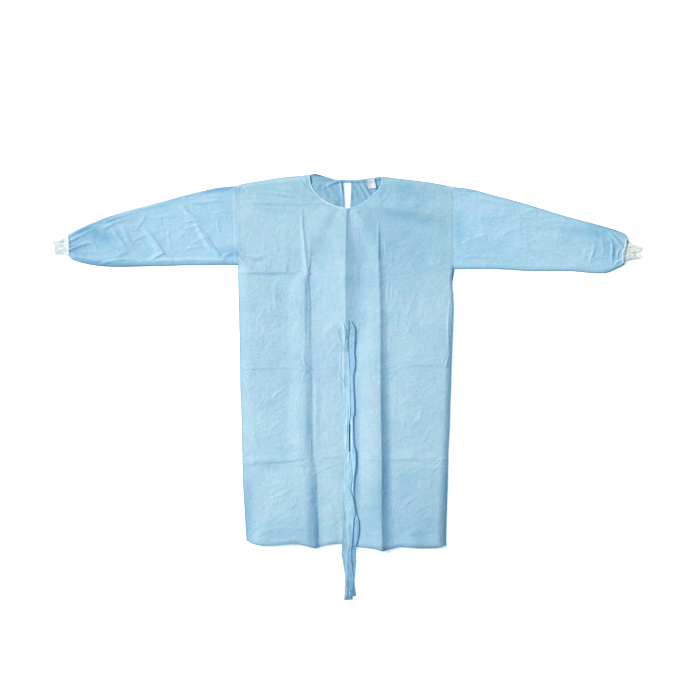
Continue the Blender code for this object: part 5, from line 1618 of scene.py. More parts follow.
def cloth_height(x, y):
    """Height of the upper face over the ground, for the front and both sleeves."""
    left_x, right_x = table(SIDES, y, 1), table(SIDES, y, 2)
    off_left, off_right = x - left_x, right_x - x
    across = ease((off_left / np.maximum(off_left + off_right, 1.0) - 0.3) / 0.6)
    rise = (1 - across) * table(LEFT_ROLL, y, 1) + across * table(RIGHT_ROLL, y, 1)
    on_sleeve = (x < left_x) | (x > right_x)
    rise = np.where(on_sleeve & (y > 340), 2.6, rise)

    def roll(distance, reach, power):
        return 1 - (1 - np.clip(distance / reach, 0.0, 1.0)) ** power

    # the side edges fall to the ground below the underarm only
    below = ease((392.0 - y) / 26.0)
    sides = roll(off_left, table(LEFT_ROLL, y, 2), 1.6) * roll(off_right, table(RIGHT_ROLL, y, 2), 1.9)
    sides = np.where(on_sleeve, 1.0, 1 - below + below * sides)
    under = np.where(on_sleeve, roll(y - lower_edge(x), 15.0, 2.2), 1.0)
    hem = roll(y - table(HEM, x, 1), 16.0, 2.0)
    shoulders = roll(upper_edge(x) - y, np.where(np.abs(x) < 330.0, 15.0, 4.5), 2.2)
    edges = np.minimum(np.minimum(sides, under), np.minimum(hem * 0.46 + 0.54, shoulders))
    edges = np.where(on_sleeve, np.minimum(under, shoulders), edges)

    folds = creases(FOLDS, x, y)
    soft = ripples(x, y) + 0.80 * crumples(x, y)
    calm = np.minimum(1.0, 0.12 + 0.88 * edges)
    calm = np.where(on_sleeve, calm, np.maximum(calm, np.minimum(0.8, 0.12 + 0.88 * sides)))
    height = FLOAT + rise * edges + (folds + soft) * calm

    # armhole seams: the seam allowance under the cloth, and the dip of the seam
    for side in (0, 1):
        seam = left_x if side == 0 else right_x
        east = x - seam
        reach = ease((y - 376.0) / 14.0) * ease((upper_edge(x) - y) / 10.0)
        if side == 0:
            allowance = 0.34 * np.clip((east + 12.5) / 11.0, 0.0, 1.0) * ease((30.0 - east) / 28.0)
            dip = -0.10 * np.exp(-(east / SEAM_HALF) ** 2) - 0.12 * np.exp(-((east + 14.0) / 1.8) ** 2)
        else:
            allowance = 0.12 * ease((east + 22.0) / 12.0) * ease((26.0 - east) / 26.0)
            dip = -0.09 * np.exp(-(east / SEAM_HALF) ** 2) - 0.09 * np.exp(-((east + 11.5) / 1.5) ** 2)
        height = height + reach * (allowance + dip)

    # the face never sinks below about three quarters of FLOAT
    return np.maximum(height, FLOAT * 0.75 + 0.1 * np.tanh(height))


def hue_at(x, y):
    """Where the colour leans to cyan, below 0, or to lavender, above 0."""
    return sum(amount * np.exp(-(((x - cx) / rx) ** 2 + ((y - cy) / ry) ** 2)) for cx, cy, rx, ry, amount in HUES)


def painted_shade_and_tone_at(x, y):
    value = 0.14 * noise(x, y, 120.0, 90.0, 41) + 0.14 * noise(x, y, 42.0, 38.0, 42)
    # painted shade along the outline's folded edges: a band, stronger on the sleeves' lower halves, and a thin dark
    # line at the very edge
    left_x, right_x = table(SIDES, y, 1), table(SIDES, y, 2)
    on_sleeve = (x < left_x) | (x > right_x)
    body = np.minimum(np.where(y < 384.0, np.minimum(x - left_x, right_x - x), 50.0), y - table(HEM, x, 1))
    nearest = np.minimum(np.where(on_sleeve, y - lower_edge(x), body), np.where(np.abs(x) < 118, 50.0, upper_edge(x) - y))
    edge_shade_share = np.where((x > 0) & (nearest < 20.0) & (right_x - x < 20.0) & ~on_sleeve, 0.08 + 0.3 * ease((-300.0 - y) / 180.0), 1.0)
    value = value - edge_shade_share * np.exp(-(np.maximum(nearest, 0.0) / 2.6) ** 2)
    value = value - np.where(on_sleeve & (y > 0.5 * (upper_edge(x) + lower_edge(x))), 0.5, 0.15) * np.exp(-(np.maximum(nearest, 0.0) / 8.0) ** 2)
    value = value - edge_shade_share * np.where(on_sleeve, 0.7, 0.25) * np.exp(-(np.maximum(nearest, 0.0) / 1.3) ** 2)
    # painted shade in the bottom of a crease, where its sides would shade it
    here, step = cloth_height(x, y), 1.9
    around = sum(cloth_height(x + dx, y + dy) for dx, dy in ((step, 0), (-step, 0), (0, step), (0, -step))) / 4
    hollow = np.where(nearest > 5.0, around - here, 0.0)
    value = value - CREASE_PAINTED_SHADE * np.clip(hollow, 0.0, 0.7) - 0.25 * np.clip(hollow, -0.6, 0.0)
    # soft ovals of painted shade and painted light
    for cx, cy, rx, ry, amount in PAINTED_LIGHT_AND_SHADE_SPOTS:
        value = value + amount * np.exp(-(((x - cx) / rx) ** 2 + ((y - cy) / ry) ** 2))
    return value


# ---------------------------------------------------------------- meshes
def mesh_piece(name, points, quads, triangles, look, painted_shade_and_tone=None, smooth_angle=55.0):
    """A mesh object from arrays: points in millimetres, four- and three-sided faces."""
    points = np.asarray(points, float)
    quads = np.asarray(quads, np.int64).reshape(-1, 4)
    triangles = np.asarray(triangles, np.int64).reshape(-1, 3)
    mesh = bpy.data.meshes.new(name)
    mesh.vertices.add(len(points))
    mesh.vertices.foreach_set("co", (points * MM).astype(np.float32).ravel())
    loops = np.concatenate([quads.ravel(), triangles.ravel()])
    mesh.loops.add(len(loops))
    mesh.loops.foreach_set("vertex_index", loops.astype(np.int32))
    sizes = np.concatenate([np.full(len(quads), 4), np.full(len(triangles), 3)])
    mesh.polygons.add(len(sizes))
    starts = np.concatenate([[0], np.cumsum(sizes)[:-1]])
    mesh.polygons.foreach_set("loop_start", starts.astype(np.int32))
    mesh.update(calc_edges=True)
    mesh.validate()
    mesh.materials.append(look)
    mesh.shade_smooth()
    if smooth_angle:
        mesh.set_sharp_from_angle(angle=math.radians(smooth_angle))
    if painted_shade_and_tone is not None:
        values = mesh.attributes.new("painted_shade_and_tone", "FLOAT", "POINT")
        values.data.foreach_set("value", np.asarray(painted_shade_and_tone, np.float32).ravel())
    made = bpy.data.objects.new(name, mesh)
    bpy.context.scene.collection.objects.link(made)
    return made


def fine_grid_faces(m, n, offset, around, flip):
    i, j = np.meshgrid(np.arange(m - 1), np.arange(n if around else n - 1), indexing="ij")
    k = (j + 1) % n
    quads = np.stack([i * n + j, i * n + k, (i + 1) * n + k, (i + 1) * n + j], -1).reshape(-1, 4) + offset
    return quads[:, ::-1] if flip else quads


def rim(fine, coarse, step, flip):
    """Triangles between a fine edge and a coarse one that has every step-th point of it."""
    made = []
    for c in range(len(coarse) - 1):
        part = fine[c * step:(c + 1) * step + 1]
        a, b = coarse[c], coarse[c + 1]
        half = len(part) // 2
        for f, g in zip(part[:half], part[1:half + 1]):
            made.append((a, g, f))
        made.append((a, b, part[half]))
        for f, g in zip(part[half:], part[half + 1:]):
            made.append((b, g, f))
    made = np.array(made)
    return made[:, ::-1] if flip else made


def shell(name, upper, lower, step, look, painted_shade_and_tone=None, around=False, flip=False, smooth_angle=55.0):
    """A closed thin shell: a fine face and a coarser one, joined round their edges.

    upper is (m, n, 3); lower has every step-th row and column of it. Around
    makes it a tube, whose columns close on themselves.
    """
    m, n = upper.shape[:2]
    cm, cn = lower.shape[:2]
    points = np.vstack([upper.reshape(-1, 3), lower.reshape(-1, 3)])
    base = m * n
    quads = np.vstack([
        fine_grid_faces(m, n, 0, around, flip),
        fine_grid_faces(cm, cn, base, around, not flip),
    ])
    top = np.arange(m * n).reshape(m, n)
    low = (np.arange(cm * cn) + base).reshape(cm, cn)
    parts = []
    if around:
        close = lambda line: np.concatenate([line, line[:1]])
        parts.append(rim(close(top[0]), close(low[0]), step, not flip))
        parts.append(rim(close(top[-1]), close(low[-1]), step, flip))
    else:
        parts.append(rim(top[0], low[0], step, not flip))
        parts.append(rim(top[-1], low[-1], step, flip))
        parts.append(rim(top[:, 0], low[:, 0], step, flip))
        parts.append(rim(top[:, -1], low[:, -1], step, not flip))
    values = None
    if painted_shade_and_tone is not None:
        values = np.concatenate([painted_shade_and_tone.ravel(), painted_shade_and_tone[::step, ::step].ravel()])
    return mesh_piece(name, points, quads, np.vstack(parts), look, values, smooth_angle)


def lowest_near(z, reach):
    """Each point's lowest neighbour within reach, on a grid."""
    out = z.copy()
    for axis in (0, 1):
        grown = out.copy()
        for shift in range(1, reach + 1):
            for sign in (1, -1):
                moved = np.roll(out, sign * shift, axis)
                edge = [slice(None)] * 2
                edge[axis] = slice(0, shift) if sign > 0 else slice(-shift, None)
                moved[tuple(edge)] = out[tuple(edge)]
                grown = np.minimum(grown, moved)
        out = grown
    return out


def blurred(z, times, axes=(0, 1)):
    for _ in range(times):
        for axis in axes:
            before = np.roll(z, 1, axis)
            after = np.roll(z, -1, axis)
            first = [slice(None)] * z.ndim
            last = [slice(None)] * z.ndim
            first[axis], last[axis] = slice(0, 1), slice(-1, None)
            before[tuple(first)] = z[tuple(first)]
            after[tuple(last)] = z[tuple(last)]
            z = 0.25 * before + 0.5 * z + 0.25 * after
    return z


def uneven(count, pull):
    """Shares from 0 to 1, closer together at both ends."""
    t = np.arange(count) / count
    return t + pull * (t - 0.5 - 0.5 * np.sin(math.pi * (t - 0.5))) * -2.0


# ---------------------------------------------------------------- looks
def node(tree, kind, **inputs):
    made = tree.nodes.new(kind)
    for name, value in inputs.items():
        made.inputs[name.replace("_", " ")].default_value = value
    return made


def mixed(tree, mode, share, first, second):
    made = tree.nodes.new("ShaderNodeMix")
    made.data_type = "RGBA"
    made.blend_type = mode
    made.clamp_result = True
    for socket, value in ((made.inputs[0], share), (made.inputs[6], first), (made.inputs[7], second)):
        if isinstance(value, (int, float)):
            socket.default_value = value
        elif isinstance(value, tuple):
            socket.default_value = (*value, 1.0)
        else:
            tree.links.new(value, socket)
    return made.outputs[2]


def sum_of(tree, operation, first, second):
    made = tree.nodes.new("ShaderNodeMath")
    made.operation = operation
    for socket, value in ((made.inputs[0], first), (made.inputs[1], second)):
        if isinstance(value, (int, float)):
            socket.default_value = value
        else:
            tree.links.new(value, socket)
    return made.outputs[0]


def stretched(tree, source, scale, turn=0.0):
    made = tree.nodes.new("ShaderNodeMapping")
    made.inputs["Scale"].default_value = scale
    made.inputs["Rotation"].default_value = (0.0, 0.0, turn)
    tree.links.new(source, made.inputs["Vector"])
    return made.outputs["Vector"]


def ramp(tree, source, stops):
    made = tree.nodes.new("ShaderNodeValToRGB")
    made.color_ramp.elements[0].position, made.color_ramp.elements[0].color = stops[0][0], (*stops[0][1], 1)
    made.color_ramp.elements[1].position, made.color_ramp.elements[1].color = stops[-1][0], (*stops[-1][1], 1)
    for place, colour in stops[1:-1]:
        made.color_ramp.elements.new(place).color = (*colour, 1)
    tree.links.new(source, made.inputs["Fac"])
    return made.outputs["Color"]


def noise_node(tree, vector, scale, detail=2.0, rough=0.5, distort=0.0):
    made = tree.nodes.new("ShaderNodeTexNoise")
    made.inputs["Scale"].default_value = scale
    made.inputs["Detail"].default_value = detail
    made.inputs["Roughness"].default_value = rough
    made.inputs["Distortion"].default_value = distort
    tree.links.new(vector, made.inputs["Vector"])
    return made.outputs["Fac"]


def principled(name, roughness, sheen=0.0, specular=0.35):
    made = bpy.data.materials.new(name)
    made.use_nodes = True
    tree = made.node_tree
    shader = tree.nodes["Principled BSDF"]
    shader.inputs["Roughness"].default_value = roughness
    shader.inputs["Specular IOR Level"].default_value = specular
    shader.inputs["Sheen Weight"].default_value = sheen
    shader.inputs["Sheen Roughness"].default_value = 0.45
    coords = tree.nodes.new("ShaderNodeTexCoord").outputs["Object"]
    return made, tree, shader, coords


def scaled(colour, by):
    return tuple(min(1.0, c * by) for c in colour)


def nonwoven(name, colour, cyan, lavender, roughness=0.58, sheen=0.12, emboss=1.0, cloud=1.0):
    """Spunbond cloth: cloudy web, fine fibres, and rows of small bond points."""
    made, tree, shader, coords = principled(name, roughness, sheen)
    # cloudy web: paler and deeper patches, a few centimetres across, and a drift of hue
    wide = noise_node(tree, coords, 17.0, 3.0, 0.55, 0.4)
    lean = tree.nodes.new("ShaderNodeAttribute")
    lean.attribute_name = "hue"
    wide = sum_of(tree, "ADD", wide, sum_of(tree, "MULTIPLY", lean.outputs["Fac"], 0.17))
    tint = ramp(tree, wide, ((0.30, cyan), (0.50, colour), (0.72, lavender)))
    web = noise_node(tree, coords, 120.0, 4.0, 0.62, 0.3)
    shade = ramp(tree, web, ((0.30, (0.90, 0.915, 0.93)), (0.52, (1.0, 1.0, 1.0)), (0.74, (1.07, 1.06, 1.05))))
    mottled = mixed(tree, "MULTIPLY", 0.75 * cloud, tint, shade)
    # fibres laid mostly crosswise
    fibre_space = stretched(tree, coords, (260.0, 1500.0, 600.0), 0.12)
    fibres = noise_node(tree, fibre_space, 1.0, 3.0, 0.6, 0.6)
    fibre_shade = ramp(tree, fibres, ((0.34, (0.93, 0.94, 0.95)), (0.6, (1.03, 1.03, 1.02))))
    mottled = mixed(tree, "MULTIPLY", 0.55, mottled, fibre_shade)
    # painted shade and painted light from the piece's own attribute, with some random tone; near black at its darkest
    painted_shade_and_tone = tree.nodes.new("ShaderNodeAttribute")
    painted_shade_and_tone.attribute_name = "painted_shade_and_tone"
    share = tree.nodes.new("ShaderNodeMapRange")
    share.inputs["From Min"].default_value = -2.0
    share.inputs["From Max"].default_value = 1.0
    tree.links.new(painted_shade_and_tone.outputs["Fac"], share.inputs["Value"])
    painted_shade_and_tone_colour = ramp(tree, share.outputs["Result"], ((0.0, (0.10, 0.22, 0.34)), (0.333, (0.49, 0.715, 0.855)), (0.667, (1.0, 1.0, 1.0)), (1.0, (1.22, 1.14, 1.09))))
    final = mixed(tree, "MULTIPLY", 1.0, mottled, painted_shade_and_tone_colour)
    # bond points: small pressed ovals in a diamond repeat
    bonds_space = stretched(tree, coords, (1.0, 1.0, 1.0), math.radians(45.0))
    split = tree.nodes.new("ShaderNodeSeparateXYZ")
    tree.links.new(bonds_space, split.inputs["Vector"])
    turn = 2 * math.pi / 0.0021
    waves = [
        sum_of(tree, "SINE", sum_of(tree, "MULTIPLY", split.outputs[axis], turn * by), 0.0)
        for axis, by in (("X", 1.0), ("Y", 0.82))
    ]
    product = sum_of(tree, "MULTIPLY", waves[0], waves[1])
    pressed = sum_of(tree, "POWER", sum_of(tree, "MAXIMUM", product, 0.0), 1.6)
    bond_shade = ramp(tree, pressed, ((0.35, (1.0, 1.0, 1.0)), (0.9, (0.90, 0.93, 0.95))))
    final = mixed(tree, "MULTIPLY", 0.7 * emboss, final, bond_shade)
    tree.links.new(final, shader.inputs["Base Color"])
    # relief: bond points, fibres, and the softly pilled face
    bump = tree.nodes.new("ShaderNodeBump")
    bump.inputs["Strength"].default_value = 0.35 * emboss
    bump.inputs["Distance"].default_value = 0.00012
    bump.invert = True
    tree.links.new(pressed, bump.inputs["Height"])
    second = tree.nodes.new("ShaderNodeBump")
    second.inputs["Strength"].default_value = 0.35
    second.inputs["Distance"].default_value = 0.00010
    tree.links.new(fibres, second.inputs["Height"])
    tree.links.new(bump.outputs["Normal"], second.inputs["Normal"])
    third = tree.nodes.new("ShaderNodeBump")
    third.inputs["Strength"].default_value = 0.6
    third.inputs["Distance"].default_value = 0.0011
    tree.links.new(noise_node(tree, coords, 210.0, 3.0, 0.55), third.inputs["Height"])
    tree.links.new(second.outputs["Normal"], third.inputs["Normal"])
    # hair-fine crosswise wrinkles, sharp in their bottoms
    lines = noise_node(tree, stretched(tree, coords, (52.0, 250.0, 150.0), 0.04), 1.0, 4.0, 0.62, 0.9)
    sharp = sum_of(tree, "ABSOLUTE", sum_of(tree, "SUBTRACT", lines, 0.5), 0.0)
    fourth = tree.nodes.new("ShaderNodeBump")
    fourth.inputs["Strength"].default_value = 0.6
    fourth.inputs["Distance"].default_value = 0.0022
    tree.links.new(sharp, fourth.inputs["Height"])
    tree.links.new(third.outputs["Normal"], fourth.inputs["Normal"])
    tree.links.new(fourth.outputs["Normal"], shader.inputs["Normal"])
    rough = tree.nodes.new("ShaderNodeMapRange")
    rough.inputs["To Min"].default_value = roughness - 0.07
    rough.inputs["To Max"].default_value = roughness + 0.10
    tree.links.new(web, rough.inputs["Value"])
    tree.links.new(rough.outputs["Result"], shader.inputs["Roughness"])
    return made


def knit(name, colour, dark):
    """Off-white rib knit: rows of small loops over ribs that the mesh carries."""
    made, tree, shader, coords = principled(name, 0.86, 0.25, 0.2)
    split = tree.nodes.new("ShaderNodeSeparateXYZ")
    tree.links.new(coords, split.inputs["Vector"])
    rows = sum_of(tree, "SINE", sum_of(tree, "MULTIPLY", split.outputs["X"], 2 * math.pi / 0.00125), 0.0)
    legs = sum_of(tree, "SINE", sum_of(tree, "MULTIPLY", split.outputs["Y"], 2 * math.pi / 0.00085), 0.0)
    loops = sum_of(tree, "MULTIPLY", rows, legs)
    fuzz = noise_node(tree, coords, 700.0, 4.0, 0.6, 0.5)
    cloudy = noise_node(tree, coords, 90.0, 3.0, 0.55)
    tint = ramp(tree, cloudy, ((0.32, dark), (0.6, colour)))
    shade = ramp(tree, sum_of(tree, "ADD", sum_of(tree, "MULTIPLY", loops, 0.25), fuzz),
                 ((0.25, (0.94, 0.945, 0.95)), (0.75, (1.04, 1.04, 1.035))))
    tree.links.new(mixed(tree, "MULTIPLY", 0.8, tint, shade), shader.inputs["Base Color"])
    bump = tree.nodes.new("ShaderNodeBump")
    bump.inputs["Strength"].default_value = 0.6
    bump.inputs["Distance"].default_value = 0.0003
    tree.links.new(loops, bump.inputs["Height"])
    second = tree.nodes.new("ShaderNodeBump")
    second.inputs["Strength"].default_value = 0.5
    second.inputs["Distance"].default_value = 0.0003
    tree.links.new(fuzz, second.inputs["Height"])
    tree.links.new(bump.outputs["Normal"], second.inputs["Normal"])
    tree.links.new(second.outputs["Normal"], shader.inputs["Normal"])
    return made


def tape(name, colour, dark, roughness):
    """Woven satin label tape: fine crosswise yarns."""
    made, tree, shader, coords = principled(name, roughness, 0.1, 0.5)
    yarns = noise_node(tree, stretched(tree, coords, (300.0, 4200.0, 900.0), -0.1), 1.0, 2.0, 0.5)
    warp = noise_node(tree, stretched(tree, coords, (3600.0, 260.0, 900.0), -0.1), 1.0, 2.0, 0.5)
    both = sum_of(tree, "ADD", sum_of(tree, "MULTIPLY", yarns, 0.6), sum_of(tree, "MULTIPLY", warp, 0.4))
    tree.links.new(ramp(tree, both, ((0.3, dark), (0.62, colour))), shader.inputs["Base Color"])
    bump = tree.nodes.new("ShaderNodeBump")
    bump.inputs["Strength"].default_value = 0.4
    bump.inputs["Distance"].default_value = 0.0001
    tree.links.new(both, bump.inputs["Height"])
    tree.links.new(bump.outputs["Normal"], shader.inputs["Normal"])
    return made


def thread(name, colour):
    """Polyester sewing thread: a tight slanting twist."""
    made, tree, shader, coords = principled(name, 0.5, 0.2, 0.45)
    twist = noise_node(tree, stretched(tree, coords, (3000.0, 9000.0, 3000.0), 0.7), 1.0, 2.0, 0.5)
    tree.links.new(ramp(tree, twist, ((0.3, scaled(colour, 0.78)), (0.65, colour))), shader.inputs["Base Color"])
    bump = tree.nodes.new("ShaderNodeBump")
    bump.inputs["Strength"].default_value = 0.6
    bump.inputs["Distance"].default_value = 0.0001
    tree.links.new(twist, bump.inputs["Height"])
    tree.links.new(bump.outputs["Normal"], shader.inputs["Normal"])
    return made


BLUE = (0.347, 0.549, 0.681)
FRONT_LOOK = nonwoven("nonwoven_front", BLUE, (0.330, 0.556, 0.681), (0.366, 0.542, 0.688))
# the sleeves: lighter, bluer copies of the front's cloth as painted light, the right one lighter still
SLEEVE_LIT_LOOK = nonwoven("nonwoven_sleeve_lit", (0.328, 0.566, 0.728), (0.308, 0.574, 0.724), (0.350, 0.558, 0.738))
SLEEVE_RIGHT_LIT_LOOK = nonwoven("nonwoven_sleeve_right_lit", (0.350, 0.600, 0.765), (0.330, 0.608, 0.760), (0.374, 0.592, 0.775))
# the inner face: a darker, greyer copy of the cloth, partly the uncoated side's own colour and partly painted shade
# where it lies inside the gown
INSIDE_SHADED_LOOK = nonwoven("nonwoven_inner_face_shaded", (0.226, 0.446, 0.605), (0.214, 0.452, 0.590), (0.242, 0.434, 0.615), 0.66, 0.05)
# the tie's upper tail: a darker copy of the front's cloth, as painted shade
STRIP_SHADED_LOOK = nonwoven("nonwoven_strip", (0.324, 0.520, 0.652), (0.306, 0.520, 0.642), (0.346, 0.516, 0.662), 0.52, 0.12)
STRIP_UNDER_LOOK = nonwoven("nonwoven_strip_under", (0.316, 0.530, 0.700), (0.300, 0.530, 0.688), (0.338, 0.526, 0.708), 0.52, 0.12)
BIND_LOOK = nonwoven("nonwoven_binding", (0.385, 0.635, 0.800), (0.375, 0.635, 0.785), (0.400, 0.630, 0.810), 0.52, 0.15, 0.6)
KNIT_LOOK = knit("rib_knit", (0.715, 0.845, 0.860), (0.645, 0.790, 0.820))
# the right cuff: a darker, greyer copy of the same knit, as painted shade
KNIT_RIGHT_SHADED_LOOK = knit("rib_knit_right_shaded", (0.705, 0.800, 0.790), (0.640, 0.750, 0.760))
OVERLOCK_LOOK = thread("overlock_thread", (0.72, 0.86, 0.92))
THREAD_LOOK = thread("blue_thread", (0.30, 0.47, 0.60))
LABEL_LOOK = tape("label_tape", (0.50, 0.61, 0.70), (0.42, 0.52, 0.60), 0.42)
LABEL_THREAD = thread("label_thread", (0.62, 0.68, 0.72))

# ---------------------------------------------------------------- front panel
# Guide lines up the front: y, then x of the left crease, the left neck corner's
# line, the centre crease, the right neck corner's line and the right crease
GUIDES = (
    (-520.0, -99.0, -72.0, 4.0, 78.0, 109.0),
    (-380.0, -104.0, -76.0, 4.0, 78.0, 106.5),
    (-230.0, -117.0, -84.0, 4.0, 78.0, 105.0),
    (0.0, -130.0, -90.0, 2.0, 76.0, 104.6),
    (200.0, -128.6, -92.0, -1.0, 76.0, 104.8),
    (300.0, -127.4, -94.0, -4.0, 76.0, 104.0),
    (350.0, -122.4, -94.0, -5.0, 76.0, 103.0),
    (400.0, -127.0, -97.0, -5.0, 77.0, 102.0),
    (470.0, -133.0, -104.0, -2.6, 80.0, 101.0),
    (520.0, -137.6, -110.0, 0.0, 84.0, 102.0),
)
TOP_GUIDES = (-138.0, -116.4, 2.5, 109.8, 124.0)
SPANS = (76, 18, 46, 40, 12, 75)
PULLS = (0.25, 0.3, 0.2, 0.2, 0.2, 0.25)
UPPER_START = 500.0


def column_lines(anchors):
    """x of each lengthwise line, between the guides."""
    parts = []
    for low, high, count, pull in zip(anchors, anchors[1:], SPANS, PULLS):
        share = uneven(count, pull)
        parts.append(low[..., None] + share * (high - low)[..., None])
    parts.append(anchors[-1][..., None])
    return np.concatenate(parts, -1)


def spaced_rows(low, high, fine_at, coarse, fine):
    """y of the crosswise rows, closer together at the folds."""
    rows, y = [low], low
    while y < high:
        near = min((abs(y - place) for place in fine_at), default=1e9)
        y += fine + (coarse - fine) * float(ease((near - 8.0) / 22.0))
        rows.append(y)
    rows = np.array(rows)
    return low + (rows - low) * (high - low) / (rows[-1] - low)


def front_points():
    body_rows = spaced_rows(-470.0, UPPER_START, (-470.0, -235.0, 57.0, 350.0), 4.3, 2.2)
    hem_count = 12
    hem_shares = np.array([0.0, 0.012, 0.03, 0.12, 0.26, 0.42, 0.52, 0.60, 0.70, 0.80, 0.90, 1.0])
    top_count = 40
    rows = []
    for share in hem_shares[:-1]:
        anchors = [np.array(v) for v in (
            table(SIDES, -480.0, 1), *(table(GUIDES, -480.0, k) for k in range(1, 6)), table(SIDES, -480.0, 2))]
        x = column_lines(anchors)
        y = table(HEM, x, 1) * (1 - share) + (-470.0) * share
        x = x + (x < -300) * 0
        rows.append((x, y))
    for y in body_rows:
        anchors = [np.array(v) for v in (
            table(SIDES, y, 1), *(table(GUIDES, y, k) for k in range(1, 6)), table(SIDES, y, 2))]
        x = column_lines(anchors)
        rows.append((x, np.full(len(x), y)))
    below = rows[-1][0]
    tops = [np.array(v) for v in (-344.2, *TOP_GUIDES, 332.4)]
    above = []
    for low, high, count, pull in zip(tops, tops[1:], SPANS, PULLS):
        line = np.linspace(low, high, 400)
        path = np.concatenate([[0], np.cumsum(np.hypot(np.diff(line), np.diff(top_y(line, NECK_FRONT))))])
        above.append(np.interp(uneven(count, pull * 0.6) * path[-1], path, line))
    above = np.concatenate(above + [[tops[-1]]])
    top = top_y(np.clip(above, -344.2, 332.4), NECK_FRONT)
    for k in range(1, top_count + 1):
        share = k / top_count
        share = share + 0.10 * math.sin(math.pi * share) * (1 - share)
        x = below + (above - below) * share
        y = UPPER_START + (top - UPPER_START) * share
        x[0], x[-1] = table(SIDES, y[0], 1), table(SIDES, y[-1], 2)
        rows.append((x, y))
    x = np.array([row[0] for row in rows])
    y = np.array([row[1] for row in rows])
    return x, y


def to_step(array, step, axis):
    """Drops lines from the middle so that the grid divides by step."""
    extra = (array.shape[axis] - 1) % step
    drop = [array.shape[axis] // 2 + 5 * k for k in range(extra)]
    return np.delete(array, drop, axis)


STEP = 3
front_x, front_y = front_points()
front_x, front_y = (to_step(to_step(a, STEP, 0), STEP, 1) for a in (front_x, front_y))
front_z = cloth_height(front_x, front_y)
# hem: turned up twice, so it is thicker up to its stitching
over_hem = front_y - table(HEM, front_x, 1)
front_z += 0.42 * ease((13.2 - over_hem) / 1.6)
front_z -= 0.30 * np.exp(-((over_hem - 10.6) / 0.9) ** 2) + 0.22 * np.exp(-((over_hem - 2.6) / 0.8) ** 2)
front_z += 0.10 * np.sin(front_x * 2 * math.pi / 7.3 + 3 * noise(front_x, front_y, 30, 30, 21)) * ease((14 - over_hem) / 4)
top = np.stack([front_x, front_y, front_z], -1)
under = lowest_near(front_z, STEP)[::STEP, ::STEP] - CLOTH
under = np.maximum(under, 0.62)
low = np.stack([front_x[::STEP, ::STEP], front_y[::STEP, ::STEP], under], -1)
front = shell("front_panel_cloth", top, low, STEP, FRONT_LOOK, painted_shade_and_tone_at(front_x, front_y))
lean = hue_at(front_x, front_y)
lean = np.concatenate([lean.ravel(), lean[::STEP, ::STEP].ravel()])
front.data.attributes.new("hue", "FLOAT", "POINT").data.foreach_set("value", lean.astype(np.float32))
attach(front, "root")
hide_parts("front_panel")

# Height of the front's upper face anywhere, for what lies on it
def front_height(x, y):
    return cloth_height(x, y)


# ---------------------------------------------------------------- back panels
def neck_gap(x, y):
    """How far inside the neck's front edge a point lies; 0 outside the opening."""
    path = np.array([row for row in NECK_FRONT], float)
    edge_y = np.interp(x, path[:, 0], path[:, 1])
    inside = (y > edge_y) & (x > path[0, 0]) & (x < path[-1, 0])
    nearest = np.full(np.shape(x), 60.0)
    dense = np.concatenate([np.linspace(path[k], path[k + 1], 8) for k in range(len(path) - 1)])
    near = y > 535.0
    for px, py in dense:
        nearest = np.where(near, np.minimum(nearest, np.hypot(x - px, y - py)), nearest)
    return np.where(inside, nearest, 0.0)


def back_height(x, y):
    """Upper face of a back panel: flat on the ground but for creases and the neck's folds."""
    lies = 0.55 + 0.08 * noise(x, y, 26.0, 18.0, 61) + 0.10 * noise(x, y, 60.0, 70.0, 62)
    open_neck = ease((y - 548.0) / 14.0) * ease((112.0 - np.abs(x + 3.0)) / 12.0)
    shallow = creases(BACK_FOLDS, x, y, 0.55)
    fine = 0.05 * np.sin((y + 8 * noise(x, y, 50, 40, 63)) * 2 * math.pi / 12.0)
    neck = creases(NECK_FOLDS, x, y)
    loose = 0.7 + 0.35 * noise(x, y, 14.0, 12.0, 64)
    room = np.where(y > 540, 1.6, 0.75)
    gap = neck_gap(x, y)
    swell = (gap > 0) * 2.4 * ease((gap + 2.0) / 6.0) * ease((40.0 - gap) / 32.0) * ease((-x - 4.0) / 40.0) * ease((642.0 - y) / 14.0)
    height = lies + np.minimum(np.maximum(shallow, 0.0), 0.45) + fine + open_neck * (loose + neck) + swell
    return np.minimum(height, lies + open_neck * 9.0 + 0.5)


def back_side(y, side):
    """Side edge of a back panel: the front draws in a little at the right underarm."""
    edge = table(SIDES, y, side)
    return edge + (4.6 * ease((y - 318.0) / 26.0) * ease((375.0 - y) / 10.0) if side == 2 else 0.0)


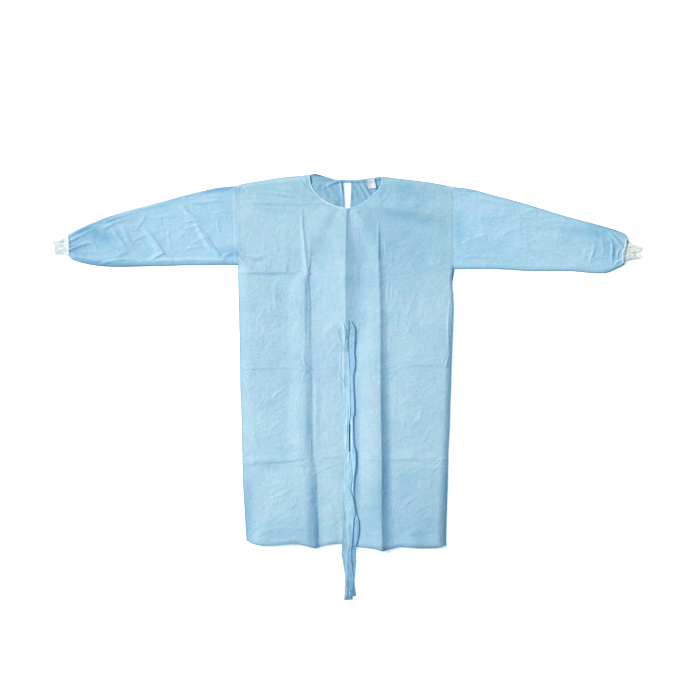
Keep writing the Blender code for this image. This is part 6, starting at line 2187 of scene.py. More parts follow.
def back_panel(name, node_name, side):
    count_low = 84
    rows = [-1.0, -0.985, -0.96]
    ys = spaced_rows(-480.0, 520.0, (-235.0, 57.0, 350.0), 8.4, 4.6)
    near_neck = np.linspace(0.0, 1.0, 61)[1:]
    lines_x, lines_y = [], []
    neck_share = 40

    def xs(y):
        outer, inner = float(back_side(y, side)), float(table(BACK_EDGES, y, side))
        turn = outer + (inner - outer) * 0.62
        first = outer + uneven(46, 0.25) * (turn - outer)
        second = turn + uneven(neck_share, 0.25) * (inner - turn)
        return np.concatenate([first, second, [inner]])

    for share in (0.0, 0.03, 0.12, 0.35, 0.65):
        x = xs(-480.0)
        y = (table(HEM, x, 1) + 3.0) * (1 - share) + (-480.0) * share
        lines_x.append(x), lines_y.append(y)
    for y in ys:
        lines_x.append(xs(y)), lines_y.append(np.full(len(lines_x[-1]), y))
    below = lines_x[-1]
    outer, inner = float(table(SIDES, 640.0, side)), float(table(BACK_EDGES, 645.0, side))
    corner = -116.4 if side == 1 else 109.8
    line = np.linspace(outer, inner, 700)
    path = np.concatenate([[0], np.cumsum(np.hypot(np.diff(line), np.diff(top_y(line, NECK_BACK))))])
    turn = np.interp(corner, line, path) if outer < inner else np.interp(-corner, -line, path)
    wanted = np.concatenate([uneven(46, 0.2) * turn, turn + uneven(neck_share, 0.2) * (path[-1] - turn), [path[-1]]])
    above = np.interp(wanted, path, line)
    top = top_y(above, NECK_BACK)
    for share in near_neck:
        x = below + (above - below) * ease(share * 0.5 + 0.5 * share ** 0.8) if False else below + (above - below) * share
        y = 520.0 + (top - 520.0) * share
        x[0], x[-1] = table(SIDES, y[0], side), table(BACK_EDGES, y[-1], side)
        lines_x.append(x), lines_y.append(y)
    x, y = np.array(lines_x), np.array(lines_y)
    step = 2
    x, y = (to_step(to_step(a, step, 0), step, 1) for a in (x, y))
    z = back_height(x, y)
    # a narrow turned hem along the centre-back edge
    inset = np.abs(x - table(BACK_EDGES, y, side))
    z += 0.28 * ease((9.0 - inset) / 1.5) * ease((y - 300.0) / 60.0)
    flip = side == 2
    top_face = np.stack([x, y, z], -1)
    under = np.maximum(lowest_near(z, step)[::step, ::step] - CLOTH, 0.02)
    flat = ease((0.75 - z[::step, ::step]) / 0.15)
    low_face = np.stack([x[::step, ::step], y[::step, ::step], under], -1)
    # painted shade on the back panels' outer edges, where they show past the front
    painted_shade_and_tone = painted_shade_and_tone_at(x, y) * 0.4 - 0.9 * ease((np.abs(x) - 322.0) / 6.0)
    made = shell(name, top_face, low_face, step, INSIDE_SHADED_LOOK, painted_shade_and_tone, flip=flip)
    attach(made, "root")
    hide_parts(node_name)
    return made


back_left = back_panel("back_cloth_left", "back_panel_left", 1)
back_right = back_panel("back_cloth_right", "back_panel_right", 2)


# ---------------------------------------------------------------- sleeves and cuffs
def section_at(sections, share):
    """The ends of each section at shares of the tube's length, smoothly."""
    place = [i / (len(sections) - 1) for i in range(len(sections))]
    return [table([(p, row[c]) for p, row in zip(place, sections)], share, 1) for c in range(4)]


def sleeve(name, node_name, sections, stations, across, under_count):
    left = sections[-1][0] < 0
    share = np.linspace(0.0, 1.0, stations)
    x1, y1, x0, y0 = section_at(sections, share)
    t = np.arange(across + 1) / across
    t = t + 0.10 * np.sin(2 * math.pi * t) / (-2 * math.pi) * 2.0
    t = np.clip(t, 0, 1)
    x = x0[:, None] + (x1 - x0)[:, None] * t
    y = y0[:, None] + (y1 - y0)[:, None] * t
    z = cloth_height(x, y)
    # both edges are rounded folds, a little above the ground
    length = np.hypot(x1 - x0, y1 - y0)[:, None]
    edge = np.minimum(t, 1 - t) * length
    fold = 0.75 + 0.15 * noise(x, y, 30, 30, 71)
    z = fold + (z - fold) * (1 - (1 - np.clip(edge / 3.0, 0, 1)) ** 2.5)
    # gathers where the cuff is sewn on
    end = (1 - share)[:, None] * 530.0
    gather = ease((26.0 - end) / 24.0)
    pleats = np.sin(t * length * 2 * math.pi / 7.6 + 2.2 * noise(x, y, 16, 9, 72)) * 0.5 + 0.5 * noise(x, y, 30, 4.6, 73)
    z += 0.65 * gather * pleats * np.clip(edge / 4.0, 0, 1)
    z = np.maximum(z, 1.25 * np.clip(edge / 2.5, 0, 1) + 0.75 * (1 - np.clip(edge / 2.5, 0, 1)))
    # the lower layer, flat on the ground
    s = np.arange(1, under_count) / under_count
    s = 1 - (s + 0.12 * np.sin(2 * math.pi * s) / (-2 * math.pi) * 2.0)
    ux = x0[:, None] + (x1 - x0)[:, None] * s
    uy = y0[:, None] + (y1 - y0)[:, None] * s
    uedge = np.minimum(s, 1 - s) * length
    lifted = np.clip(creases(FOLDS, ux, uy, 0.25), 0.0, 0.35) * ease(uedge / 25.0)
    uz = 0.55 * (1 - np.clip(uedge / 2.2, 0, 1)) ** 2 + lifted
    ring = np.concatenate([np.stack([x, y, z], -1), np.stack([ux, uy, uz], -1)], 1)
    step = 2
    assert ring.shape[1] % step == 0 and (ring.shape[0] - 1) % step == 0
    # the inner face: the same ring drawn in by the cloth's thickness
    inner = ring[::step, ::step].copy()
    low = lowest_near(z, step)[::step, ::step]
    count = low.shape[1]
    inner[:, :count, 2] = np.maximum(low - CLOTH, 0.72)
    inner[:, count:, 2] = lowest_near(-uz, step)[::step, (step - (across + 1) % step) % step::step][:, : inner.shape[1] - count] * -1 + CLOTH * 0.6
    middle = np.stack([(x0 + x1) / 2, (y0 + y1) / 2], -1)[::step, None, :]
    toward = middle - inner[:, :, :2]
    size = np.linalg.norm(toward, axis=-1, keepdims=True)
    inner[:, :, :2] += toward / np.maximum(size, 1e-6) * np.minimum(1.4, size * 0.3)
    upper_part = np.arange(inner.shape[1]) < count
    inner[:, 0, 2] = inner[:, count - 1, 2] = 0.78
    painted_shade_and_tone = np.concatenate([painted_shade_and_tone_at(x, y), painted_shade_and_tone_at(ux, uy)], 1)
    made = shell(name, ring, inner, step, SLEEVE_LIT_LOOK if left else SLEEVE_RIGHT_LIT_LOOK, painted_shade_and_tone, around=True, flip=left)
    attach(made, "root")
    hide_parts(node_name)
    return made


sleeve_left = sleeve("sleeve_cloth_left", "sleeve_left", SLEEVE_LEFT, 241, 109, 37)
sleeve_right = sleeve("sleeve_cloth_right", "sleeve_right", SLEEVE_RIGHT, 249, 109, 37)

# ---------------------------------------------------------------- what lies on what
def tree_of(*objects):
    """Ray casting against finished pieces."""
    trees = []
    for piece in objects:
        bm = bmesh.new()
        bm.from_mesh(piece.data)
        trees.append(BVHTree.FromBMesh(bm))
        bm.free()
    return trees


def top_at(trees, x, y, missing=0.0):
    """Height in millimetres of the topmost surface at each point."""
    shape = np.shape(x)
    out = np.full(np.size(x), missing, float)
    down = Vector((0.0, 0.0, -1.0))
    for i, (px, py) in enumerate(zip(np.ravel(x), np.ravel(y))):
        for tree in trees:
            hit = tree.ray_cast(Vector((px * MM, py * MM, 0.5)), down)[0]
            if hit is not None:
                out[i] = max(out[i], hit.z / MM)
    return out.reshape(shape)


def highest_near(z, across, along):
    out = z
    for axis, reach in ((0, along), (1, across)):
        grown = out.copy()
        for shift in range(1, reach + 1):
            for sign in (1, -1):
                moved = np.roll(out, sign * shift, axis)
                edge = [slice(None)] * 2
                edge[axis] = slice(0, shift) if sign > 0 else slice(-shift, None)
                moved[tuple(edge)] = out[tuple(edge)]
                grown = np.maximum(grown, moved)
        out = grown
    return out


def bridged(z, step, slope):
    """Raises a surface along its rows so that it never falls faster than slope."""
    out = z.copy()
    for i in range(1, len(out)):
        out[i] = np.maximum(out[i], out[i - 1] - slope * step)
    for i in range(len(out) - 2, -1, -1):
        out[i] = np.maximum(out[i], out[i + 1] - slope * step)
    return out


def sampled(grid, x0, dx, y0, dy, x, y):
    """Bilinear reading of a regular grid with rows along y."""
    u = np.clip((x - x0) / dx, 0, grid.shape[1] - 1.001)
    v = np.clip((y - y0) / dy, 0, grid.shape[0] - 1.001)
    i, j = v.astype(int), u.astype(int)
    a, b = v - i, u - j
    return (
        grid[i, j] * (1 - a) * (1 - b) + grid[i + 1, j] * a * (1 - b)
        + grid[i, j + 1] * (1 - a) * b + grid[i + 1, j + 1] * a * b
    )


def ring_body(name, rings, look, painted_shade_and_tone=None, flip=False, smooth_angle=50.0):
    """A closed body from rings of points, capped at both ends."""
    m, n = rings.shape[:2]
    points = np.vstack([rings.reshape(-1, 3), rings[0].mean(0), rings[-1].mean(0)])
    quads = fine_grid_faces(m, n, 0, True, flip)
    j = np.arange(n)
    k = (j + 1) % n
    first = np.stack([np.full(n, m * n), k, j], -1)
    last = np.stack([np.full(n, m * n + 1), (m - 1) * n + j, (m - 1) * n + k], -1)
    caps = np.vstack([first, last])
    if flip:
        caps = caps[:, ::-1]
    if painted_shade_and_tone is not None:
        painted_shade_and_tone = np.concatenate([painted_shade_and_tone.ravel(), [painted_shade_and_tone[0].mean(), painted_shade_and_tone[-1].mean()]])
    return mesh_piece(name, points, quads, caps, look, painted_shade_and_tone, smooth_angle)


def thread_run(name, spots, look, length=2.3, width=0.42, height=0.34):
    """Many small stitches as one mesh. Each spot: x, y, z of its middle, its
    direction in the plane, and the rise of the surface along it."""
    shape = []
    around = 6
    for t, size in ((-0.72, 0.62), (0.0, 1.0), (0.72, 0.62)):
        for k in range(around):
            turn = 2 * math.pi * k / around
            shape.append((t * 0.5, math.cos(turn) * 0.5 * size, math.sin(turn) * 0.5 * size))
    shape = np.array([(-0.5, 0.0, -0.2), *shape, (0.5, 0.0, -0.2)])
    faces = []
    for k in range(around):
        j = (k + 1) % around
        faces.append((0, 1 + j, 1 + k))
        for ring in (1, 1 + around):
            faces.append((ring + k, ring + j, ring + around + j))
            faces.append((ring + k, ring + around + j, ring + around + k))
        faces.append((len(shape) - 1, 1 + 2 * around + k, 1 + 2 * around + j))
    faces = np.array(faces)
    points, triangles = [], []
    spots = np.asarray(spots, float)
    for i, (x, y, z, turn, rise, size) in enumerate(spots):
        body = shape * (length * size, width, height)
        along, over = body[:, 0], body[:, 1]
        c, s = math.cos(turn), math.sin(turn)
        points.append(np.stack([
            x + along * c - over * s, y + along * s + over * c,
            z + body[:, 2] + height * 0.22 + along * rise], -1))
        triangles.append(faces + i * len(shape))
    return mesh_piece(name, np.vstack(points), [], np.vstack(triangles), look, None, 0)


def along_path(path, spacing):
    """Even points and directions along a line of x and y."""
    path = np.asarray(path, float)
    run = np.concatenate([[0], np.cumsum(np.hypot(*np.diff(path, axis=0).T))])
    at = np.arange(spacing / 2, run[-1], spacing)
    x, y = np.interp(at, run, path[:, 0]), np.interp(at, run, path[:, 1])
    x1, y1 = np.interp(at + 0.8, run, path[:, 0]), np.interp(at + 0.8, run, path[:, 1])
    x0, y0 = np.interp(at - 0.8, run, path[:, 0]), np.interp(at - 0.8, run, path[:, 1])
    return x, y, np.arctan2(y1 - y0, x1 - x0)


def seam_spots(trees, path, spacing, seed, wander=0.12, sink=0.0):
    """Stitches lying on finished pieces along a path."""
    x, y, turn = along_path(path, spacing)
    loose = np.random.default_rng(seed)
    x = x + loose.uniform(-wander, wander, len(x))
    y = y + loose.uniform(-wander, wander, len(y))
    turn = turn + loose.uniform(-0.06, 0.06, len(x))
    reach = spacing * 0.36
    ahead = top_at(trees, x + reach * np.cos(turn), y + reach * np.sin(turn), -9)
    behind = top_at(trees, x - reach * np.cos(turn), y - reach * np.sin(turn), -9)
    middle = top_at(trees, x, y, -9)
    keep = (ahead > -5) & (behind > -5) & (middle > -5)
    z = np.maximum(middle, (ahead + behind) / 2) - sink
    rise = (ahead - behind) / (2 * reach)
    size = loose.uniform(0.9, 1.08, len(x))
    return np.stack([x, y, z, turn, rise, size], -1)[keep]


front_tree = tree_of(front)

# ---------------------------------------------------------------- cuffs
def cuff(name, node_name, sections, lips, stations):
    left = sections[-1][0] < 0
    outward = -1.0 if left else 1.0
    share = np.linspace(0.0, 1.0, stations)
    x1, y1, x0, y0 = section_at(sections, share)
    over, beneath = 121, 60
    t = np.arange(over) / (over - 1)
    reach = table(lips, t, 1)
    length = np.hypot(x1 - x0, y1 - y0)[:, None]

    def place(t, reach):
        pull = ease((share - 0.25) / 0.75)[:, None] * reach
        return (x0[:, None] + (x1 - x0)[:, None] * t + outward * pull, y0[:, None] + (y1 - y0)[:, None] * t)

    x, y = place(t, reach)
    edge = np.minimum(t, 1 - t) * length
    rib = np.cos(t * length.mean() * 2 * math.pi / 2.9)
    dome = 1 - (1 - np.clip(edge / 7.0, 0, 1)) ** 2.2
    gather = (1 - ease(share / 0.35))[:, None]
    z = 1.2 + dome * (1.5 + 0.7 * noise(x, y, 17, 12, 81) + 0.35 * noise(x, y, 30, 5, 82))
    z += (0.24 + 0.14 * gather) * rib * np.clip(edge / 1.5, 0, 1)
    z += gather * dome * (0.6 + 0.5 * noise(x * 0.5, y, 20, 3.4, 83))
    # the open end: lips flare a little, with a thick curled edge
    end = ease((share - 0.8) / 0.2)[:, None]
    z += end * dome * (0.25 + 0.6 * np.clip(reach / 10.0, 0, 1) + 0.4 * noise(x, y, 9, 6, 84))
    folds = 0.7 * np.exp(-((y - y0[:, None] - length * (0.70 if left else 0.42)) / 2.6) ** 2)
    z -= folds * ease((share - 0.1) / 0.5)[:, None]
    z = np.maximum(z, 1.15)
    s = np.arange(1, beneath + 1) / (beneath + 1)
    s = 1 - s
    reach_low = table(lips, s, 1) * 0.9
    ux, uy = place(s, reach_low)
    uedge = np.minimum(s, 1 - s) * length
    uz = 0.65 * (1 - np.clip(uedge / 2.4, 0, 1)) ** 2 + 0.08 * (1 + np.cos(s * length.mean() * 2 * math.pi / 2.9)) * np.clip(uedge / 2, 0, 1)
    ring = np.concatenate([np.stack([x, y, z], -1), np.stack([ux, uy, uz], -1)], 1)
    inner = ring.copy()
    middle_y = (y0 + y1)[:, None] / 2
    inner[:, :over, 2] = np.maximum(z - 0.75, 0.98)
    inner[:, over:, 2] = uz + 0.70
    inner[:, over:, 2] = np.minimum(inner[:, over:, 2], 0.92)
    inner[:, :, 1] += np.clip((middle_y - inner[:, :, 1]) / 6.0, -1, 1) * 1.0
    made = shell(name, ring, inner, 1, KNIT_LOOK if left else KNIT_RIGHT_SHADED_LOOK, None, around=True, flip=left)
    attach(made, "root")
    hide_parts(node_name)
    return made


cuff_left = cuff("cuff_knit_left", "cuff_left", CUFF_LEFT, LIPS_LEFT, 33)
cuff_right = cuff("cuff_knit_right", "cuff_right", CUFF_RIGHT, LIPS_RIGHT, 33)


def overlock(name, sleeve_piece, cuff_piece, line, inward, seed):
    """Overlock stitching over a sleeve's gathered end: slanting loops."""
    trees = tree_of(sleeve_piece, cuff_piece)
    loose = np.random.default_rng(seed)
    x, y, turn = along_path(line, 1.05)
    points, triangles = [], []
    around, steps = 6, 9
    faces = []
    for i in range(steps - 1):
        for k in range(around):
            j = (k + 1) % around
            faces.append((i * around + k, i * around + j, (i + 1) * around + j))
            faces.append((i * around + k, (i + 1) * around + j, (i + 1) * around + k))
    for k in range(1, around - 1):
        faces.append((0, k + 1, k))
        last = (steps - 1) * around
        faces.append((last, last + k, last + k + 1))
    faces = np.array(faces)
    for n, (px, py, way) in enumerate(zip(x, y, turn)):
        normal = np.array([-math.sin(way), math.cos(way)]) * inward
        along = np.array([math.cos(way), math.sin(way)])
        reach = 6.4 + loose.uniform(-0.7, 0.7)
        slant = loose.uniform(0.1, 0.7)
        at = np.linspace(-1.4, reach, steps)
        line_xy = np.array([px, py]) + np.outer(at, normal) + np.outer((at / reach) * slant, along)
        top = top_at(trees, line_xy[:, 0], line_xy[:, 1], -9.0)
        if top.min() < -5:
            top = np.where(top < -5, top[top > -5].min() if (top > -5).any() else 1.5, top)
        top = blurred(top[:, None], 1, (0,))[:, 0]
        bulge = 0.32 + 0.30 * np.sin(math.pi * np.linspace(0, 1, steps))
        centre = np.column_stack([line_xy, top + bulge])
        radius = 0.34
        ring = []
        for c in centre:
            for k in range(around):
                a = 2 * math.pi * k / around
                ring.append(c + np.array([*(along * math.cos(a) * radius), math.sin(a) * radius]))
        points.append(np.array(ring))
        turned = faces if inward < 0 else faces[:, ::-1]
        triangles.append(turned + n * len(ring))
    return mesh_piece(name, np.vstack(points), [], np.vstack(triangles), OVERLOCK_LOOK, None, 0)


left_end = [(SLEEVE_LEFT[-1][0], 471.0), (-870.2, 455.0), (-869.6, 432.0), (SLEEVE_LEFT[-1][2], 411.4)]
right_end = [(874.8, 462.0), (874.6, 452.0), (872.6, 438.0), (866.4, 420.0), (864.8, 404.0), (866.0, 384.0)]
for made in (
    overlock("overlock_left", sleeve_left, cuff_left, left_end[::-1], -1.0, 301),
    overlock("overlock_right", sleeve_right, cuff_right, right_end[::-1], 1.0, 302),
):
    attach(made, "root")

# ---------------------------------------------------------------- neck bindings and label
def beside(path, distance):
    path = np.asarray(path, float)
    way = np.gradient(path, axis=0)
    way /= np.linalg.norm(way, axis=1, keepdims=True)
    return path + np.stack([-way[:, 1], way[:, 0]], -1) * distance


def even_path(rows, spacing):
    fine = smooth_path([(x, y, 0.0) for x, y in rows], 2.0)[:, :2]
    run = np.concatenate([[0], np.cumsum(np.hypot(*np.diff(fine, axis=0).T))])
    at = np.linspace(0, run[-1], max(2, int(run[-1] / spacing) + 1))
    return np.stack([np.interp(at, run, fine[:, 0]), np.interp(at, run, fine[:, 1])], -1), at


def front_binding():
    """A tape turned over the neck edge of the front, in a flattened C."""
    path, run = even_path(NECK_FRONT, 1.5)
    way = np.gradient(path, axis=0)
    way /= np.linalg.norm(way, axis=1, keepdims=True)
    out = np.stack([way[:, 1], -way[:, 0]], -1)          # away from the opening
    inside = path + out * 4.0
    rest = top_at(front_tree, inside[:, 0], inside[:, 1], 1.6)
    rest = blurred(highest_near(rest[:, None], 0, 2), 3, (0,))[:, 0]
    wave = noise(run, run * 0 + 3.0, 9.0, 9.0, 91)
    pucker = 0.10 * np.sin(run * 2 * math.pi / 4.7 + 2 * wave)
    left_part = ease((-path[:, 0] + 14.0) / 40.0)
    wide = 4.5 + 1.3 * left_part + 0.35 * wave + pucker
    high = 0.40 + 0.12 * noise(run, run * 0, 13.0, 9.0, 92) + 0.6 * pucker
    angles = np.linspace(0.0, 1.0, 15)
    climb = 0.55 * ease((-path[:, 0] - 4.0) / 40.0)
    outer, inner = [], []
    for grow, into in ((0.0, outer), (0.42, inner)):
        for a in angles:
            # from the lower edge under the cloth, round the neck edge, to the upper edge on it
            turn = math.pi * (a * 2 - 1) * 0.5
            flat = math.cos(turn)
            rise = math.sin(turn)
            back = np.where(np.abs(rise) > 0.999, 1.0, 1 - flat ** 0.75)
            distance = -0.7 + grow + back * (wide - grow * 1.4)
            z_top = rest + high - grow * 0.9 + climb * np.clip(1.0 - distance / wide, 0.0, 1.0)
            z_low = np.maximum(rest - 1.15 + grow * 0.9, 0.75 + grow)
            level = 0.5 + 0.5 * np.sign(rise) * abs(rise) ** 0.45
            z = z_low + (z_top - z_low) * level
            z = z - (0.28 * (a ** 6) if grow == 0 else 0.0)
            into.append(np.column_stack([path + out * distance[:, None], z]))
    outer, inner = np.array(outer).transpose(1, 0, 2), np.array(inner).transpose(1, 0, 2)
    # painted light on the tape's left part, and slight painted shade on the rest
    made = shell("neck_tape_front", outer, inner, 1, BIND_LOOK, painted_shade_and_tone_at(outer[..., 0], outer[..., 1]) * 0.3 + (-0.2 + 0.9 * left_part)[:, None], flip=True)
    return made, path, out


neck_tape, neck_path, neck_out = front_binding()
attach(neck_tape, "root")
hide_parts("neck_binding_front")

back_tree = tree_of(back_left, back_right)


def back_binding():
    """A strip along the back neck edge, carried across the opening between the panels."""
    rows = [row for row in NECK_BACK if -110.0 < row[0] < 108.0]
    rows = [(-112.6, 661.4), *rows[0:], (107.6, 655.6)]
    path, run = even_path(rows, 1.5)
    way = np.gradient(path, axis=0)
    way /= np.linalg.norm(way, axis=1, keepdims=True)
    down = np.stack([way[:, 1], -way[:, 0]], -1)
    probe = path + down * 4.5
    base = top_at(back_tree, probe[:, 0], probe[:, 1], 0.0)
    gap = (probe[:, 0] > -13.0) & (probe[:, 0] < 16.0)
    base[gap] = np.interp(run[gap], run[~gap], base[~gap])
    base = blurred(highest_near(base[:, None], 0, 2), 6, (0,))[:, 0]
    across = np.linspace(0.0, 1.0, 13)
    wide = 9.0 + 0.5 * noise(run, run * 0, 30, 9, 95)
    face, under = [], []
    roll = np.exp(-((path[:, 0] + 92.0) / 20.0) ** 2)
    for a in across:
        point = path + down * (a * wide)[:, None]
        hit = top_at(back_tree, point[:, 0], point[:, 1], 0.0)
        lie = np.where((point[:, 0] > -13.0) & (point[:, 0] < 16.0), base, np.maximum(hit, base - 0.6))
        z = lie + 0.75 + 0.35 * math.sin(math.pi * a) + 0.2 * noise(run, run * 0 + a * 9, 12, 9, 96)
        z += roll * 2.2 * (1 - a) ** 1.5
        z -= 0.25 * math.exp(-((a - 0.86) / 0.07) ** 2)
        z = blurred(z[:, None], 2, (0,))[:, 0]
        face.append(np.column_stack([point, z]))
        under.append(np.column_stack([point, z - 0.45]))
    face, under = np.array(face).transpose(1, 0, 2), np.array(under).transpose(1, 0, 2)
    # painted shade along the whole strip, and a dark patch of painted shade near the left shoulder where the rolled
    # edge's underside lies in shade
    painted_shade_and_tone = -0.25 - 1.8 * np.exp(-((face[..., 0] + 93.0) / 16.0) ** 2) * np.clip(1.3 - across * 1.6, 0, 1)
    made = shell("neck_tape_back", face, under, 1, INSIDE_SHADED_LOOK, painted_shade_and_tone)
    return made, face


neck_tape_back, back_face = back_binding()
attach(neck_tape_back, "root")
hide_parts("neck_binding_back")


def label_tag():
    rows, columns = 31, 23
    t = np.linspace(0, 1, rows)
    u = np.linspace(0, 1, columns)
    shares = [row[0] for row in LABEL]
    corner = [np.interp(t, shares, [row[k] for row in LABEL]) for k in range(1, 5)]
    x = corner[0][:, None] + (corner[2] - corner[0])[:, None] * u
    y = corner[1][:, None] + (corner[3] - corner[1])[:, None] * u
    rest = top_at(tree_of(neck_tape_back, back_left, back_right), x, y, 1.0)
    rest = blurred(highest_near(rest, 3, 3), 4)
    lift = 0.35 + 2.3 * ease((u - 0.35) / 0.65)[None, :] * (0.35 + 0.65 * t[:, None])
    lift += 1.5 * ease((t - 0.45) / 0.55)[:, None] * (0.45 + 0.55 * u[None, :])
    lift += 0.22 * np.sin(u * 5.0 + 1.0)[None, :] * t[:, None]
    z = rest + lift
    face = np.stack([x, y, z], -1)[::-1]
    under = face.copy()
    under[..., 2] -= 0.32
    made = shell("size_label", face, under, 1, LABEL_LOOK)
    return made, face[::-1]


label_piece, label_face = label_tag()
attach(label_piece, "root")
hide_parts("label")

# ---------------------------------------------------------------- waist tie
GX, GY, DX, DY = -44.0, -684.0, 1.5, 1.6
grid_x = GX + DX * np.arange(66)
grid_y = GY + DY * np.arange(564)
field_x, field_y = np.meshgrid(grid_x, grid_y)
under_tie = top_at(front_tree, field_x, field_y, 0.0)
tie_ground = blurred(highest_near(under_tie, 2, 2), 2)
tie_ground = blurred(bridged(tie_ground, DY, 0.22), 3, (0,))


def tie_column(y, column):
    return table(TIE, y, column)


def rounded(x, low, high, reach):
    near = np.minimum(x - low, high - x)
    return (1 - np.clip(near / reach, 0, 1)) ** 2.2


def lower_top(x, y):
    """Upper face of the lower tail: flat beneath the other, then rising in a roll."""
    start, end = tie_column(y, 2) + 1.6, tie_column(y, 4)
    rise = tie_column(y, 6) * np.clip((x - start) / np.maximum(end - 2.0 - start, 2.0), 0, 1) ** 0.85
    own = creases(LOWER_FOLDS, x, y)
    small = 0.16 * noise(x, y, 5.0, 11.0, 111) + 0.10 * noise(x, y, 2.6, 5.0, 112)
    return sampled(tie_ground, GX, DX, GY, DY, x, y) + 0.95 + rise + own + small


lower_field = np.where(
    (field_x > tie_column(field_y, 3)) & (field_x < tie_column(field_y, 4))
    & (field_y > TIE[-1][0] + 11.0) & (field_y < TIE[0][0]),
    lower_top(field_x, field_y), 0.0,
)
tie_stack = blurred(np.maximum(tie_ground, highest_near(lower_field, 0, 1)), 1)


def upper_top(x, y):
    left, right = tie_column(y, 1), tie_column(y, 2)
    share = np.clip((x - left) / np.maximum(right - left, 2.0), 0, 1)
    rise = tie_column(y, 5) * share ** 1.7
    own = creases(UPPER_FOLDS, x, y)
    small = 0.16 * noise(x, y, 6.0, 12.0, 113) + 0.10 * noise(x, y, 2.8, 5.0, 114)
    return sampled(tie_stack, GX, DX, GY, DY, x, y) + 0.62 + rise + own + small


def tail(name, low_end, high_end, left_column, right_column, rest, top_of, over, end_shift):
    y = np.linspace(low_end, high_end, int((high_end - low_end) / 1.55))[::-1]
    left, right = tie_column(y, left_column), tie_column(y, right_column)
    u = np.linspace(0, 1, over)
    x = left[:, None] + (right - left)[:, None] * u
    slant = end_shift * ease((low_end + 14.0 - y) / 14.0)[:, None] * (u - 0.5)
    yy = np.repeat(y[:, None], over, 1) + slant
    z = top_of(x, yy)
    floor_z = sampled(rest, GX, DX, GY, DY, x, yy) + 0.10
    z = np.maximum(z, floor_z + 0.55)
    z = z - 0.22 * rounded(x, left[:, None], right[:, None], 0.9)
    # ends thin out to the cloth's own thickness
    walls = 6
    rings = [np.stack([x, yy, z], -1)]
    w = (np.arange(1, walls + 1) / (walls + 1))
    low_right, low_left = floor_z[:, -1:], floor_z[:, :1]
    zr = z[:, -1:] + (low_right - z[:, -1:]) * w
    bulge = np.minimum(0.9, (z[:, -1:] - low_right) * 0.35) * np.sin(math.pi * w)
    curl = np.minimum(1.2, (z[:, -1:] - low_right) * 0.3) * w ** 2
    rings.append(np.stack([x[:, -1:] + bulge - curl, np.repeat(yy[:, -1:], walls, 1), zr], -1))
    lower = np.arange(1, over // 2 + 1) / (over // 2 + 1)
    lx = (right[:, None] - 1.2) + ((left - right)[:, None] + 2.2) * lower
    ly = np.repeat(y[:, None], len(lower), 1) + end_shift * ease((low_end + 14.0 - y) / 14.0)[:, None] * (0.5 - lower)
    rings.append(np.stack([lx, ly, sampled(rest, GX, DX, GY, DY, lx, ly) + 0.08], -1))
    zl = low_left + (z[:, :1] - low_left) * w
    rings.append(np.stack([x[:, :1] - 0.35 * np.sin(math.pi * w), np.repeat(yy[:, :1], walls, 1), zl], -1))
    ring = np.concatenate(rings, 1)
    fall = ease((-478.0 - ring[..., 1]) / 90.0)
    # painted shade over the whole tie, with lighter and darker bands along each tail, darker still where it falls past
    # the hem and at its end, and random tone
    painted_shade_and_tone = -0.42 - 0.45 * fall - 0.35 * ease((-600.0 - ring[..., 1]) / 10.0) + 0.25 * noise(ring[..., 0], ring[..., 1], 9, 30, 115)
    # painted shade: a dark line along each tail's left edge
    painted_shade_and_tone = painted_shade_and_tone - 0.6 * np.exp(-((ring[..., 0] - left[:, None]) / 1.1) ** 2)
    painted_shade_and_tone = painted_shade_and_tone + 0.12 * ease((ring[..., 1] + 70.0) / 50.0)
    if over == 28:
        # painted shade: the slit between the tails is painted almost black
        slit = ease((ring[..., 1] + 206.0) / 6.0) * ease((-112.0 - ring[..., 1]) / 10.0)
        painted_shade_and_tone = painted_shade_and_tone - 2.2 * slit * np.exp(-((ring[..., 0] - 8.4) / 3.2) ** 4)
        painted_shade_and_tone = painted_shade_and_tone + 0.16 * ease((ring[..., 1] - 108.0) / 16.0)
        # painted light on the lower tail's rolled right part
        painted_shade_and_tone = painted_shade_and_tone + 1.0 * ease((ring[..., 0] - 10.5) / 3.0) * np.exp(-((ring[..., 1] + 146.0) / 44.0) ** 4)
        # painted shade on the lower tail's lower end and where the upper tail lies over it
        painted_shade_and_tone = painted_shade_and_tone - 0.4 * ease((-396.0 - ring[..., 1]) / 20.0) - 0.28 * ease((ring[..., 1] + 212.0) / 16.0) * ease((150.0 - ring[..., 1]) / 30.0)
    else:
        # painted light on the upper tail's left lobe
        painted_shade_and_tone = painted_shade_and_tone + 0.4 * np.exp(-((ring[..., 0] + 20.0) / 8.0) ** 2 - ((ring[..., 1] - 50.0) / 45.0) ** 2)
        # painted highlight on the lens rim
        painted_shade_and_tone = painted_shade_and_tone + 0.45 * np.exp(-((ring[..., 0] - 20.0) / 6.0) ** 2 - ((ring[..., 1] + 250.0) / 34.0) ** 2)
        painted_shade_and_tone = painted_shade_and_tone + 0.4 * ease((ring[..., 1] - 28.0) / 16.0) * ease((112.0 - ring[..., 1]) / 14.0)
        painted_shade_and_tone = painted_shade_and_tone - 0.18 * np.exp(-((ring[..., 1] + 134.0) / 34.0) ** 2) - 0.28 * np.exp(-((ring[..., 1] + 336.0) / 40.0) ** 2)
        # painted light along the upper tail's right edge, lightening the shadow at its foot
        lit_edge_rows = ease((ring[..., 1] + 84.0) / 16.0) * ease((106.0 - ring[..., 1]) / 14.0)
        painted_shade_and_tone = painted_shade_and_tone + 0.8 * lit_edge_rows * np.exp(-((ring[..., 0] - right[:, None]) / 1.7) ** 2)
    made = ring_body(name, ring, STRIP_UNDER_LOOK if over == 28 else STRIP_SHADED_LOOK, painted_shade_and_tone, flip=False)
    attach(made, "root")
    return made


tie_low = tail("waist_tie_lower", -652.0, 205.6, 3, 4, tie_ground, lower_top, 28, -2.0)
tie_high = tail("waist_tie_upper", -664.6, 207.6, 1, 2, tie_stack, upper_top, 30, 3.2)
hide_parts("waist_tie")

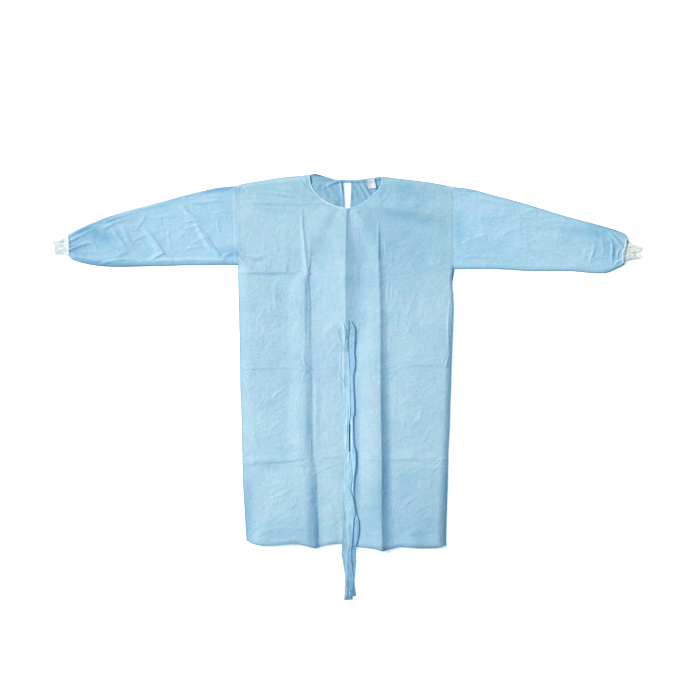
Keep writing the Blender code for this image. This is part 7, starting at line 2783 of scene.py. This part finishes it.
# ---------------------------------------------------------------- stitching
tie_trees = tree_of(tie_high, tie_low)
hem_line = [(x, table(HEM, x, 1) + 10.6) for x in np.arange(-316.0, 305.0, 3.0)]
hem_second = [(x, table(HEM, x, 1) + 8.4) for x in np.arange(-315.0, 304.0, 3.0)]
runs = [
    ("stitches_hem", [seam_spots(front_tree, hem_line, 3.0, 201), seam_spots(front_tree, hem_second, 3.0, 202)]),
    ("stitches_armhole_left", [
        seam_spots(tree_of(front, sleeve_left), [(table(SIDES, y, 1) + d, y) for y in np.arange(386.0, 622.0, 3.0)], 3.0, 203 + k)
        for k, d in enumerate((5.2, 8.4))]),
    ("stitches_armhole_right", [
        seam_spots(tree_of(front, sleeve_right), [(table(SIDES, y, 2) - d, y) for y in np.arange(372.0, 618.0, 3.0)], 3.0, 206 + k)
        for k, d in enumerate((5.2, 8.4))]),
    ("stitches_neck", [seam_spots(tree_of(neck_tape), neck_path + neck_out * 3.1, 2.6, 209)]),
    ("stitches_neck_back", [seam_spots(tree_of(neck_tape_back), back_face[2:-2, 11, :2], 2.6, 210)]),
    ("stitches_tie", [
        seam_spots(tree_of(tie_high), [(tie_column(y, 1) + 2.2, y) for y in np.arange(-655.0, 190.0, 3.0)], 3.2, 211),
        seam_spots(tree_of(tie_high), [(x, -616.0) for x in np.arange(-4.0, 21.0, 1.0)], 2.6, 212),
        seam_spots(tree_of(tie_high), [(x, -613.2) for x in np.arange(-4.0, 21.0, 1.0)], 2.6, 213),
        seam_spots(tie_trees, [(x, 203.0) for x in np.arange(-12.0, 15.0, 1.0)], 2.4, 214),
        seam_spots(tie_trees, [(x, 199.6) for x in np.arange(-15.0, 17.0, 1.0)], 2.4, 215),
        seam_spots(tree_of(tie_low), [(tie_column(y, 4) - 2.4, y) for y in np.arange(-640.0, 180.0, 3.0)], 3.2, 216),
    ]),
]
for name, spots in runs:
    made = thread_run(name, np.vstack(spots), THREAD_LOOK)
    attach(made, "root")
label_spots = np.vstack([
    seam_spots(tree_of(label_piece), [(label_face[k, 1, 0] * (1 - t) + label_face[k, -2, 0] * t,
                                      label_face[k, 1, 1] * (1 - t) + label_face[k, -2, 1] * t)
                                     for t in np.linspace(0, 1, 12)], 2.2, 221)
    for k in (2,)])
made = thread_run("stitches_label", label_spots, LABEL_THREAD, 1.9)
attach(made, "root")

# camera, light and floor -------------------------------------------------
scene = bpy.context.scene
camera = bpy.data.objects.new("camera", bpy.data.cameras.new("camera"))
scene.collection.objects.link(camera)
camera.data.sensor_width = 36.0
camera.data.lens = 115.4
camera.location = (0.00998, 0.1150, 7.0)
camera.rotation_euler = (0.0, 0.0, 0.0)
camera.data.clip_start, camera.data.clip_end = 0.1, 100.0
scene.camera = camera
scene.view_settings.view_transform = "Standard"

floor_mesh = bpy.data.meshes.new("floor")
floor_mesh.from_pydata([(-6, -6, 0), (6, -6, 0), (6, 6, 0), (-6, 6, 0)], [], [(0, 1, 2, 3)])
floor = bpy.data.objects.new("floor", floor_mesh)
floor.location.z = -0.0004
scene.collection.objects.link(floor)
floor_look = bpy.data.materials.new("floor")
floor_look.use_nodes = True
shader = floor_look.node_tree.nodes["Principled BSDF"]
shader.inputs["Base Color"].default_value = (0.95, 0.95, 0.95, 1.0)
shader.inputs["Roughness"].default_value = 0.9
shader.inputs["Specular IOR Level"].default_value = 0.1
shader.inputs["Emission Color"].default_value = (1.0, 1.0, 1.0, 1.0)
shader.inputs["Emission Strength"].default_value = 0.45
floor_mesh.materials.append(floor_look)

world = bpy.data.worlds.new("studio")
scene.world = world
world.use_nodes = True
world.node_tree.nodes["Background"].inputs["Color"].default_value = (0.36, 0.71, 1.0, 1.0)
world.node_tree.nodes["Background"].inputs["Strength"].default_value = 0.293


def light(name, kind, place, toward, power, **more):
    data = bpy.data.lights.new(name, kind)
    data.energy = power
    for key, value in more.items():
        setattr(data, key, value)
    made = bpy.data.objects.new(name, data)
    made.location = place
    made.rotation_mode = "QUATERNION"
    made.rotation_quaternion = (Vector(toward) - Vector(place)).to_track_quat("-Z", "Y")
    made.visible_camera = False
    scene.collection.objects.link(made)
    return made


light("key", "SUN", (-2.4, 1.15, 1.02), (0.0, 0.0, 0.0), 8.74, angle=math.radians(21.0), color=(1.0, 0.762, 0.569))
light("overhead", "AREA", (-0.22, 0.12, 1.8), (-0.22, 0.12, 0.0), 12.4, shape="DISK", size=1.0, color=(0.36, 0.71, 1.0))
